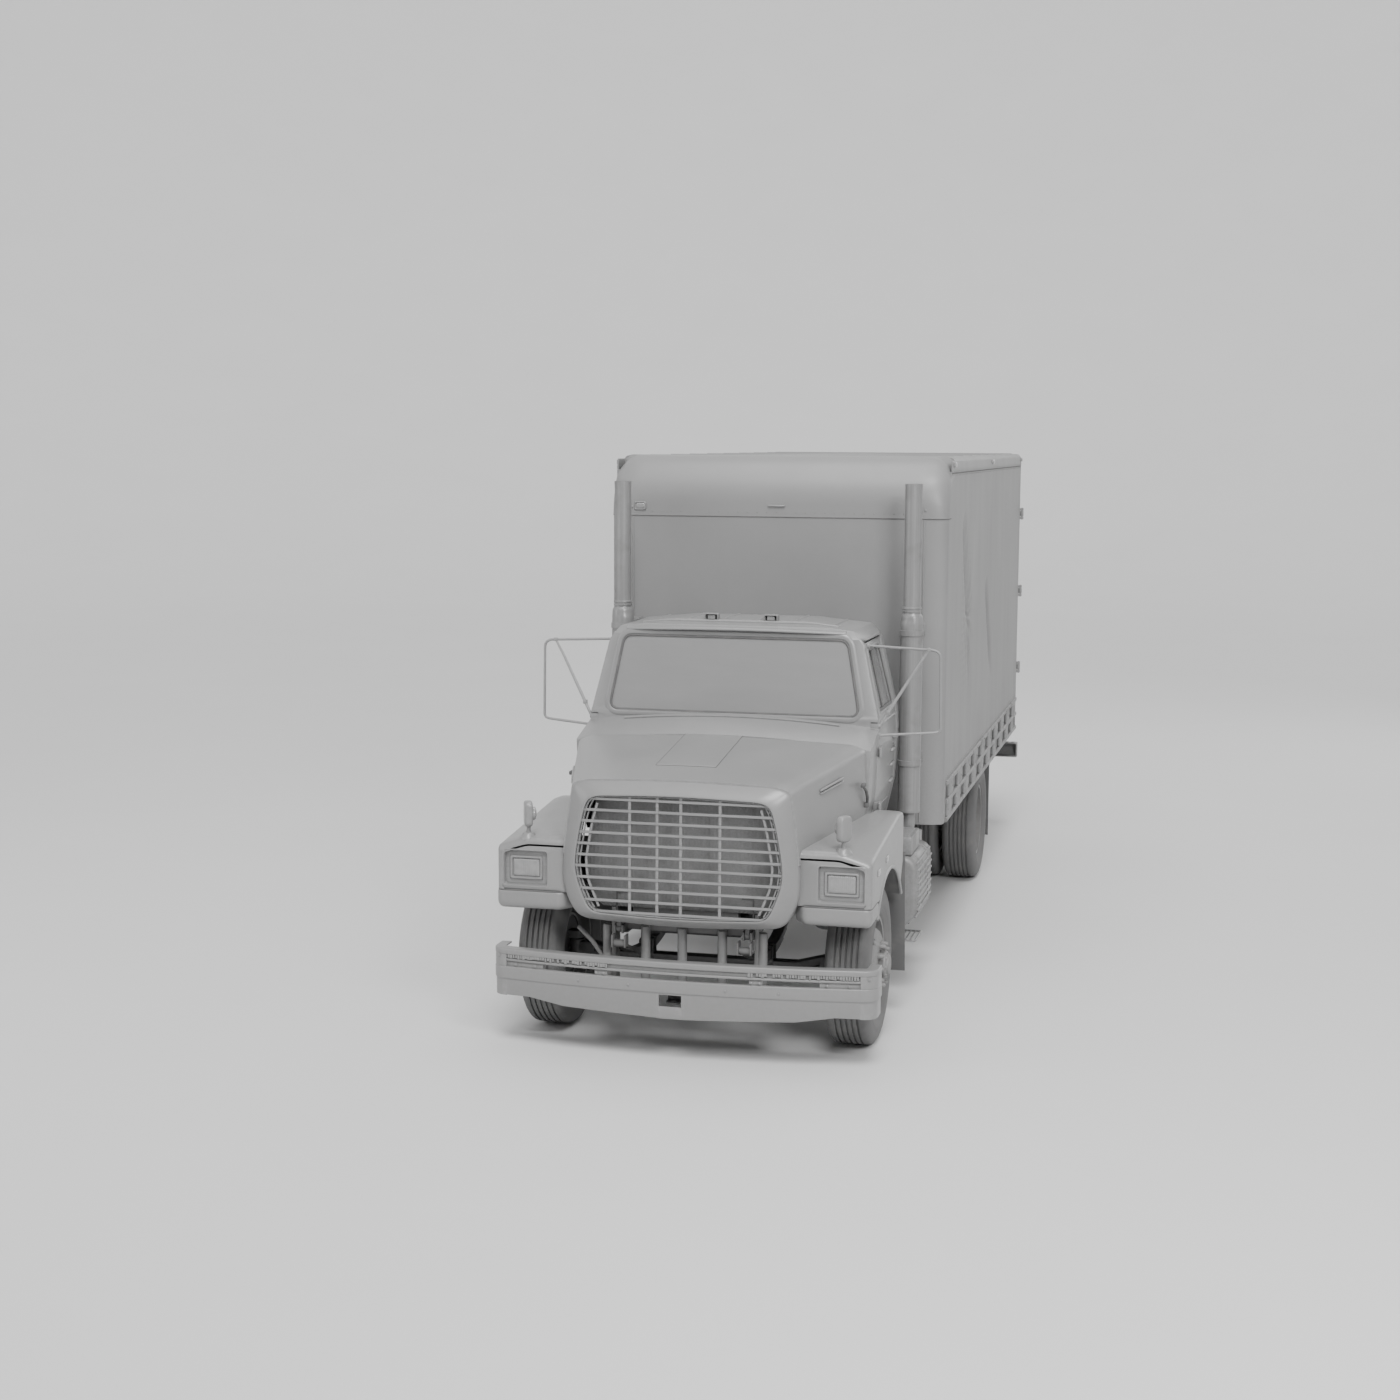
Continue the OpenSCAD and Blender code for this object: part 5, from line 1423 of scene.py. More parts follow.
    def back(self):
        shape = Shape()
        y = FRONT + 2.312
        for z in (1.35, 1.52, 1.69, 1.86):
            path = np.column_stack([np.linspace(-0.78, 0.78, 16), np.full(16, y), np.full(16, z)])
            tube(shape, path, 0.010 * np.clip(np.minimum(np.arange(16), np.arange(16)[::-1]) * 0.8, 0.3, 1),
                 8)
        shape.build("cab_back_beads", "chassis", "body_paint")


DOOR_WINDOW = ((1.590, 1.980), (2.125, 1.980), (2.095, 2.350), (2.075, 2.370), (1.660, 2.370),
               (1.636, 2.350))


class TRUCK_OT_doors(bpy.types.Operator):
    """Both cab doors: skins, seals, divided windows, vents, handles and the empty mirror frames"""
    bl_idname = "truck.doors"
    bl_label = "Cab doors"

    def execute(self, context):
        for name, side in SIDES.items():
            self.door(name, side)
            self.mirror(name, side)
        return {"FINISHED"}

    def door(self, name, side):
        body = name + "_door"
        softened(body, body + "_skin", "body_paint", body, 0.0035, 2)
        place = on_side(side)
        window = np.array(DOOR_WINDOW) + (FRONT, 0)
        outline = fillet(window, [0.03, 0.03, 0.02, 0.02, 0.02, 0.02], 5, True)
        glass = Shape()
        pane(glass, outline, lambda p: place(p, 0.018), lambda p: place(p, 0.023), 4)
        piece = glass.build(name + "_window", body, "glass")
        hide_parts(body + "_glass")
        seal = Shape()
        rim(seal, outline, ring(1, 8) * (0.008, 0.006) + (0, 0.004), place)
        divider = np.array([(FRONT + 1.790, 1.982), (FRONT + 1.800, 2.368)])
        bar_between(seal, *[place(p[None], 0.012)[0] for p in divider], 0.014, 0.020, 8)
        seal.build(name + "_door_seals", body, "flap_rubber")
        trim = Shape()
        frame_line = fillet(window, [0.03, 0.03, 0.02, 0.02, 0.02, 0.02], 5, True)
        section = fillet([(0.006, 0.004), (0.010, -0.004), (0.022, -0.003), (0.028, 0.004)], 0.004, 3, True)
        rim(trim, frame_line, section, place)
        for z, wide in ((1.90, 0.009), (1.335, 0.007)):
            path = place(np.column_stack([np.linspace(FRONT + 1.475, FRONT + 2.165, 24), np.full(24, z)]),
                         -0.001)
            tube(trim, path, wide * np.clip(np.minimum(np.arange(24), np.arange(24)[::-1]) * 0.7, 0.3, 1),
                 8)
        for z in (1.455, 1.565, 1.665):
            path = place(np.column_stack([np.linspace(FRONT + 1.995, FRONT + 2.170, 12), np.full(12, z)]),
                         -0.002)
            tube(trim, path, 0.012 * np.clip(np.minimum(np.arange(12), np.arange(12)[::-1]) * 0.6, 0.35, 1),
                 10)
        trim.build(name + "_door_trim", body, "body_paint", crease=50)
        handle = Shape()
        grip = place(np.array([(FRONT + 2.045, 1.752), (FRONT + 2.060, 1.753), (FRONT + 2.130, 1.755),
                               (FRONT + 2.150, 1.752)]), 0)
        grip[:, 0] += side * np.array([0.000, 0.026, 0.026, 0.000])
        tube(handle, fillet(grip, 0.018, 4), 0.008, 10)
        lock = place(np.array([(FRONT + 2.100, 1.705)]), -0.003)[0]
        turned(handle, [(-0.006, 0.015), (0.004, 0.015), (0.007, 0.012), (0.008, 0.005)] if side > 0 else
               [(-0.008, 0.005), (-0.007, 0.012), (-0.004, 0.015), (0.006, 0.015)], lock, "x", 20)
        for z in (1.340, 1.700):
            low = (0.968, FRONT + 1.450, z - 0.006)
            block(handle, np.array(low) * (side, 1, 1) if side > 0 else (-0.984, low[1], low[2]),
                  (0.984, FRONT + 1.520, z + 0.066) if side > 0 else (-0.968, FRONT + 1.520, z + 0.066),
                  0.003, 0.012, "x")
        handle.build(name + "_door_handle", body, "rail_metal")
        inner = Shape()
        card = fillet(np.array([(1.465, 1.275), (2.155, 1.275), (2.158, 1.905), (1.470, 1.905)])
                      + (FRONT, 0), 0.03, 5, True)
        pane(inner, card, lambda p: place(p, 0.046), lambda p: place(p, 0.056), 6)
        rest = place(np.column_stack([np.linspace(FRONT + 1.66, FRONT + 2.02, 12), np.full(12, 1.70)]),
                     0.075)
        tube(inner, rest, 0.024 * np.clip(np.minimum(np.arange(12), np.arange(12)[::-1]) * 0.8, 0.4, 1), 10)
        inner.build(name + "_door_card", body, "cab_plastic")

    def mirror(self, name, side):
        """Bent tube frames: the corners of the tube's line are rounded, and a flattened brace crosses it."""
        body = name + "_door"
        shape = Shape()
        line = np.array([(0.862, 1.650, 2.400), (1.310, 1.615, 2.385), (1.340, 1.620, 2.355),
                         (1.346, 1.625, 1.862),
                         (1.320, 1.620, 1.848), (0.970, 1.478, 1.838)]) + (0, FRONT, 0)
        path = fillet(line, [0, 0.035, 0.030, 0.024, 0.030, 0], 6)
        tube(shape, path * (side, 1, 1), 0.0088, 12)
        brace = np.array([(1.262, 1.6134, 2.388), (1.20, 1.597, 2.285), (1.02, 1.500, 1.985),
                          (0.970, 1.478, 1.896)]) + (0, FRONT, 0)
        radius = [0.0075, 0.009, 0.011, 0.009]
        tube(shape, brace * (side, 1, 1), radius, 10)
        for at, wide in ((line[0], 0.018), (line[-1], 0.018), (brace[-1], 0.016)):
            foot = at * (side, 1, 1)
            turned(shape, [(-0.010, wide * 0.5), (-0.006, wide), (0.004, wide), (0.010, wide * 0.6)], foot,
                   "x", 16)
        clamp = brace[2] * (side, 1, 1)
        block(shape, clamp - 0.014, clamp + 0.014, 0.004, 0.006)
        top = brace[0] * (side, 1, 1)
        block(shape, top - 0.012, top + 0.012, 0.004, 0.005)
        piece = shape.build(name + "_mirror_tubes", body, "mirror_tube")
        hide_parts(name + "_mirror_frame")


# ---- cargo body ----------------------------------------------------------------------------------

BODY_Y0, BODY_Y1 = FRONT + 2.810, FRONT + 8.200
SIDE_X, BODY_TOP = 1.220, 3.620
SEAM_Z, EAVE_Z, DECK_Z, RAIL_TOP = 3.200, 3.510, 1.300, 1.320
CORNER_R, NOSE_R = 0.150, 0.330


def corner_plan(inset_x, inset_y, end, radius, proud=0.0):
    """Plan of the cargo body's front: back along one side, round both front corners, and back again."""
    x = SIDE_X + proud - inset_x
    y = BODY_Y0 - proud + inset_y
    return fillet([(-x, end), (-x, y), (x, y), (x, end)], [0, radius, radius, 0], 12)


class TRUCK_OT_cargo_front(bpy.types.Operator):
    """The cargo body's front wall and the rounded nose cap above it, with its seam, rivets and lamps"""
    bl_idname = "truck.cargo_front"
    bl_label = "Cargo body front"

    def execute(self, context):
        self.wall()
        self.nose()
        self.trim()
        return {"FINISHED"}

    def wall(self):
        """The plan of the corners carried up to the seam, each row moved in by a shallow bow."""
        low = span("body_front_wall")[0][2]
        heights = np.array([0, 0.004, 0.03, 0.3, 0.7, 1.1, 1.5, 1.9, SEAM_Z - low]) + low
        outer, inner = [], []
        for i, z in enumerate(heights):
            edge = 0.006 if i == 0 else 0.0
            bow = 0.004 * math.sin(math.pi * (z - low) / (SEAM_Z - low))
            for rows, inset, radius in ((outer, edge + bow, CORNER_R + 0.07),
                                        (inner, 0.030 - edge, CORNER_R + 0.04)):
                p = corner_plan(edge if rows is outer else 0.030, inset, BODY_Y0 + CORNER_R, radius)
                p[:, 1] = np.minimum(p[:, 1], BODY_Y0 + CORNER_R)
                rows.append(np.column_stack([p, np.full(len(p), z)]))
        shape = shell(Shape(), np.array(outer), np.array(inner))
        piece = shape.build("cargo_front_panel", "chassis", "box_skin", crease=50)
        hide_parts("body_front_wall")

    def nose(self):
        """Plans that shrink upwards, closed level at the top: an outer skin and the same skin 30 mm
        inside."""
        outer, inner = self.cap(0.0), self.cap(0.030)
        piece = shell(Shape(), outer, inner).build("cargo_nose_cap", "chassis", "box_skin", crease=48)
        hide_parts("body_roof")

    def cap(self, inside):
        """Rows of the cap drawn in by inside. Each row's inset = R - sqrt(R^2 - h^2), with h the height
        above where the rounding begins: 330 mm round the nose and 180 mm round the eaves."""
        top = BODY_TOP - 0.0005 - inside
        end = BODY_Y0 + 0.345
        round_nose, round_eave = NOSE_R - inside, 0.180 - inside
        angle = np.radians(np.linspace(0, 90, 15))
        foot = [SEAM_Z - 0.012, SEAM_Z - 0.010, SEAM_Z, SEAM_Z + 0.070]
        rows = []
        for z in foot + [top - round_nose + round_nose * math.sin(a) for a in angle]:
            h, g = max(z - top + round_nose, 0), max(z - top + round_eave, 0)
            inset_y = inside + round_nose - math.sqrt(max(round_nose**2 - h * h, 0))
            inset_x = inside + round_eave - math.sqrt(max(round_eave**2 - g * g, 0))
            back = BODY_Y0 + 0.160 + 0.185 * float(ease(SEAM_Z, BODY_TOP - 0.05, z))
            inset_y = min(inset_y, back - BODY_Y0 - 0.002)
            radius = min(CORNER_R + 0.07 + inset_x * 0.8, back - BODY_Y0 - inset_y - 0.001)
            p = corner_plan(inset_x, inset_y, back + 0.001, max(radius, 0.002), 0.0035 - inside * 0.1)
            over = max(z - top + 0.070, 0)
            rear_x = SIDE_X + 0.001 - inside - 0.070 + math.sqrt(max(0.070**2 - over * over, 0))
            p[0, 0], p[-1, 0] = -rear_x, rear_x
            rows.append(np.column_stack([p[:, 0], np.minimum(p[:, 1], back), np.full(len(p), z)]))
        closing = rows[-1].copy()
        closing[:, 1] = end
        return np.array(rows + [closing])

    def trim(self):
        seam = Shape()
        p = corner_plan(0, 0, BODY_Y0 + 0.155, CORNER_R + 0.07, 0.002)
        tube(seam, np.column_stack([p, np.full(len(p), SEAM_Z - 0.013)]), 0.0035, 6)
        seam.build("nose_seam", "chassis", "flap_rubber")
        rivets = Shape()
        along = [(x, BODY_Y0 - 0.003, SEAM_Z + 0.018) for x in np.arange(-0.98, 0.99, 0.07)]
        studs(rivets, along, 0.0050, 0.0030, "y", 6, -1)
        pairs = [(s * x, BODY_Y0 - 0.002, SEAM_Z + 0.046) for s in (1, -1) for x in (1.035, 1.062)]
        studs(rivets, pairs, 0.0085, 0.008, "y", 8, -1)
        rivets.build("nose_rivets", "chassis", "rail_metal")
        beads = Shape()
        for side in (1, -1):
            z = np.linspace(1.04, SEAM_Z - 0.02, 12)
            tube(beads, np.column_stack([np.full(12, side * 1.055), np.full(12, BODY_Y0 + 0.002), z]),
                 0.006, 8)
        block(beads, (-0.062, BODY_Y0 - 0.016, SEAM_Z + 0.058), (0.062, BODY_Y0 - 0.002, SEAM_Z + 0.072),
              0.004, 0.006, "x")
        for side in (1, -1):
            low = (side * 1.000 - 0.045, BODY_Y0 - 0.018, SEAM_Z + 0.024)
            outline = rounded_box((low[0], low[2]), (low[0] + 0.09, low[2] + 0.062), 0.014, 4)
            levels = [(BODY_Y0, 0), (BODY_Y0 - 0.010, 0.001), (BODY_Y0 - 0.014, 0.006),
                      (BODY_Y0 - 0.010, 0.011), (BODY_Y0, 0.012)]
            beads.grid(stack(outline, levels, "y"), round_u=True, round_v=True)
        beads.build("nose_beads", "chassis", "box_skin", crease=50)
        lens = Shape()
        for side in (1, -1):
            outline = rounded_box((side * 1.000 - 0.033, SEAM_Z + 0.036),
                                  (side * 1.000 + 0.033, SEAM_Z + 0.074), 0.010, 4)
            lens.grid(stack(outline, [(BODY_Y0 + 0.002, 0), (BODY_Y0 - 0.009, 0), (BODY_Y0 - 0.013, 0.005),
                                      (BODY_Y0 - 0.0145, 0.013)], "y"), round_v=True, caps=True)
        lens.build("nose_lamp_lenses", "chassis", "lamp_lens")


def dent_depth(y, z):
    """How far the left wall is pushed in at (y, z), in metres: two torn creases with star puckers at their
    ends, and a field of short ripples round the first."""

    def groove(a, b, width, depth):
        a, b = np.array(a), np.array(b)
        span_ab = b - a
        t = np.clip(((y - a[0]) * span_ab[0] + (z - a[1]) * span_ab[1]) / (span_ab @ span_ab), 0, 1)
        away = np.hypot(y - a[0] - t * span_ab[0], z - a[1] - t * span_ab[1])
        return depth * np.exp(-((away / width) ** 2)) * (0.25
                                                         + 0.75 * np.sin(math.pi * np.clip(
                                                             t * 0.86 + 0.10, 0, 1)))

    first = groove((-0.29, 3.09), (0.02, 2.44), 0.095, 0.040) + groove((-0.27, 3.02), (0.02, 2.44), 0.030,
                                                                       0.050)
    reach = np.hypot(y - 0.02, (z - 2.40) * 0.8)
    angle = np.arctan2(z - 2.40, y - 0.02)
    star = 0.030 * np.exp(-reach / 0.13) * (0.5 + 0.5 * np.cos(9 * angle)) * (1 - np.exp(-reach / 0.03))
    lower = groove((0.06, 2.36), (0.10, 1.98), 0.050, 0.016)
    field = np.exp(-(((y + 0.14) / 0.34) ** 2) ** 2) * np.exp(-(((z - 2.5) / 0.62) ** 2) ** 2)
    ripples = 0.0060 * (0.5 + 0.5 * np.sin(z * 105 + 0.8 * np.sin(y * 17))) * (
        0.5 + 0.5 * np.cos(y * 62)) * field
    second = groove((1.26, 2.56), (1.50, 2.20), 0.060, 0.026) + groove((1.50, 2.20), (1.71, 1.86), 0.065,
                                                                       0.022)
    rough = (0.5 + 0.5 * np.sin(z * 150 + 3 * np.sin(y * 40))) * groove((1.30, 2.50), (1.68, 1.90), 0.085,
                                                                        0.012)
    waves = 0.0016 * (1 + np.sin(y * 2.3 + 0.7) * np.sin(z * 2.1))
    return first + star + lower + ripples + second + rough + waves


class TRUCK_OT_cargo_sides(bpy.types.Operator):
    """The cargo body's side walls, roof, top rails, marker lamps and rub rails. The left wall is dented"""
    bl_idname = "truck.cargo_sides"
    bl_label = "Cargo body sides"

    def execute(self, context):
        self.walls()
        self.roof()
        self.rails()
        return {"FINISHED"}

    def walls(self):
        y0, y1 = BODY_Y0 + CORNER_R, BODY_Y1 - 0.050
        fine = np.concatenate([np.linspace(y0, -0.72, 8)[:-1], np.arange(-0.72, 0.45, 0.0155),
                               np.linspace(0.46, 1.10, 9),
                               np.arange(1.12, 1.86, 0.022), np.linspace(1.88, y1, 26)])
        for side, dented in ((1, True), (-1, False)):
            ys = fine if dented else np.linspace(y0, y1, 54)
            zs = np.linspace(RAIL_TOP, EAVE_Z, 132 if dented else 30)
            u, v = np.meshgrid(ys, zs)
            depth = dent_depth(u, v) if dented else 0.0010 * (1 + np.sin(u * 2.1) * np.sin(v * 1.7))
            fade = ease(0, 0.10, u - y0) * ease(0, 0.10,
                                                y1 - u) * ease(0, 0.06, v - RAIL_TOP) * ease(
                                                    0, 0.06, EAVE_Z - v)
            depth = depth * fade
            outer = np.stack([side * (SIDE_X - depth), u, v], axis=-1)
            inner = np.stack([side * (SIDE_X - 0.026 - depth * 0.9), u, v], axis=-1)
            name = "left" if side > 0 else "right"
            piece = shell(Shape(), outer, inner).build("cargo_%s_panel" % name, "chassis", "box_skin",
                                                       crease=60)
            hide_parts("body_%s_wall" % name)
        rivets = Shape()
        spots = []
        for side in (1, -1):
            for y in np.linspace(y0 + 0.02, y1 - 0.02, 62):
                for z in (RAIL_TOP + 0.022, EAVE_Z - 0.022):
                    spots.append((side * (SIDE_X - 0.001), y, z))
        spots = np.array(spots)
        for side in (1, -1):
            studs(rivets, spots[np.sign(spots[:, 0]) == side], 0.0046, 0.0028, "x", 5, side)
        rivets.build("cargo_wall_rivets", "chassis", "rail_metal")

    def roof(self):
        """The roof's cross-section carried back from the nose, crowned by 10 mm, with its rounded rails and a
        dark tube of painted shadow under them.
        """
        y0, y1 = BODY_Y0 + 0.340, BODY_Y1 - 0.052
        top = BODY_TOP - 0.001
        x = SIDE_X
        half = [(x - 0.002, EAVE_Z + 0.001), (x, EAVE_Z + 0.004), (x, top - 0.008),
                (x - 0.075, top - 0.004), (0.6, top - 0.002)]
        line = np.array(half + [(0.0, top)] + [(-a, b) for a, b in half[::-1]])
        section = fillet(line, [0, 0.004, 0.070, 0.05, 0.1, 0.2, 0.1, 0.05, 0.070, 0.004, 0], 7)
        ys = np.linspace(y0, y1, 27)
        outer = np.stack([np.column_stack([section[:, 0], np.full(len(section), y),
                                           section[:, 1] - 0.0008 * (1 + math.cos(
                                               y * 2 * math.pi / 0.6))]) for y in ys])
        inner = outer * ((SIDE_X - 0.030) / SIDE_X, 1, 1) - (0, 0, 0.030)
        inner[:, 0, 2] = inner[:, -1, 2] = EAVE_Z
        shell(Shape(), outer, inner).build("cargo_roof_panel", "chassis", "box_skin", crease=50)
        rails = Shape()
        gap = Shape()
        for side in (1, -1):
            profile = fillet([(0.0, 3.506), (0.010, 3.506), (0.012, 3.530), (0.006, 3.590), (0.0, 3.590)],
                             0.005, 4, True)
            ends = [np.column_stack([side * (SIDE_X - 0.004 + profile[:, 0]), np.full(len(profile), y),
                                     profile[:, 1]])
                    for y in (BODY_Y0 + 0.175, BODY_Y0 + 0.20, y1 - 0.01, y1)]
            rails.grid(np.array(ends), round_v=True, caps=True)
            # Painted shadow: a dark rubber tube along the top of each wall, under the rail's lip, stands in
            # for the shade there.
            path = np.column_stack([np.full(2, side * (SIDE_X + 0.000)), [BODY_Y0 + 0.17, y1],
                                    [3.502, 3.502]])
            tube(gap, path, 0.0045, 6)
        for y in np.arange(y0 + 0.30, y1 - 0.2, 0.60):
            xs = np.linspace(-1.10, 1.10, 12)
            path = np.column_stack([xs, np.full(12, y), np.full(12, top - 0.0055)])
            tube(rails, path, 0.006, 6)
        rails.build("cargo_top_rails", "chassis", "box_skin", crease=50)
        gap.build("top_rail_gap_shadows", "chassis", "flap_rubber")
        lamps = Shape()
        for side in (1, -1):
            for y in (BODY_Y0 + 0.26, (BODY_Y0 + BODY_Y1) / 2 + 0.1, BODY_Y1 - 0.10):
                low = np.array((side * (SIDE_X + 0.012) - 0.010, y - 0.045, 3.545))
                block(lamps, low, low + (0.020, 0.090, 0.036), 0.004, 0.010, "x")
        lamps.build("roof_marker_lamps", "chassis", "lamp_lens")

    def rails(self):
        """Three rails with rounded edges along each side, joined by pocket blocks."""
        shape = Shape()
        y0, y1 = BODY_Y0 + CORNER_R, BODY_Y1 - 0.050
        for side in (1, -1):
            for z0, z1 in ((1.020, 1.052), (1.150, 1.182), (1.286, 1.320)):
                profile = fillet([(0, z0), (0.026, z0), (0.026, z1), (0, z1)], [0.001, 0.008, 0.008, 0.001],
                                 4, True)
                ends = [np.column_stack([side * (SIDE_X - 0.011 + profile[:, 0]), np.full(len(profile), y),
                                         profile[:, 1]]) for y in (y0, y0 + 0.01, y1)]
                shape.grid(np.array(ends), round_v=True, caps=True)
            low = (side * (SIDE_X - 0.020) - 0.010, y0, 1.022)
            block(shape, low, (low[0] + 0.020, y1, 1.318), 0.002, 0.003, "y")
            for i in range(10):
                for start, z0, z1 in ((0.040, 1.050, 1.152), (0.130, 1.180, 1.288)):
                    a = y0 + start + i * 0.520
                    b = min(a + 0.260, y1 - 0.005)
                    if b - a < 0.03:
                        continue
                    low = (side * SIDE_X - 0.012, a, z0)
                    block(shape, low, (low[0] + 0.022, b, z1), 0.005, 0.016, "x")
        piece = shape.build("rub_rail_bars", "chassis", "rail_metal", crease=45)
        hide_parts("rub_rails")
        bolts = Shape()
        for side in (1, -1):
            spots = [(side * (SIDE_X + 0.009), y0 + 0.085 + i * 0.26, 1.101 if i % 2 == 0 else 1.234)
                     for i in range(19)]
            studs(bolts, spots, 0.008, 0.006, "x", 6, side)
            spots = [(side * (SIDE_X + 0.0145), y0 + 0.06 + i * 0.26, 1.303) for i in range(20)]
            studs(bolts, spots, 0.006, 0.004, "x", 6, side)
        bolts.build("rub_rail_bolts", "chassis", "rail_metal")


class TRUCK_OT_cargo_rear(bpy.types.Operator):
    """The rear frame and both cargo doors, with seals, lock gear, tail lamps, plate and steps"""
    bl_idname = "truck.cargo_rear"
    bl_label = "Cargo body rear"

    def execute(self, context):
        softened("rear_frame", "cargo_rear_frame", "box_skin", "chassis", 0.0035, 2)
        for name, side in SIDES.items():
            self.door(name, side)
        self.lamps()
        return {"FINISHED"}

    def door(self, name, side):
        body = name + "_cargo_door"
        softened(body, body + "_panel", "box_skin", body, 0.0025, 2)
        low, high = 1.305, 3.355
        x0, x1 = 0.006, 1.095
        place = lambda p, d: np.column_stack([side * p[:, 0], np.full(len(p), BODY_Y1 - 0.005 + d),
                                              p[:, 1]])
        seal = Shape()
        outline = rounded_box((x0 + 0.012, low + 0.012), (x1 - 0.012, high - 0.012), 0.020, 5)
        rim(seal, outline, ring(1, 8) * (0.007, 0.004) + (0, 0.001), place)
        seal.build(name + "_cargo_door_seal", body, "flap_rubber")
        trim = Shape()
        section = fillet([(-0.022, 0.0), (-0.018, 0.004), (0.018, 0.004), (0.022, 0.0), (0.018, -0.004),
                          (-0.018, -0.004)], 0.003, 3, True)
        rim(trim, rounded_box((x0 + 0.060, low + 0.060), (x1 - 0.060, high - 0.060), 0.040, 6), section,
            place)
        for z in (1.78, 2.33, 2.88):
            shape_low = (side * 0.55 - 0.42, BODY_Y1 - 0.006, z - 0.020)
            block(trim, shape_low, (shape_low[0] + 0.84, BODY_Y1 - 0.001, z + 0.020), 0.002, 0.008, "x")
        trim.build(name + "_cargo_door_beads", body, "box_skin", crease=50)
        gear = Shape()
        for z in (low + 0.120, (low + high) / 2, high - 0.120):
            spots = [(side * (0.330 + dx), BODY_Y1 + 0.009, z + dz) for dx in (-0.028, 0.028)
                     for dz in (-0.018, 0.018)]
            studs(gear, spots, 0.006, 0.005, "y", 6, 1)
        for z in (DECK_Z + 0.300, (DECK_Z + 3.355) / 2, 3.055):
            spots = [(side * x, BODY_Y1 + 0.007, z) for x in (0.80, 0.87, 0.94, 1.01)]
            studs(gear, spots, 0.008, 0.005, "y", 6, 1)
        for z in (low - 0.030, high + 0.012):
            at = (side * 0.330, BODY_Y1 + 0.015, z)
            block(gear, np.array(at) - (0.024, 0.016, 0.010), np.array(at) + (0.024, 0.020, 0.012), 0.003,
                  0.005)
        grip = [(side * 0.070, BODY_Y1 + 0.016, low + 0.435), (side * 0.110, BODY_Y1 + 0.040, low + 0.435),
                (side * 0.260, BODY_Y1 + 0.040, low + 0.435), (side * 0.300, BODY_Y1 + 0.020, low + 0.435)]
        tube(gear, fillet(grip, 0.02, 4), 0.009, 10)
        gear.build(name + "_cargo_door_gear", body, "rail_metal")

    def lamps(self):
        housing = Shape()
        lens = Shape()
        for side in (1, -1):
            for x, z in ((0.98, 1.160), (0.82, 1.160)):
                outline = ring(0.055, 28) + (side * x, z)
                levels = [(BODY_Y1 - 0.004, 0), (BODY_Y1 + 0.010, 0), (BODY_Y1 + 0.014, 0.004),
                          (BODY_Y1 + 0.010, 0.009), (BODY_Y1 - 0.004, 0.009)]
                housing.grid(stack(outline, levels, "y"), round_u=True, round_v=True)
                outline = ring(0.0465, 28) + (side * x, z)
                lens.grid(stack(outline, [(BODY_Y1 - 0.002, 0), (BODY_Y1 + 0.008, 0),
                                          (BODY_Y1 + 0.013, 0.006), (BODY_Y1 + 0.015,
                                                                     0.020)], "y"), round_v=True, caps=True)
        for x in (-0.30, -0.15, 0.0, 0.15, 0.30):
            block(lens, (x - 0.035, BODY_Y1 - 0.002, 3.540), (x + 0.035, BODY_Y1 + 0.012, 3.562), 0.003,
                  0.008, "y")
        block(housing, (-0.68, BODY_Y1 - 0.002, 1.090), (-0.36, BODY_Y1 + 0.006, 1.250), 0.002, 0.010, "y")
        housing.build("tail_lamp_rings", "chassis", "rail_metal")
        lens.build("tail_lamp_lenses", "chassis", "lamp_lens")
        step = Shape()
        for x in np.arange(-1.20, 1.21, 0.06):
            block(step, (x - 0.018, BODY_Y1 + 0.012, 0.8705), (x + 0.018, BODY_Y1 + 0.090, 0.8745), 0.0015,
                  0.004)
        step.build("rear_step_treads", "chassis", "rail_metal")


# ---- wheels --------------------------------------------------------------------------------------

AXLE_F, AXLE_R = FRONT + 0.790, FRONT + 6.080
TYRE_R = 0.500


def tyre_rows(x, y):
    """A tyre as a function of the place s round its section and the angle a round the axle. The radius is
    the section's own, less five grooves round the tread, nicks along the grooves' edges and short notches
    along both shoulders."""
    half = np.array([(0.287, 0.0), (0.287, 0.095), (0.289, 0.103), (0.304, 0.1035), (0.311, 0.110),
                     (0.318, 0.1185), (0.324, 0.1215),
                     (0.338, 0.1260), (0.343, 0.1290), (0.348, 0.1292), (0.356, 0.1345), (0.372, 0.1390),
                     (0.391, 0.1420), (0.403, 0.1425),
                     (0.406, 0.1412), (0.430, 0.1396), (0.450, 0.1350), (0.468, 0.1282), (0.480, 0.1210),
                     (0.490, 0.1115),
                     (0.4945, 0.1040), (0.4970, 0.0960)])
    grooves = np.array([0.0, 0.034, 0.068])
    across = np.unique(np.concatenate([[0.0905, 0.083]] + [g + np.array([-0.0062, -0.0048, 0.0048, 0.0062])
                                                           for g in grooves]))
    across = across[across >= 0][::-1]
    depth = np.where(np.abs(across[:, None] - grooves[None]).min(axis=1) < 0.0055, 0.0115, 0.0)
    tread = np.column_stack([0.4998 - 0.0020 * (across / 0.09) ** 2 - depth, across])
    half = np.vstack([half, tread])
    section = np.vstack([half, half[::-1][:-1] * (1, -1)])
    count = 168
    angle = np.linspace(0, 2 * math.pi, count, endpoint=False)
    shoulder = np.exp(-(((np.abs(section[:, 1]) - 0.098) / 0.010) ** 2)) * (section[:, 0] > 0.47)
    notch = (np.arange(count) % 4 == 0) * 0.0055
    groove_edge = np.abs(np.abs(section[:, 1])[:, None] - (grooves + 0.0062)[None]).min(axis=1) < 0.0004
    nick = np.arange(count) % 3 == 0
    radius = section[:, :1] - shoulder[:, None] * notch[None] - np.outer(groove_edge, nick) * 0.0022
    rows = np.empty((len(section), count, 3))
    rows[..., 0] = x + section[:, 1:]
    rows[..., 1] = y + radius * np.cos(angle)
    rows[..., 2] = TYRE_R + radius * np.sin(angle)
    return rows


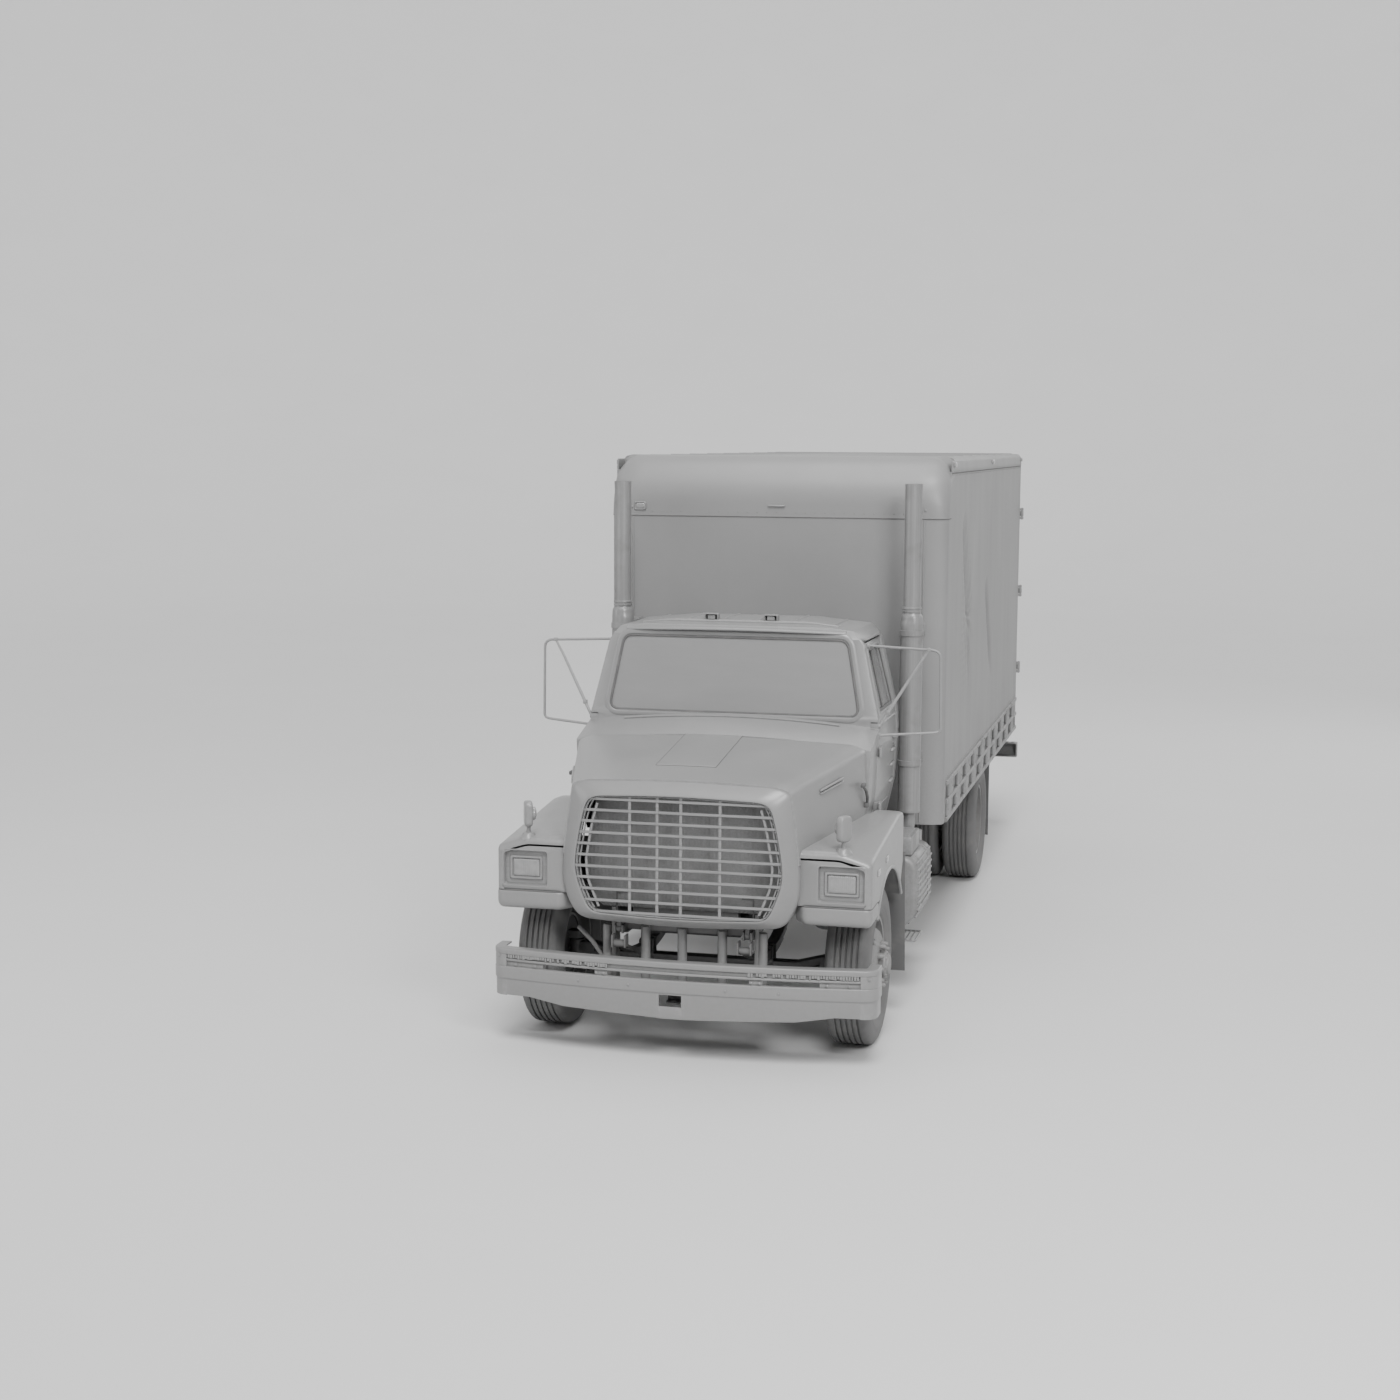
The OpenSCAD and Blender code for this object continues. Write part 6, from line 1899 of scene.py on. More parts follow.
class TRUCK_OT_wheels(bpy.types.Operator):
    """Six tyres with grooved treads, and the rims with their nuts, hub caps and valves"""
    bl_idname = "truck.wheels"
    bl_label = "Wheels"

    def execute(self, context):
        for name, side in SIDES.items():
            front, rear = "front_%s_wheel" % name, "rear_%s_wheels" % name
            tyre = Shape()
            tyre.grid(tyre_rows(side * 0.970, AXLE_F), round_u=True, round_v=True)
            piece = tyre.build("front_%s_tread" % name, front, "tyre", crease=40)
            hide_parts("front_%s_tyre" % name)
            pair = Shape()
            for x in (0.685, 1.000):
                pair.grid(tyre_rows(side * x, AXLE_R), round_u=True, round_v=True)
            piece = pair.build("rear_%s_treads" % name, rear, "tyre", crease=40)
            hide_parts("rear_%s_tyres" % name)
            softened("front_%s_rim" % name, "front_%s_wheel_rim" % name, "rim_steel", front, 0.0015, 1, 35)
            softened("rear_%s_rims" % name, "rear_%s_wheel_rims" % name, "rim_steel", rear, 0.0015, 1, 35)
            self.hub(name, side, front, 1.1060, AXLE_F, True)
            self.hub(name, side, rear, 0.8565, AXLE_R, False)
        return {"FINISHED"}

    def hub(self, name, side, body, face, y, front):
        shape = Shape()
        turn = ring(1, 10)
        spots = np.column_stack([np.full(10, side * face), y + turn[:, 0] * 0.128,
                                 TYRE_R + turn[:, 1] * 0.128])
        for spot in spots:
            profile = np.array([(-0.002, 0.021), (0.003, 0.021), (0.006, 0.0165), (0.020, 0.0165),
                                (0.026, 0.0135), (0.034, 0.0125), (0.040, 0.008), (0.042, 0.003)])
            turned(shape, profile * (side, 1) if side > 0 else (profile * (-1, 1))[::-1], spot, "x", 10)
        centre = (0.0, y, TYRE_R)
        if front:
            cap = np.array([(1.132, 0.0865), (1.140, 0.0870), (1.147, 0.084), (1.151, 0.066),
                            (1.156, 0.062), (1.163, 0.0615), (1.167, 0.055), (1.169, 0.030),
                            (1.1695, 0.006)])
            ring_r, ring_x, count = 0.075, 1.1475, 8
        else:
            cap = np.array([(1.015, 0.099), (1.024, 0.0995), (1.030, 0.096), (1.034, 0.060), (1.040, 0.052),
                            (1.043, 0.030), (1.044, 0.006)])
            ring_r, ring_x, count = 0.080, 1.0325, 8
        turned(shape, cap * (side, 1) if side > 0 else (cap * (-1, 1))[::-1], centre, "x", 40)
        turn = ring(ring_r, count)
        studs(shape, np.column_stack([np.full(count, side * ring_x), y + turn[:, 0], TYRE_R + turn[:, 1]]),
              0.0075, 0.008, "x", 6, side)
        kind = "front" if front else "rear"
        shape.build("%s_%s_wheel_nuts" % (kind, name), body, "rim_steel", crease=40)
        valve = Shape()
        x = side * (face + 0.012)
        tube(valve, [(side * (face - 0.02), y + 0.238, TYRE_R), (x, y + 0.232, TYRE_R),
                     (side * (face + 0.045), y + 0.212, TYRE_R)], [0.006, 0.005, 0.004], 8)
        valve.build("%s_%s_valve" % (kind, name), body, "flap_rubber")


# ---- tanks, stacks and chassis fittings ----------------------------------------------------------


class TRUCK_OT_tanks(bpy.types.Operator):
    """The fuel tanks with their ribs, straps, caps and brackets, and the steps round them"""
    bl_idname = "truck.tanks"
    bl_label = "Fuel tanks"

    def execute(self, context):
        y0, y1 = FRONT + 1.930, FRONT + 2.640
        corners = [(0.450, 0.420), (1.030, 0.420), (1.170, 0.560), (1.170, 0.955), (0.450, 0.955)]
        outline = fillet(corners, [0.10, 0.06, 0.06, 0.11, 0.10], 7, True)
        tank = Shape()
        edge = [(0, 0.030), (0.004, 0.016), (0.012, 0.006), (0.026, 0.0)]
        levels = [(y0 + d, i) for d, i in edge] + [(y1 - d, i) for d, i in edge[::-1]]
        tank.grid(stack(outline, levels, "y"), round_v=True, caps=True)
        for z in np.arange(0.500, 0.910, 0.045):
            x = min(1.170, 0.610 + z) - (0.012 if z > 0.88 else 0.0)
            tube(tank, [(x, y0 + 0.030, z), (x, y0 + 0.036, z), (x, y1 - 0.036, z), (x, y1 - 0.030, z)],
                 [0.004, 0.0095, 0.0095, 0.004], 10)
        turned(tank, [(0.950, 0.052), (0.958, 0.052), (0.960, 0.046), (0.985, 0.045), (0.990, 0.040),
                      (0.990, 0.012), (1.000, 0.010)],
               (0.760, y1 - 0.10, 0), "z", 24)
        tank.mirrored()
        piece = tank.build("fuel_tank_shells", "chassis", "tank_metal", crease=38)
        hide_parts("fuel_tanks")
        straps = Shape()
        for y in (y0 + 0.170, y1 - 0.160):
            band = [(-0.001, -0.026), (0.0045, -0.024), (0.0055, 0.0), (0.0045, 0.024), (-0.001, 0.026)]
            rim(straps, outline, band, lambda p, d,
                y=y: np.column_stack([p[:, 0], np.full(len(p), y + d), p[:, 1]]))
            block(straps, (0.431, y - 0.030, 0.760), (0.470, y + 0.030, 0.960), 0.004, 0.006)
        straps.mirrored()
        straps.build("fuel_tank_straps", "chassis", "rail_metal")
        steps = Shape()
        block(steps, (0.880, FRONT + 1.990, 0.956), (1.120, FRONT + 2.370, 1.080), 0.006, 0.014)
        block(steps, (0.985, FRONT + 2.600, 0.870), (1.090, FRONT + 2.720, 1.010), 0.006, 0.012)
        for y in np.arange(FRONT + 2.015, FRONT + 2.350, 0.028):
            block(steps, (0.900, y, 1.079), (1.100, y + 0.012, 1.0845), 0.002, 0.005)
        rung = [(0.962, FRONT + 1.951, 0.430), (0.962, FRONT + 1.951, 0.381), (1.150, FRONT + 1.951, 0.381),
                (1.158, FRONT + 1.960, 0.381),
                (1.158, FRONT + 2.242, 0.381), (1.150, FRONT + 2.251, 0.381), (0.962, FRONT + 2.251, 0.381),
                (0.962, FRONT + 2.251, 0.430)]
        tube(steps, fillet(rung, [0, 0.02, 0.01, 0.01, 0.01, 0.01, 0.02, 0], 4), 0.0075, 10)
        for x in np.arange(0.990, 1.150, 0.032):
            block(steps, (x, FRONT + 1.955, 0.378), (x + 0.010, FRONT + 2.248, 0.386), 0.002, 0.003)
        studs(steps, [(0.985 + dx, FRONT + 2.599, z) for dx in (0.015, 0.090) for z in (0.885, 0.995)],
              0.006, 0.004, "y", 6, -1)
        steps.mirrored()
        steps.build("tank_steps", "chassis", "tank_metal", crease=38)
        return {"FINISHED"}


class TRUCK_OT_stacks(bpy.types.Operator):
    """The upright exhausts: muffler, dented shoulder, double collar, open pipe, clamps and elbows"""
    bl_idname = "truck.stacks"
    bl_label = "Exhaust stacks"

    def execute(self, context):
        shape = Shape()
        x, y = 1.030, FRONT + 2.450
        self.pipe(shape, x, y)
        bend = [(x, y, 1.178), (x, y, 1.120), (x, y, 1.055), (x - 0.080, y, 1.055), (x - 0.20, y, 1.055),
                (0.020, y, 1.055)]
        tube(shape, fillet(bend, [0, 0.03, 0.11, 0.03, 0.03, 0], 9), 0.0445, 28, caps=False)
        for z in (1.520, 2.420):
            turned(shape, [(z - 0.020, 0.0780), (z - 0.018, 0.0825), (z + 0.018, 0.0825),
                           (z + 0.020, 0.0780)], (x, y, 0), "z", 40)
            block(shape, (x - 0.018, y + 0.072, z - 0.018), (x + 0.018, BODY_Y0 - 0.004, z + 0.018), 0.003,
                  0.006)
            block(shape, (x - 0.045, BODY_Y0 - 0.008, z - 0.040), (x + 0.045, BODY_Y0 - 0.001, z + 0.040),
                  0.002, 0.008, "y")
            studs(shape, [(x + dx, BODY_Y0 - 0.008, z + dz) for dx in (-0.032, 0.032)
                          for dz in (-0.028, 0.028)], 0.006, 0.005, "y", 6, -1)
        shape.mirrored()
        lead = [(-0.270, FRONT + 1.095, 1.130), (-0.270, FRONT + 1.6, 1.130), (-0.270, y - 0.10, 1.130),
                (-0.270, y, 1.090), (-0.270, y, 1.060)]
        tube(shape, fillet(lead, [0, 0.05, 0.05, 0.05, 0], 6), 0.0395, 24)
        piece = shape.build("exhaust_pipes", "chassis", "stack_metal", crease=38)
        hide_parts("exhaust_stacks")
        return {"FINISHED"}

    def pipe(self, shape, x, y):
        """radius(z, angle) = the turned profile, less a hollow of 7 mm at the shoulder's front."""
        profile = np.array([
            (1.166, 0.046), (1.172, 0.070), (1.176, 0.077), (1.186, 0.0795), (1.196, 0.077),
            (1.210, 0.0765), (1.600, 0.0768),
            (2.100, 0.0770), (2.400, 0.0770), (2.440, 0.0775), (2.470, 0.0775), (2.486, 0.0790),
            (2.496, 0.0780), (2.508, 0.0770),
            (2.524, 0.0755), (2.536, 0.0725), (2.547, 0.0660), (2.556, 0.0600), (2.560, 0.0600),
            (2.563, 0.0650), (2.574, 0.0660),
            (2.578, 0.0615), (2.582, 0.0615), (2.586, 0.0660), (2.597, 0.0650), (2.600, 0.0592),
            (2.640, 0.0588), (3.000, 0.0587),
            (3.380, 0.0587), (3.410, 0.0592), (3.428, 0.0600), (3.437, 0.0600), (3.437, 0.0555),
            (3.420, 0.0550), (3.150, 0.0545)])
        angle = np.linspace(0, 2 * math.pi, 48, endpoint=False)
        z = profile[:, :1]
        hollow = 0.007 * np.exp(-(((z - 2.515) / 0.030) ** 2)) * np.clip(np.cos(angle + 2.2), 0, 1) ** 2
        crumple = 0.0025 * np.exp(-(((z - 2.49) / 0.05) ** 2)) * np.sin(5 * angle)
        radius = profile[:, 1:] - hollow + np.minimum(crumple, 0)
        rows = np.stack([x + radius * np.cos(angle), y + radius * np.sin(angle),
                         np.broadcast_to(z, radius.shape)], axis=-1)
        shape.grid(rows, round_v=True, caps=True)


class TRUCK_OT_chassis_fittings(bpy.types.Operator):
    """Spring clamps, shackles, rail bolts, the air tank and hoses under the truck"""
    bl_idname = "truck.chassis_fittings"
    bl_label = "Chassis fittings"

    def execute(self, context):
        shape = Shape()
        for x0, x1, axle, low, high, reach in ((0.350, 0.430, AXLE_F, 0.462, 0.580, 0.040),
                                               (0.437, 0.523, AXLE_R, 0.500, 0.672, 0.048)):
            for s in (-1, 1):
                y = axle + s * reach
                path = [(x0, y, low), (x0, y, high), (x1, y, high), (x1, y, low)]
                tube(shape, fillet(path, [0, 0.02, 0.02, 0], 5), 0.0075, 8)
            spots = [(x, axle + s * reach, low - 0.001) for x in (x0, x1) for s in (-1, 1)]
            studs(shape, spots, 0.012, 0.012, "z", 6, -1)
        for axle, half, z, x in ((AXLE_F, 0.650, 0.690, 0.356), (AXLE_R, 0.680, 0.763, 0.530)):
            spots = [(x + 0.0, axle + s * half, z) for s in (-1, 1)]
            studs(shape, np.array(spots) + (0.078 if axle == AXLE_F else 0.0, 0, 0), 0.016, 0.010, "x", 8,
                  1)
        ys = np.concatenate([np.arange(FRONT + 1.55, FRONT + 1.86, 0.10),
                             np.arange(FRONT + 2.75, FRONT + 5.2, 0.245),
                             np.arange(FRONT + 6.95, FRONT + 8.1, 0.20)])
        studs(shape, [(0.4300, y, z) for y in ys for z in (0.790, 0.965)], 0.009, 0.008, "x", 6, 1)
        for y in (FRONT + 3.05, FRONT + 3.65, FRONT + 4.25, FRONT + 7.1, FRONT + 7.7):
            block(shape, (0.431, y, 0.930), (0.445, y + 0.080, 1.020), 0.002, 0.006)
        shape.mirrored()
        shape.build("chassis_bolts", "chassis", "cast_metal", crease=40)
        air = Shape()
        ends = [(0.0, 0.02), (0.006, 0.07), (0.022, 0.100), (0.045, 0.113), (0.070, 0.115)]
        length = 0.78
        profile = np.array(ends + [(length - d, r) for d, r in ends[::-1]])
        turned(air, profile + (FRONT + 3.02, 0), (-0.570, 0, 0.800), "y", 36)
        for y in (FRONT + 3.17, FRONT + 3.62):
            turned(air, [(y, 0.116), (y + 0.001, 0.1185), (y + 0.029, 0.1185), (y + 0.030, 0.116)],
                   (-0.570, 0, 0.800), "y", 36)
            block(air, (-0.470, y, 0.880), (-0.431, y + 0.030, 0.950), 0.003, 0.005)
        air.build("air_tank", "chassis", "chassis_paint", crease=38)
        lines = Shape()
        for i, z in enumerate((0.905, 0.885)):
            run = [(-0.418, FRONT + 3.0, z), (-0.418, AXLE_R - 0.90, z),
                   (-0.30, AXLE_R - 0.62, z - 0.06 - 0.02 * i), (-0.16 - 0.03 * i, AXLE_R - 0.17, 0.665)]
            tube(lines, fillet(run, [0, 0.2, 0.2, 0], 8), 0.007, 8)
        lines.build("air_lines", "chassis", "flap_rubber")
        return {"FINISHED"}


# ---- inside the cab ------------------------------------------------------------------------------


def crowned_pad(shape, low, high, crown, axis, steps=26):
    """A closed pad over a box: both broad faces rise by crown * (1 - u^4)(1 - v^4) above a rim that is
    drawn in between its corners, and the sides bulge by a half circle."""
    low, high = np.array(low, float), np.array(high, float)
    first, second, along = AXES[axis]
    u, v = np.meshgrid(np.linspace(-1, 1, steps), np.linspace(-1, 1, steps), indexing="ij")
    half = (high - low) / 2
    middle = (high + low) / 2
    squeeze = 1 - 0.03 * (1 - v**2)
    rise = (1 - u**4) * (1 - v**4)
    top = np.empty(u.shape + (3,))
    top[..., first] = middle[first] + half[first] * u * squeeze * 0.97
    top[..., second] = middle[second] + half[second] * v * (1 - 0.03 * (1 - u**2)) * 0.97
    bottom = top.copy()
    top[..., along] = high[along] - crown + crown * rise
    bottom[..., along] = low[along] + 0.2 * crown - 0.2 * crown * rise
    shape.grid(top)
    shape.grid(bottom[::-1])
    edge = lambda p: np.concatenate([p[0, :-1], p[:-1, -1], p[-1, :0:-1], p[:0:-1, 0]])
    a, b = edge(top), edge(bottom)
    rows = []
    for t in np.linspace(0, 1, 7):
        row = a * (1 - t) + b * t
        bulge = 1 + 0.03 * math.sin(math.pi * t)
        row[:, first] = middle[first] + (row[:, first] - middle[first]) * bulge
        row[:, second] = middle[second] + (row[:, second] - middle[second]) * bulge
        rows.append(row)
    return shape.grid(np.array(rows), round_v=True)


def puffed(piece, voxel, pressure, cap):
    """Remeshes a pad, blows it up as cloth for twenty frames and keeps each corner within cap of its
    start."""
    scene = bpy.context.scene
    remesh = piece.modifiers.new("even mesh", "REMESH")
    remesh.mode = "VOXEL"
    remesh.voxel_size = voxel
    apply_modifiers(piece)
    count = len(piece.data.vertices)
    start = np.empty(count * 3)
    piece.data.vertices.foreach_get("co", start)
    cloth = piece.modifiers.new("cloth", "CLOTH")
    cloth.settings.use_pressure = True
    cloth.settings.uniform_pressure_force = pressure
    cloth.settings.effector_weights.gravity = 0.0
    cloth.settings.quality = 4
    for number in range(1, 21):
        scene.frame_set(number)
    apply_modifiers(piece)
    scene.frame_set(1)
    moved = np.empty(count * 3)
    piece.data.vertices.foreach_get("co", moved)
    shift = (moved - start).reshape(-1, 3)
    length = np.linalg.norm(shift, axis=1, keepdims=True)
    shift *= np.minimum(1, cap / np.maximum(length, 1e-9))
    piece.data.vertices.foreach_set("co", (start.reshape(-1, 3) + shift).ravel())
    smooth = piece.modifiers.new("smooth", "SUBSURF")
    smooth.levels = smooth.render_levels = 1
    apply_modifiers(piece)


class TRUCK_OT_seats(bpy.types.Operator):
    """Two sprung seats: puffed cloth cushions and backs on pressed steel bases"""
    bl_idname = "truck.seats"
    bl_label = "Seats"

    def execute(self, context):
        low, high = span("seats")
        for side, name in ((1, "driver"), (-1, "passenger")):
            x = side * 0.450
            for part, a, b, axis in (
                ("cushion", (x - 0.243, low[1] + 0.008, 1.447), (x + 0.243, high[1] - 0.115, 1.575), "z"),
                ("back", (x - 0.240, high[1] - 0.102, 1.590), (x + 0.240, high[1] - 0.008, high[2] - 0.010),
                 "y"),
            ):
                self.pad(name + "_seat_" + part, a, b, axis)
        base = Shape()
        for x in (-0.450, 0.450):
            block(base, (x - 0.205, low[1] + 0.045, low[2] + 0.002), (x + 0.205, high[1] - 0.105, 1.300),
                  0.006, 0.030)
            block(base, (x - 0.175, low[1] + 0.075, 1.300), (x + 0.175, high[1] - 0.135, 1.425), 0.010,
                  0.030)
            block(base, (x - 0.235, low[1] + 0.010, 1.425), (x + 0.235, high[1] - 0.110, 1.446), 0.005,
                  0.020)
            tube(base, [(x + 0.215, low[1] + 0.10, 1.400), (x + 0.245, low[1] + 0.04, 1.395)], 0.007, 8)
        piece = base.build("seat_bases", "chassis", "chassis_paint")
        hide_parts("seats")
        return {"FINISHED"}

    def pad(self, name, low, high, axis):
        shape = crowned_pad(Shape(), low, high, 0.028, axis)
        piece = shape.build(name, "chassis", "seat_cloth", crease=60)
        puffed(piece, 0.011, 4.0, 0.005)
        smooth_below(piece, 60)
        finish(piece, "chassis", "seat_cloth")
        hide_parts("seats")
        self.piping(name, low, high, axis)

    def piping(self, name, low, high, axis):
        """A welt sewn round the pad's upper rim."""
        first, second, along = AXES[axis]
        face = high[along] if axis == "z" else low[along]
        sign = 1 if axis == "z" else -1
        outline = rounded_box((low[first] + 0.020, low[second] + 0.020),
                              (high[first] - 0.020, high[second] - 0.020), 0.03, 5)
        shape = Shape()
        path = np.empty((len(outline) + 1, 3))
        loop = np.vstack([outline, outline[:1]])
        path[:, first], path[:, second] = loop[:, 0], loop[:, 1]
        path[:, along] = face - sign * 0.022
        tube(shape, path, 0.0045, 8, caps=False)
        shape.build(name + "_welt", "chassis", "seat_cloth")


class TRUCK_OT_cockpit(bpy.types.Operator):
    """The steering wheel, dials, vents, glove box, pedals and lever"""
    bl_idname = "truck.cockpit"
    bl_label = "Cockpit"

    def execute(self, context):
        self.wheel()
        self.panel()
        self.controls()
        return {"FINISHED"}

    def wheel(self):
        """The rim's tube has 36 finger ridges underneath: radius = 13 + 1 * cos(36 * angle) mm."""
        shape = Shape()
        centre = np.array((0.450, FRONT + 1.710, 1.840))
        tilt = math.radians(-45)
        turn = np.array([[1, 0, 0], [0, math.cos(tilt), -math.sin(tilt)],
                         [0, math.sin(tilt), math.cos(tilt)]])
        angle = np.linspace(0, 2 * math.pi, 144, endpoint=False)[:, None]
        around = np.linspace(0, 2 * math.pi, 12, endpoint=False)[None, :]
        thick = 0.0125 + 0.0011 * np.cos(36 * angle) * (np.sin(around) < 0)
        out = 0.218 + thick * np.cos(around)
        p = np.stack([out * np.cos(angle), out * np.sin(angle), thick * np.sin(around)], axis=-1)
        shape.grid(p @ turn.T + centre, round_u=True, round_v=True)
        hub = np.array([(-0.034, 0.034), (-0.030, 0.040), (0.004, 0.042), (0.012, 0.040), (0.016, 0.030),
                        (0.015, 0.024), (0.012, 0.022), (0.012, 0.004)])
        c = ring(1, 32)
        rows = np.stack([np.column_stack([hub_r * c[:, 0], hub_r * c[:, 1], np.full(32, h)]) for h,
                         hub_r in hub])
        shape.grid(rows @ turn.T + centre, round_v=True, caps=True)
        for spoke in np.radians((90, 210, 330)):
            r = np.linspace(0.030, 0.212, 6)
            ends = []
            for reach, width in zip(r, (0.016, 0.013, 0.0105, 0.0095, 0.0095, 0.0105)):
                o = round_section(width * 2, 0.010, 10)
                local = np.column_stack([np.full(10, reach), o[:, 0], o[:, 1] - 0.003])
                spin = np.array([[math.cos(spoke), -math.sin(spoke), 0],
                                 [math.sin(spoke), math.cos(spoke), 0], [0, 0, 1]])
                ends.append(local @ spin.T)
            shape.grid(np.array(ends) @ turn.T + centre, round_v=True, caps=True)
        piece = shape.build("wheel_grip", "steering_wheel", "cab_plastic", crease=45)
        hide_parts("steering_wheel")

    def panel(self):
        bezels = Shape()
        faces = Shape()
        a, b = np.array((0, FRONT + 1.530, 1.828)), np.array((0, FRONT + 1.560, 1.780))
        down = unit(b - a)
        out = np.cross(np.array((1.0, 0, 0)), down)
        out = out if out[1] > 0 else -out
        middle = (a + b) / 2 + out * 0.001
        for i, x in enumerate((0.27, 0.33, 0.39, 0.45, 0.51, 0.57, 0.63)):
            c = ring(1, 20)
            at = middle + (x, 0, 0)
            for shape, levels in ((bezels, [(0.026, 0.0), (0.026, 0.003), (0.0235, 0.005), (0.0215, 0.003),
                                            (0.0215, 0.0)]), (faces, [(0.0215, 0.0), (0.021, 0.0015),
                                                                      (0.002, 0.0018)])):
                rows = [at + r * (c[:, :1] * np.array((1.0, 0, 0)) + c[:, 1:] * down) + out * h for r,
                        h in levels]
                shape.grid(np.array(rows), round_v=True, caps=True)
        bezels.build("dial_rims", "chassis", "grille_metal")
        faces.build("dial_faces", "chassis", "lamp_lens")
        trim = Shape()
        for x in (-0.70, -0.12, 0.12, 0.70):
            for i in range(5):
                z = 1.700 + i * 0.012
                y = FRONT + 1.500 + (z - 1.640) * 0.060 / 0.140
                block(trim, (x - 0.055, y - 0.004, z), (x + 0.055, y + 0.007, z + 0.005), 0.001, 0.002)
        locker = rounded_box((-0.62, 1.665), (-0.24, 1.762), 0.012, 4)
        rows = [(x, FRONT + 1.500 + (z - 1.640) * 0.4286 + 0.004, z) for x, z in locker]
        tube(trim, np.array(rows + rows[:1]), 0.003, 6, caps=False)
        trim.build("dash_trim", "chassis", "cab_plastic")

    def controls(self):
        shape = Shape()
        floor_z = 1.245
        for x, wide in ((0.30, 0.030), (0.44, 0.038), (0.58, 0.026)):
            y = FRONT + 1.400
            tube(shape, fillet([(x, y - 0.13, 1.50), (x, y - 0.05, 1.40), (x, y, 1.36)], [0, 0.04, 0], 5),
                 0.008, 8)
            block(shape, (x - wide, y - 0.008, 1.320), (x + wide, y + 0.010, 1.385), 0.003, 0.008, "y")
        lever = [(0.02, FRONT + 1.60, floor_z + 0.01), (0.03, FRONT + 1.62, 1.45),
                 (0.06, FRONT + 1.68, 1.62), (0.06, FRONT + 1.70, 1.70)]
        tube(shape, fillet(lever, [0, 0.1, 0.05, 0], 6), 0.0085, 10)
        turned(shape, [(1.690, 0.008), (1.698, 0.018), (1.712, 0.025), (1.728, 0.025), (1.740, 0.018),
                       (1.744, 0.006)], (0.06, FRONT + 1.70, 0), "z", 20)
        turned(shape, [(1.245, 0.075), (1.262, 0.070), (1.270, 0.055), (1.282, 0.052), (1.290, 0.036),
                       (1.302, 0.034), (1.330, 0.016)], (0.022, FRONT + 1.605, 0), "z", 24)
        for side in (1, -1):
            block(shape, (side * 0.42 - 0.20, FRONT + 1.615, 2.395),
                  (side * 0.42 + 0.20, FRONT + 1.760, 2.412), 0.005, 0.030)
        shape.build("cab_controls", "chassis", "cab_plastic")


# ---- the stage -----------------------------------------------------------------------------------


class TRUCK_OT_stage(bpy.types.Operator):
    """The floor, the soft lights, the sky and the camera"""
    bl_idname = "truck.stage"
    bl_label = "Stage"

    def execute(self, context):
        stage = context.scene.truck_stage
        self.floor(stage)
        self.lights()
        self.sky(stage)
        self.camera(context, stage)
        return {"FINISHED"}

    def floor(self, stage):
        """A wide disc whose rim rises out of sight: height = (distance past the flat part)^2 / (4 * rise)."""
        radius = np.linspace(0, 110, 56)[:, None]
        angle = np.linspace(0, 2 * math.pi, 96, endpoint=False)[None, :]
        height = np.maximum(radius - 30, 0) ** 2 / 60 + 0 * angle
        p = np.stack([radius * np.cos(angle), radius * np.sin(angle), height - 0.001], axis=-1)
        shape = Shape().grid(p, round_v=True)
        mesh = bpy.data.meshes.new("floor")
        mesh.from_pydata(np.vstack(shape.points).tolist(), [], shape.faces)
        mesh.polygons.foreach_set("use_smooth", [True] * len(mesh.polygons))
        floor = bpy.data.objects.new("floor", mesh)
        bpy.context.collection.objects.link(floor)
        s = Shader("floor", (stage.floor_shade,) * 3, 0.75)
        cloud = s.noise(0.5, 4)
        s.set("Base Color", s.mix(cloud, grey(stage.floor_shade * 0.97), grey(stage.floor_shade * 1.02)))
        floor.data.materials.append(s.material)

    def lights(self):
        """Three wide suns that reach the whole floor evenly, and four soft panels that show in the paint."""
        for name, place, strength in (("key", (2.4, -10.0, 15.5), 2.9), ("side", (14.0, 7.0, 8.0), 0.6),
                                      ("rear", (-9.0, 13.0, 9.0), 0.7)):
            data = bpy.data.lights.new(name, "SUN")
            data.energy = strength
            data.angle = math.radians(20)
            light = bpy.data.objects.new(name, data)
            bpy.context.collection.objects.link(light)
            aim(light, place, (0.0, 0.0, 0.0))
        panels = (
            ("key panel", (6.5, -12.0, 7.5), (0.2, -2.8, 1.6), 3.2, 900.0),
            ("fill panel", (-9.0, -9.0, 5.0), (0.0, -1.0, 1.5), 5.0, 200.0),
            ("top panel", (0.0, -1.0, 10.0), (0.0, 0.0, 0.0), 5.0, 320.0),
            ("back panel", (7.0, 12.0, 7.0), (0.0, 2.0, 1.5), 5.0, 200.0),
        )
        for name, place, target, size, power in panels:
            data = bpy.data.lights.new(name, "AREA")
            data.size = size
            data.energy = power
            light = bpy.data.objects.new(name, data)
            bpy.context.collection.objects.link(light)
            aim(light, place, target)

    def sky(self, stage):
        world = bpy.data.worlds.new("studio")
        world.use_nodes = True
        background = world.node_tree.nodes["Background"]
        background.inputs[0].default_value = (*(stage.sky_shade,) * 3, 1)
        background.inputs[1].default_value = stage.sky_strength
        bpy.context.scene.world = world

    def camera(self, context, stage):
        """A camera at stage.eye, turned by the bearing, the fall and the roll."""
        data = bpy.data.cameras.new("camera")
        data.lens = stage.lens
        data.clip_end = 200
        camera = bpy.data.objects.new("camera", data)
        context.collection.objects.link(camera)
        camera.location = stage.eye
        camera.rotation_euler = (math.radians(90 - stage.fall), math.radians(-stage.roll),
                                 math.radians(stage.bearing))
        context.scene.camera = camera


def aim(thing, place, target):
    """Turns a light at place towards target."""
    from mathutils import Vector

    thing.location = place
    thing.rotation_euler = (Vector(target) - Vector(place)).to_track_quat("-Z", "Y").to_euler()


# ---- settings, panel and run ---------------------------------------------------------------------


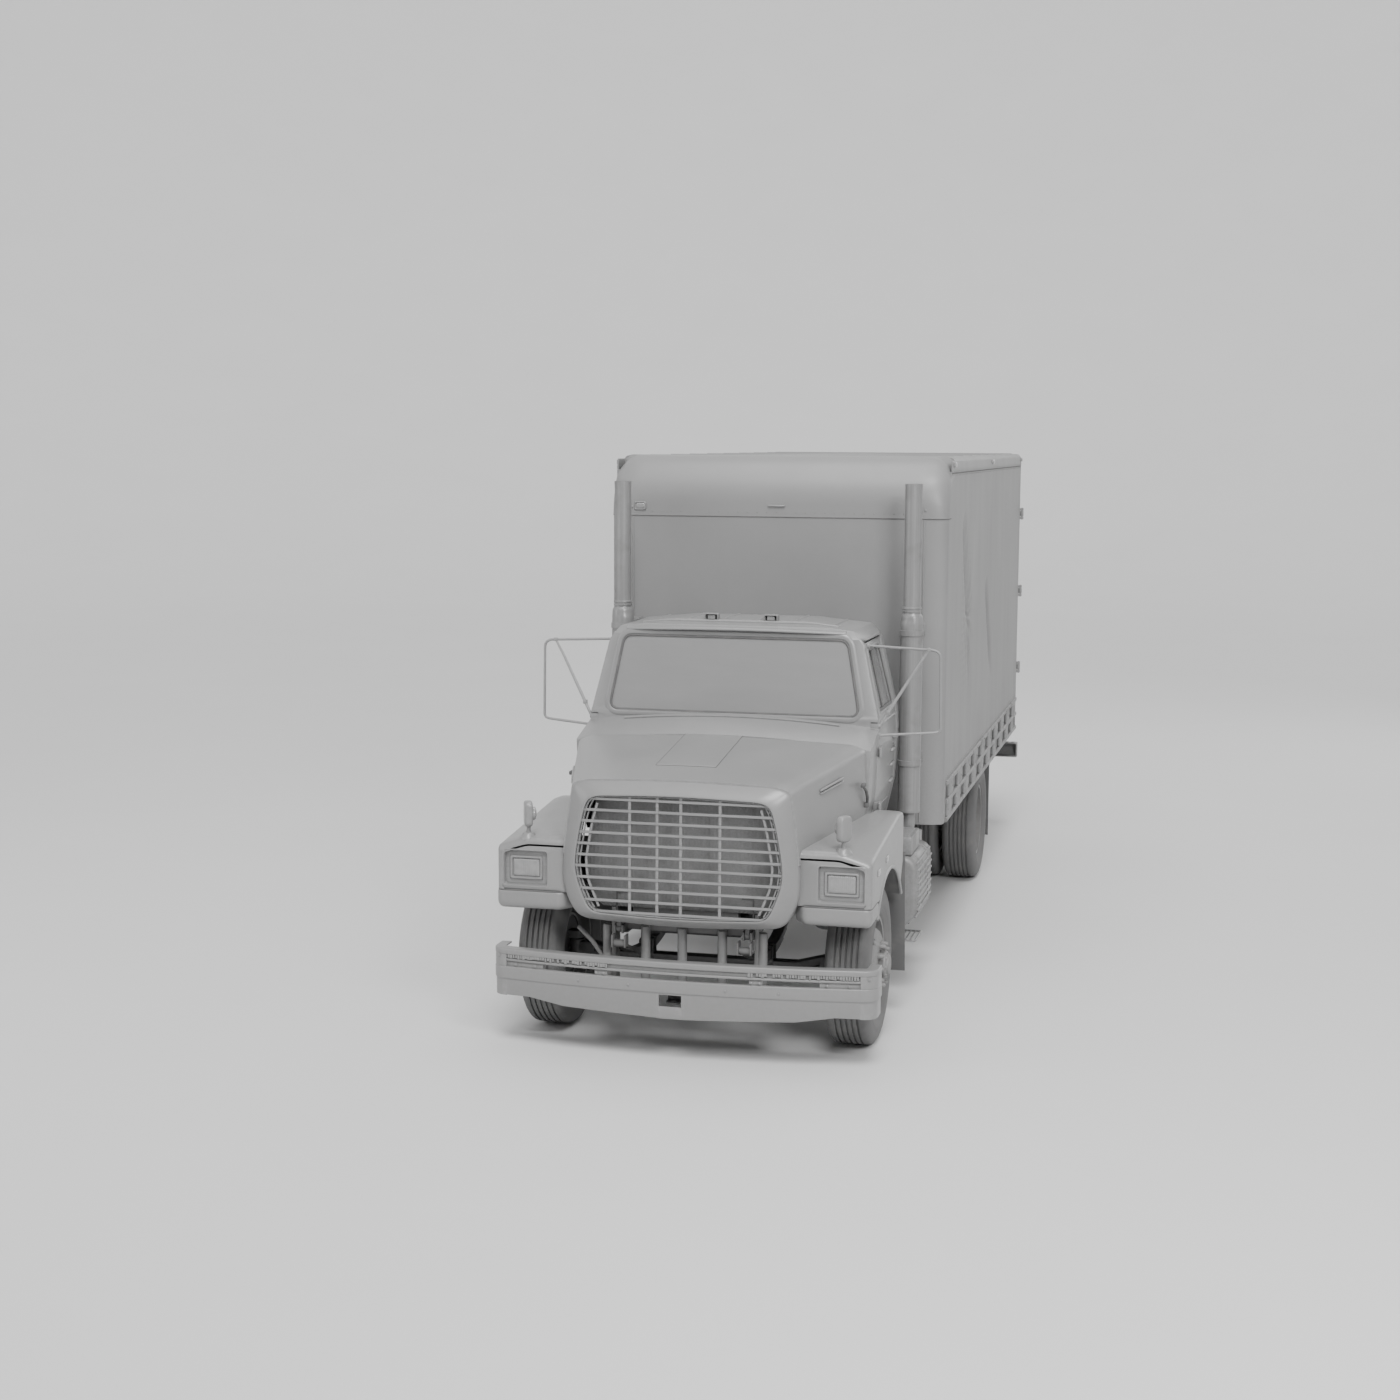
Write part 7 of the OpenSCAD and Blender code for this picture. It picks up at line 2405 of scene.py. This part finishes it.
class TruckColours(bpy.types.PropertyGroup):
    body: bpy.props.FloatProperty(name="Body", description="Grey of the cab and cargo body", default=0.20,
                                  min=0, max=1)
    steel: bpy.props.FloatProperty(name="Steel", description="Grey of bare metal", default=0.21, min=0,
                                   max=1)
    chassis: bpy.props.FloatProperty(name="Chassis", description="Grey of the frame", default=0.10, min=0,
                                     max=1)
    lens: bpy.props.FloatProperty(name="Lenses", description="Grey of the lamp lenses", default=0.23, min=0,
                                  max=1)
    glass: bpy.props.FloatProperty(name="Glass", description="Grey of the windows", default=0.23, min=0,
                                   max=1)
    tyre: bpy.props.FloatProperty(name="Tyres", description="Grey of the rubber", default=0.115, min=0,
                                  max=1)


class TruckStage(bpy.types.PropertyGroup):
    eye: bpy.props.FloatVectorProperty(
        name="Eye", description="Where the camera stands", default=(3.078, -16.127, 3.721),
        subtype="TRANSLATION")
    bearing: bpy.props.FloatProperty(name="Bearing", description="Turn of the view, in degrees",
                                     default=13.829)
    fall: bpy.props.FloatProperty(name="Fall", description="How far the view points down, in degrees",
                                  default=6.974)
    roll: bpy.props.FloatProperty(name="Roll", description="Lean of the view, in degrees", default=0.304)
    lens: bpy.props.FloatProperty(name="Lens", description="Focal length for a 36 mm frame", default=54.49)
    floor_shade: bpy.props.FloatProperty(name="Floor", description="Grey of the floor", default=0.62, min=0,
                                         max=1)
    sky_shade: bpy.props.FloatProperty(name="Sky", description="Grey of the surroundings", default=0.8,
                                       min=0, max=1)
    sky_strength: bpy.props.FloatProperty(name="Sky light", description="Strength of the soft light",
                                          default=0.52)


OPERATORS = (
    TRUCK_OT_stage,
    TRUCK_OT_cad_finishes,
    TRUCK_OT_hood,
    TRUCK_OT_grille,
    TRUCK_OT_radiator,
    TRUCK_OT_fenders,
    TRUCK_OT_lamps,
    TRUCK_OT_bumper,
    TRUCK_OT_cab,
    TRUCK_OT_doors,
    TRUCK_OT_cargo_front,
    TRUCK_OT_cargo_sides,
    TRUCK_OT_cargo_rear,
    TRUCK_OT_wheels,
    TRUCK_OT_tanks,
    TRUCK_OT_stacks,
    TRUCK_OT_chassis_fittings,
    TRUCK_OT_seats,
    TRUCK_OT_cockpit,
)


class TRUCK_PT_panel(bpy.types.Panel):
    bl_label = "Box truck"
    bl_idname = "TRUCK_PT_panel"
    bl_space_type = "VIEW_3D"
    bl_region_type = "UI"
    bl_category = "Truck"

    def draw(self, context):
        for group in (context.scene.truck_colours, context.scene.truck_stage):
            box = self.layout.box()
            for name in group.bl_rna.properties.keys():
                if name not in ("rna_type", "name"):
                    box.prop(group, name)
        for cls in OPERATORS:
            self.layout.operator(cls.bl_idname)


def register():
    for cls in (TruckColours, TruckStage, *OPERATORS, TRUCK_PT_panel):
        bpy.utils.register_class(cls)
    bpy.types.Scene.truck_colours = bpy.props.PointerProperty(type=TruckColours)
    bpy.types.Scene.truck_stage = bpy.props.PointerProperty(type=TruckStage)


def unregister():
    del bpy.types.Scene.truck_stage
    del bpy.types.Scene.truck_colours
    for cls in (TRUCK_PT_panel, *reversed(OPERATORS), TruckStage, TruckColours):
        bpy.utils.unregister_class(cls)


def main():
    """Builds everything."""
    register()
    make_materials(bpy.context.scene.truck_colours)
    for cls in OPERATORS:
        getattr(bpy.ops.truck, cls.bl_idname.split(".")[1])()


if __name__ == "__main__":
    main()
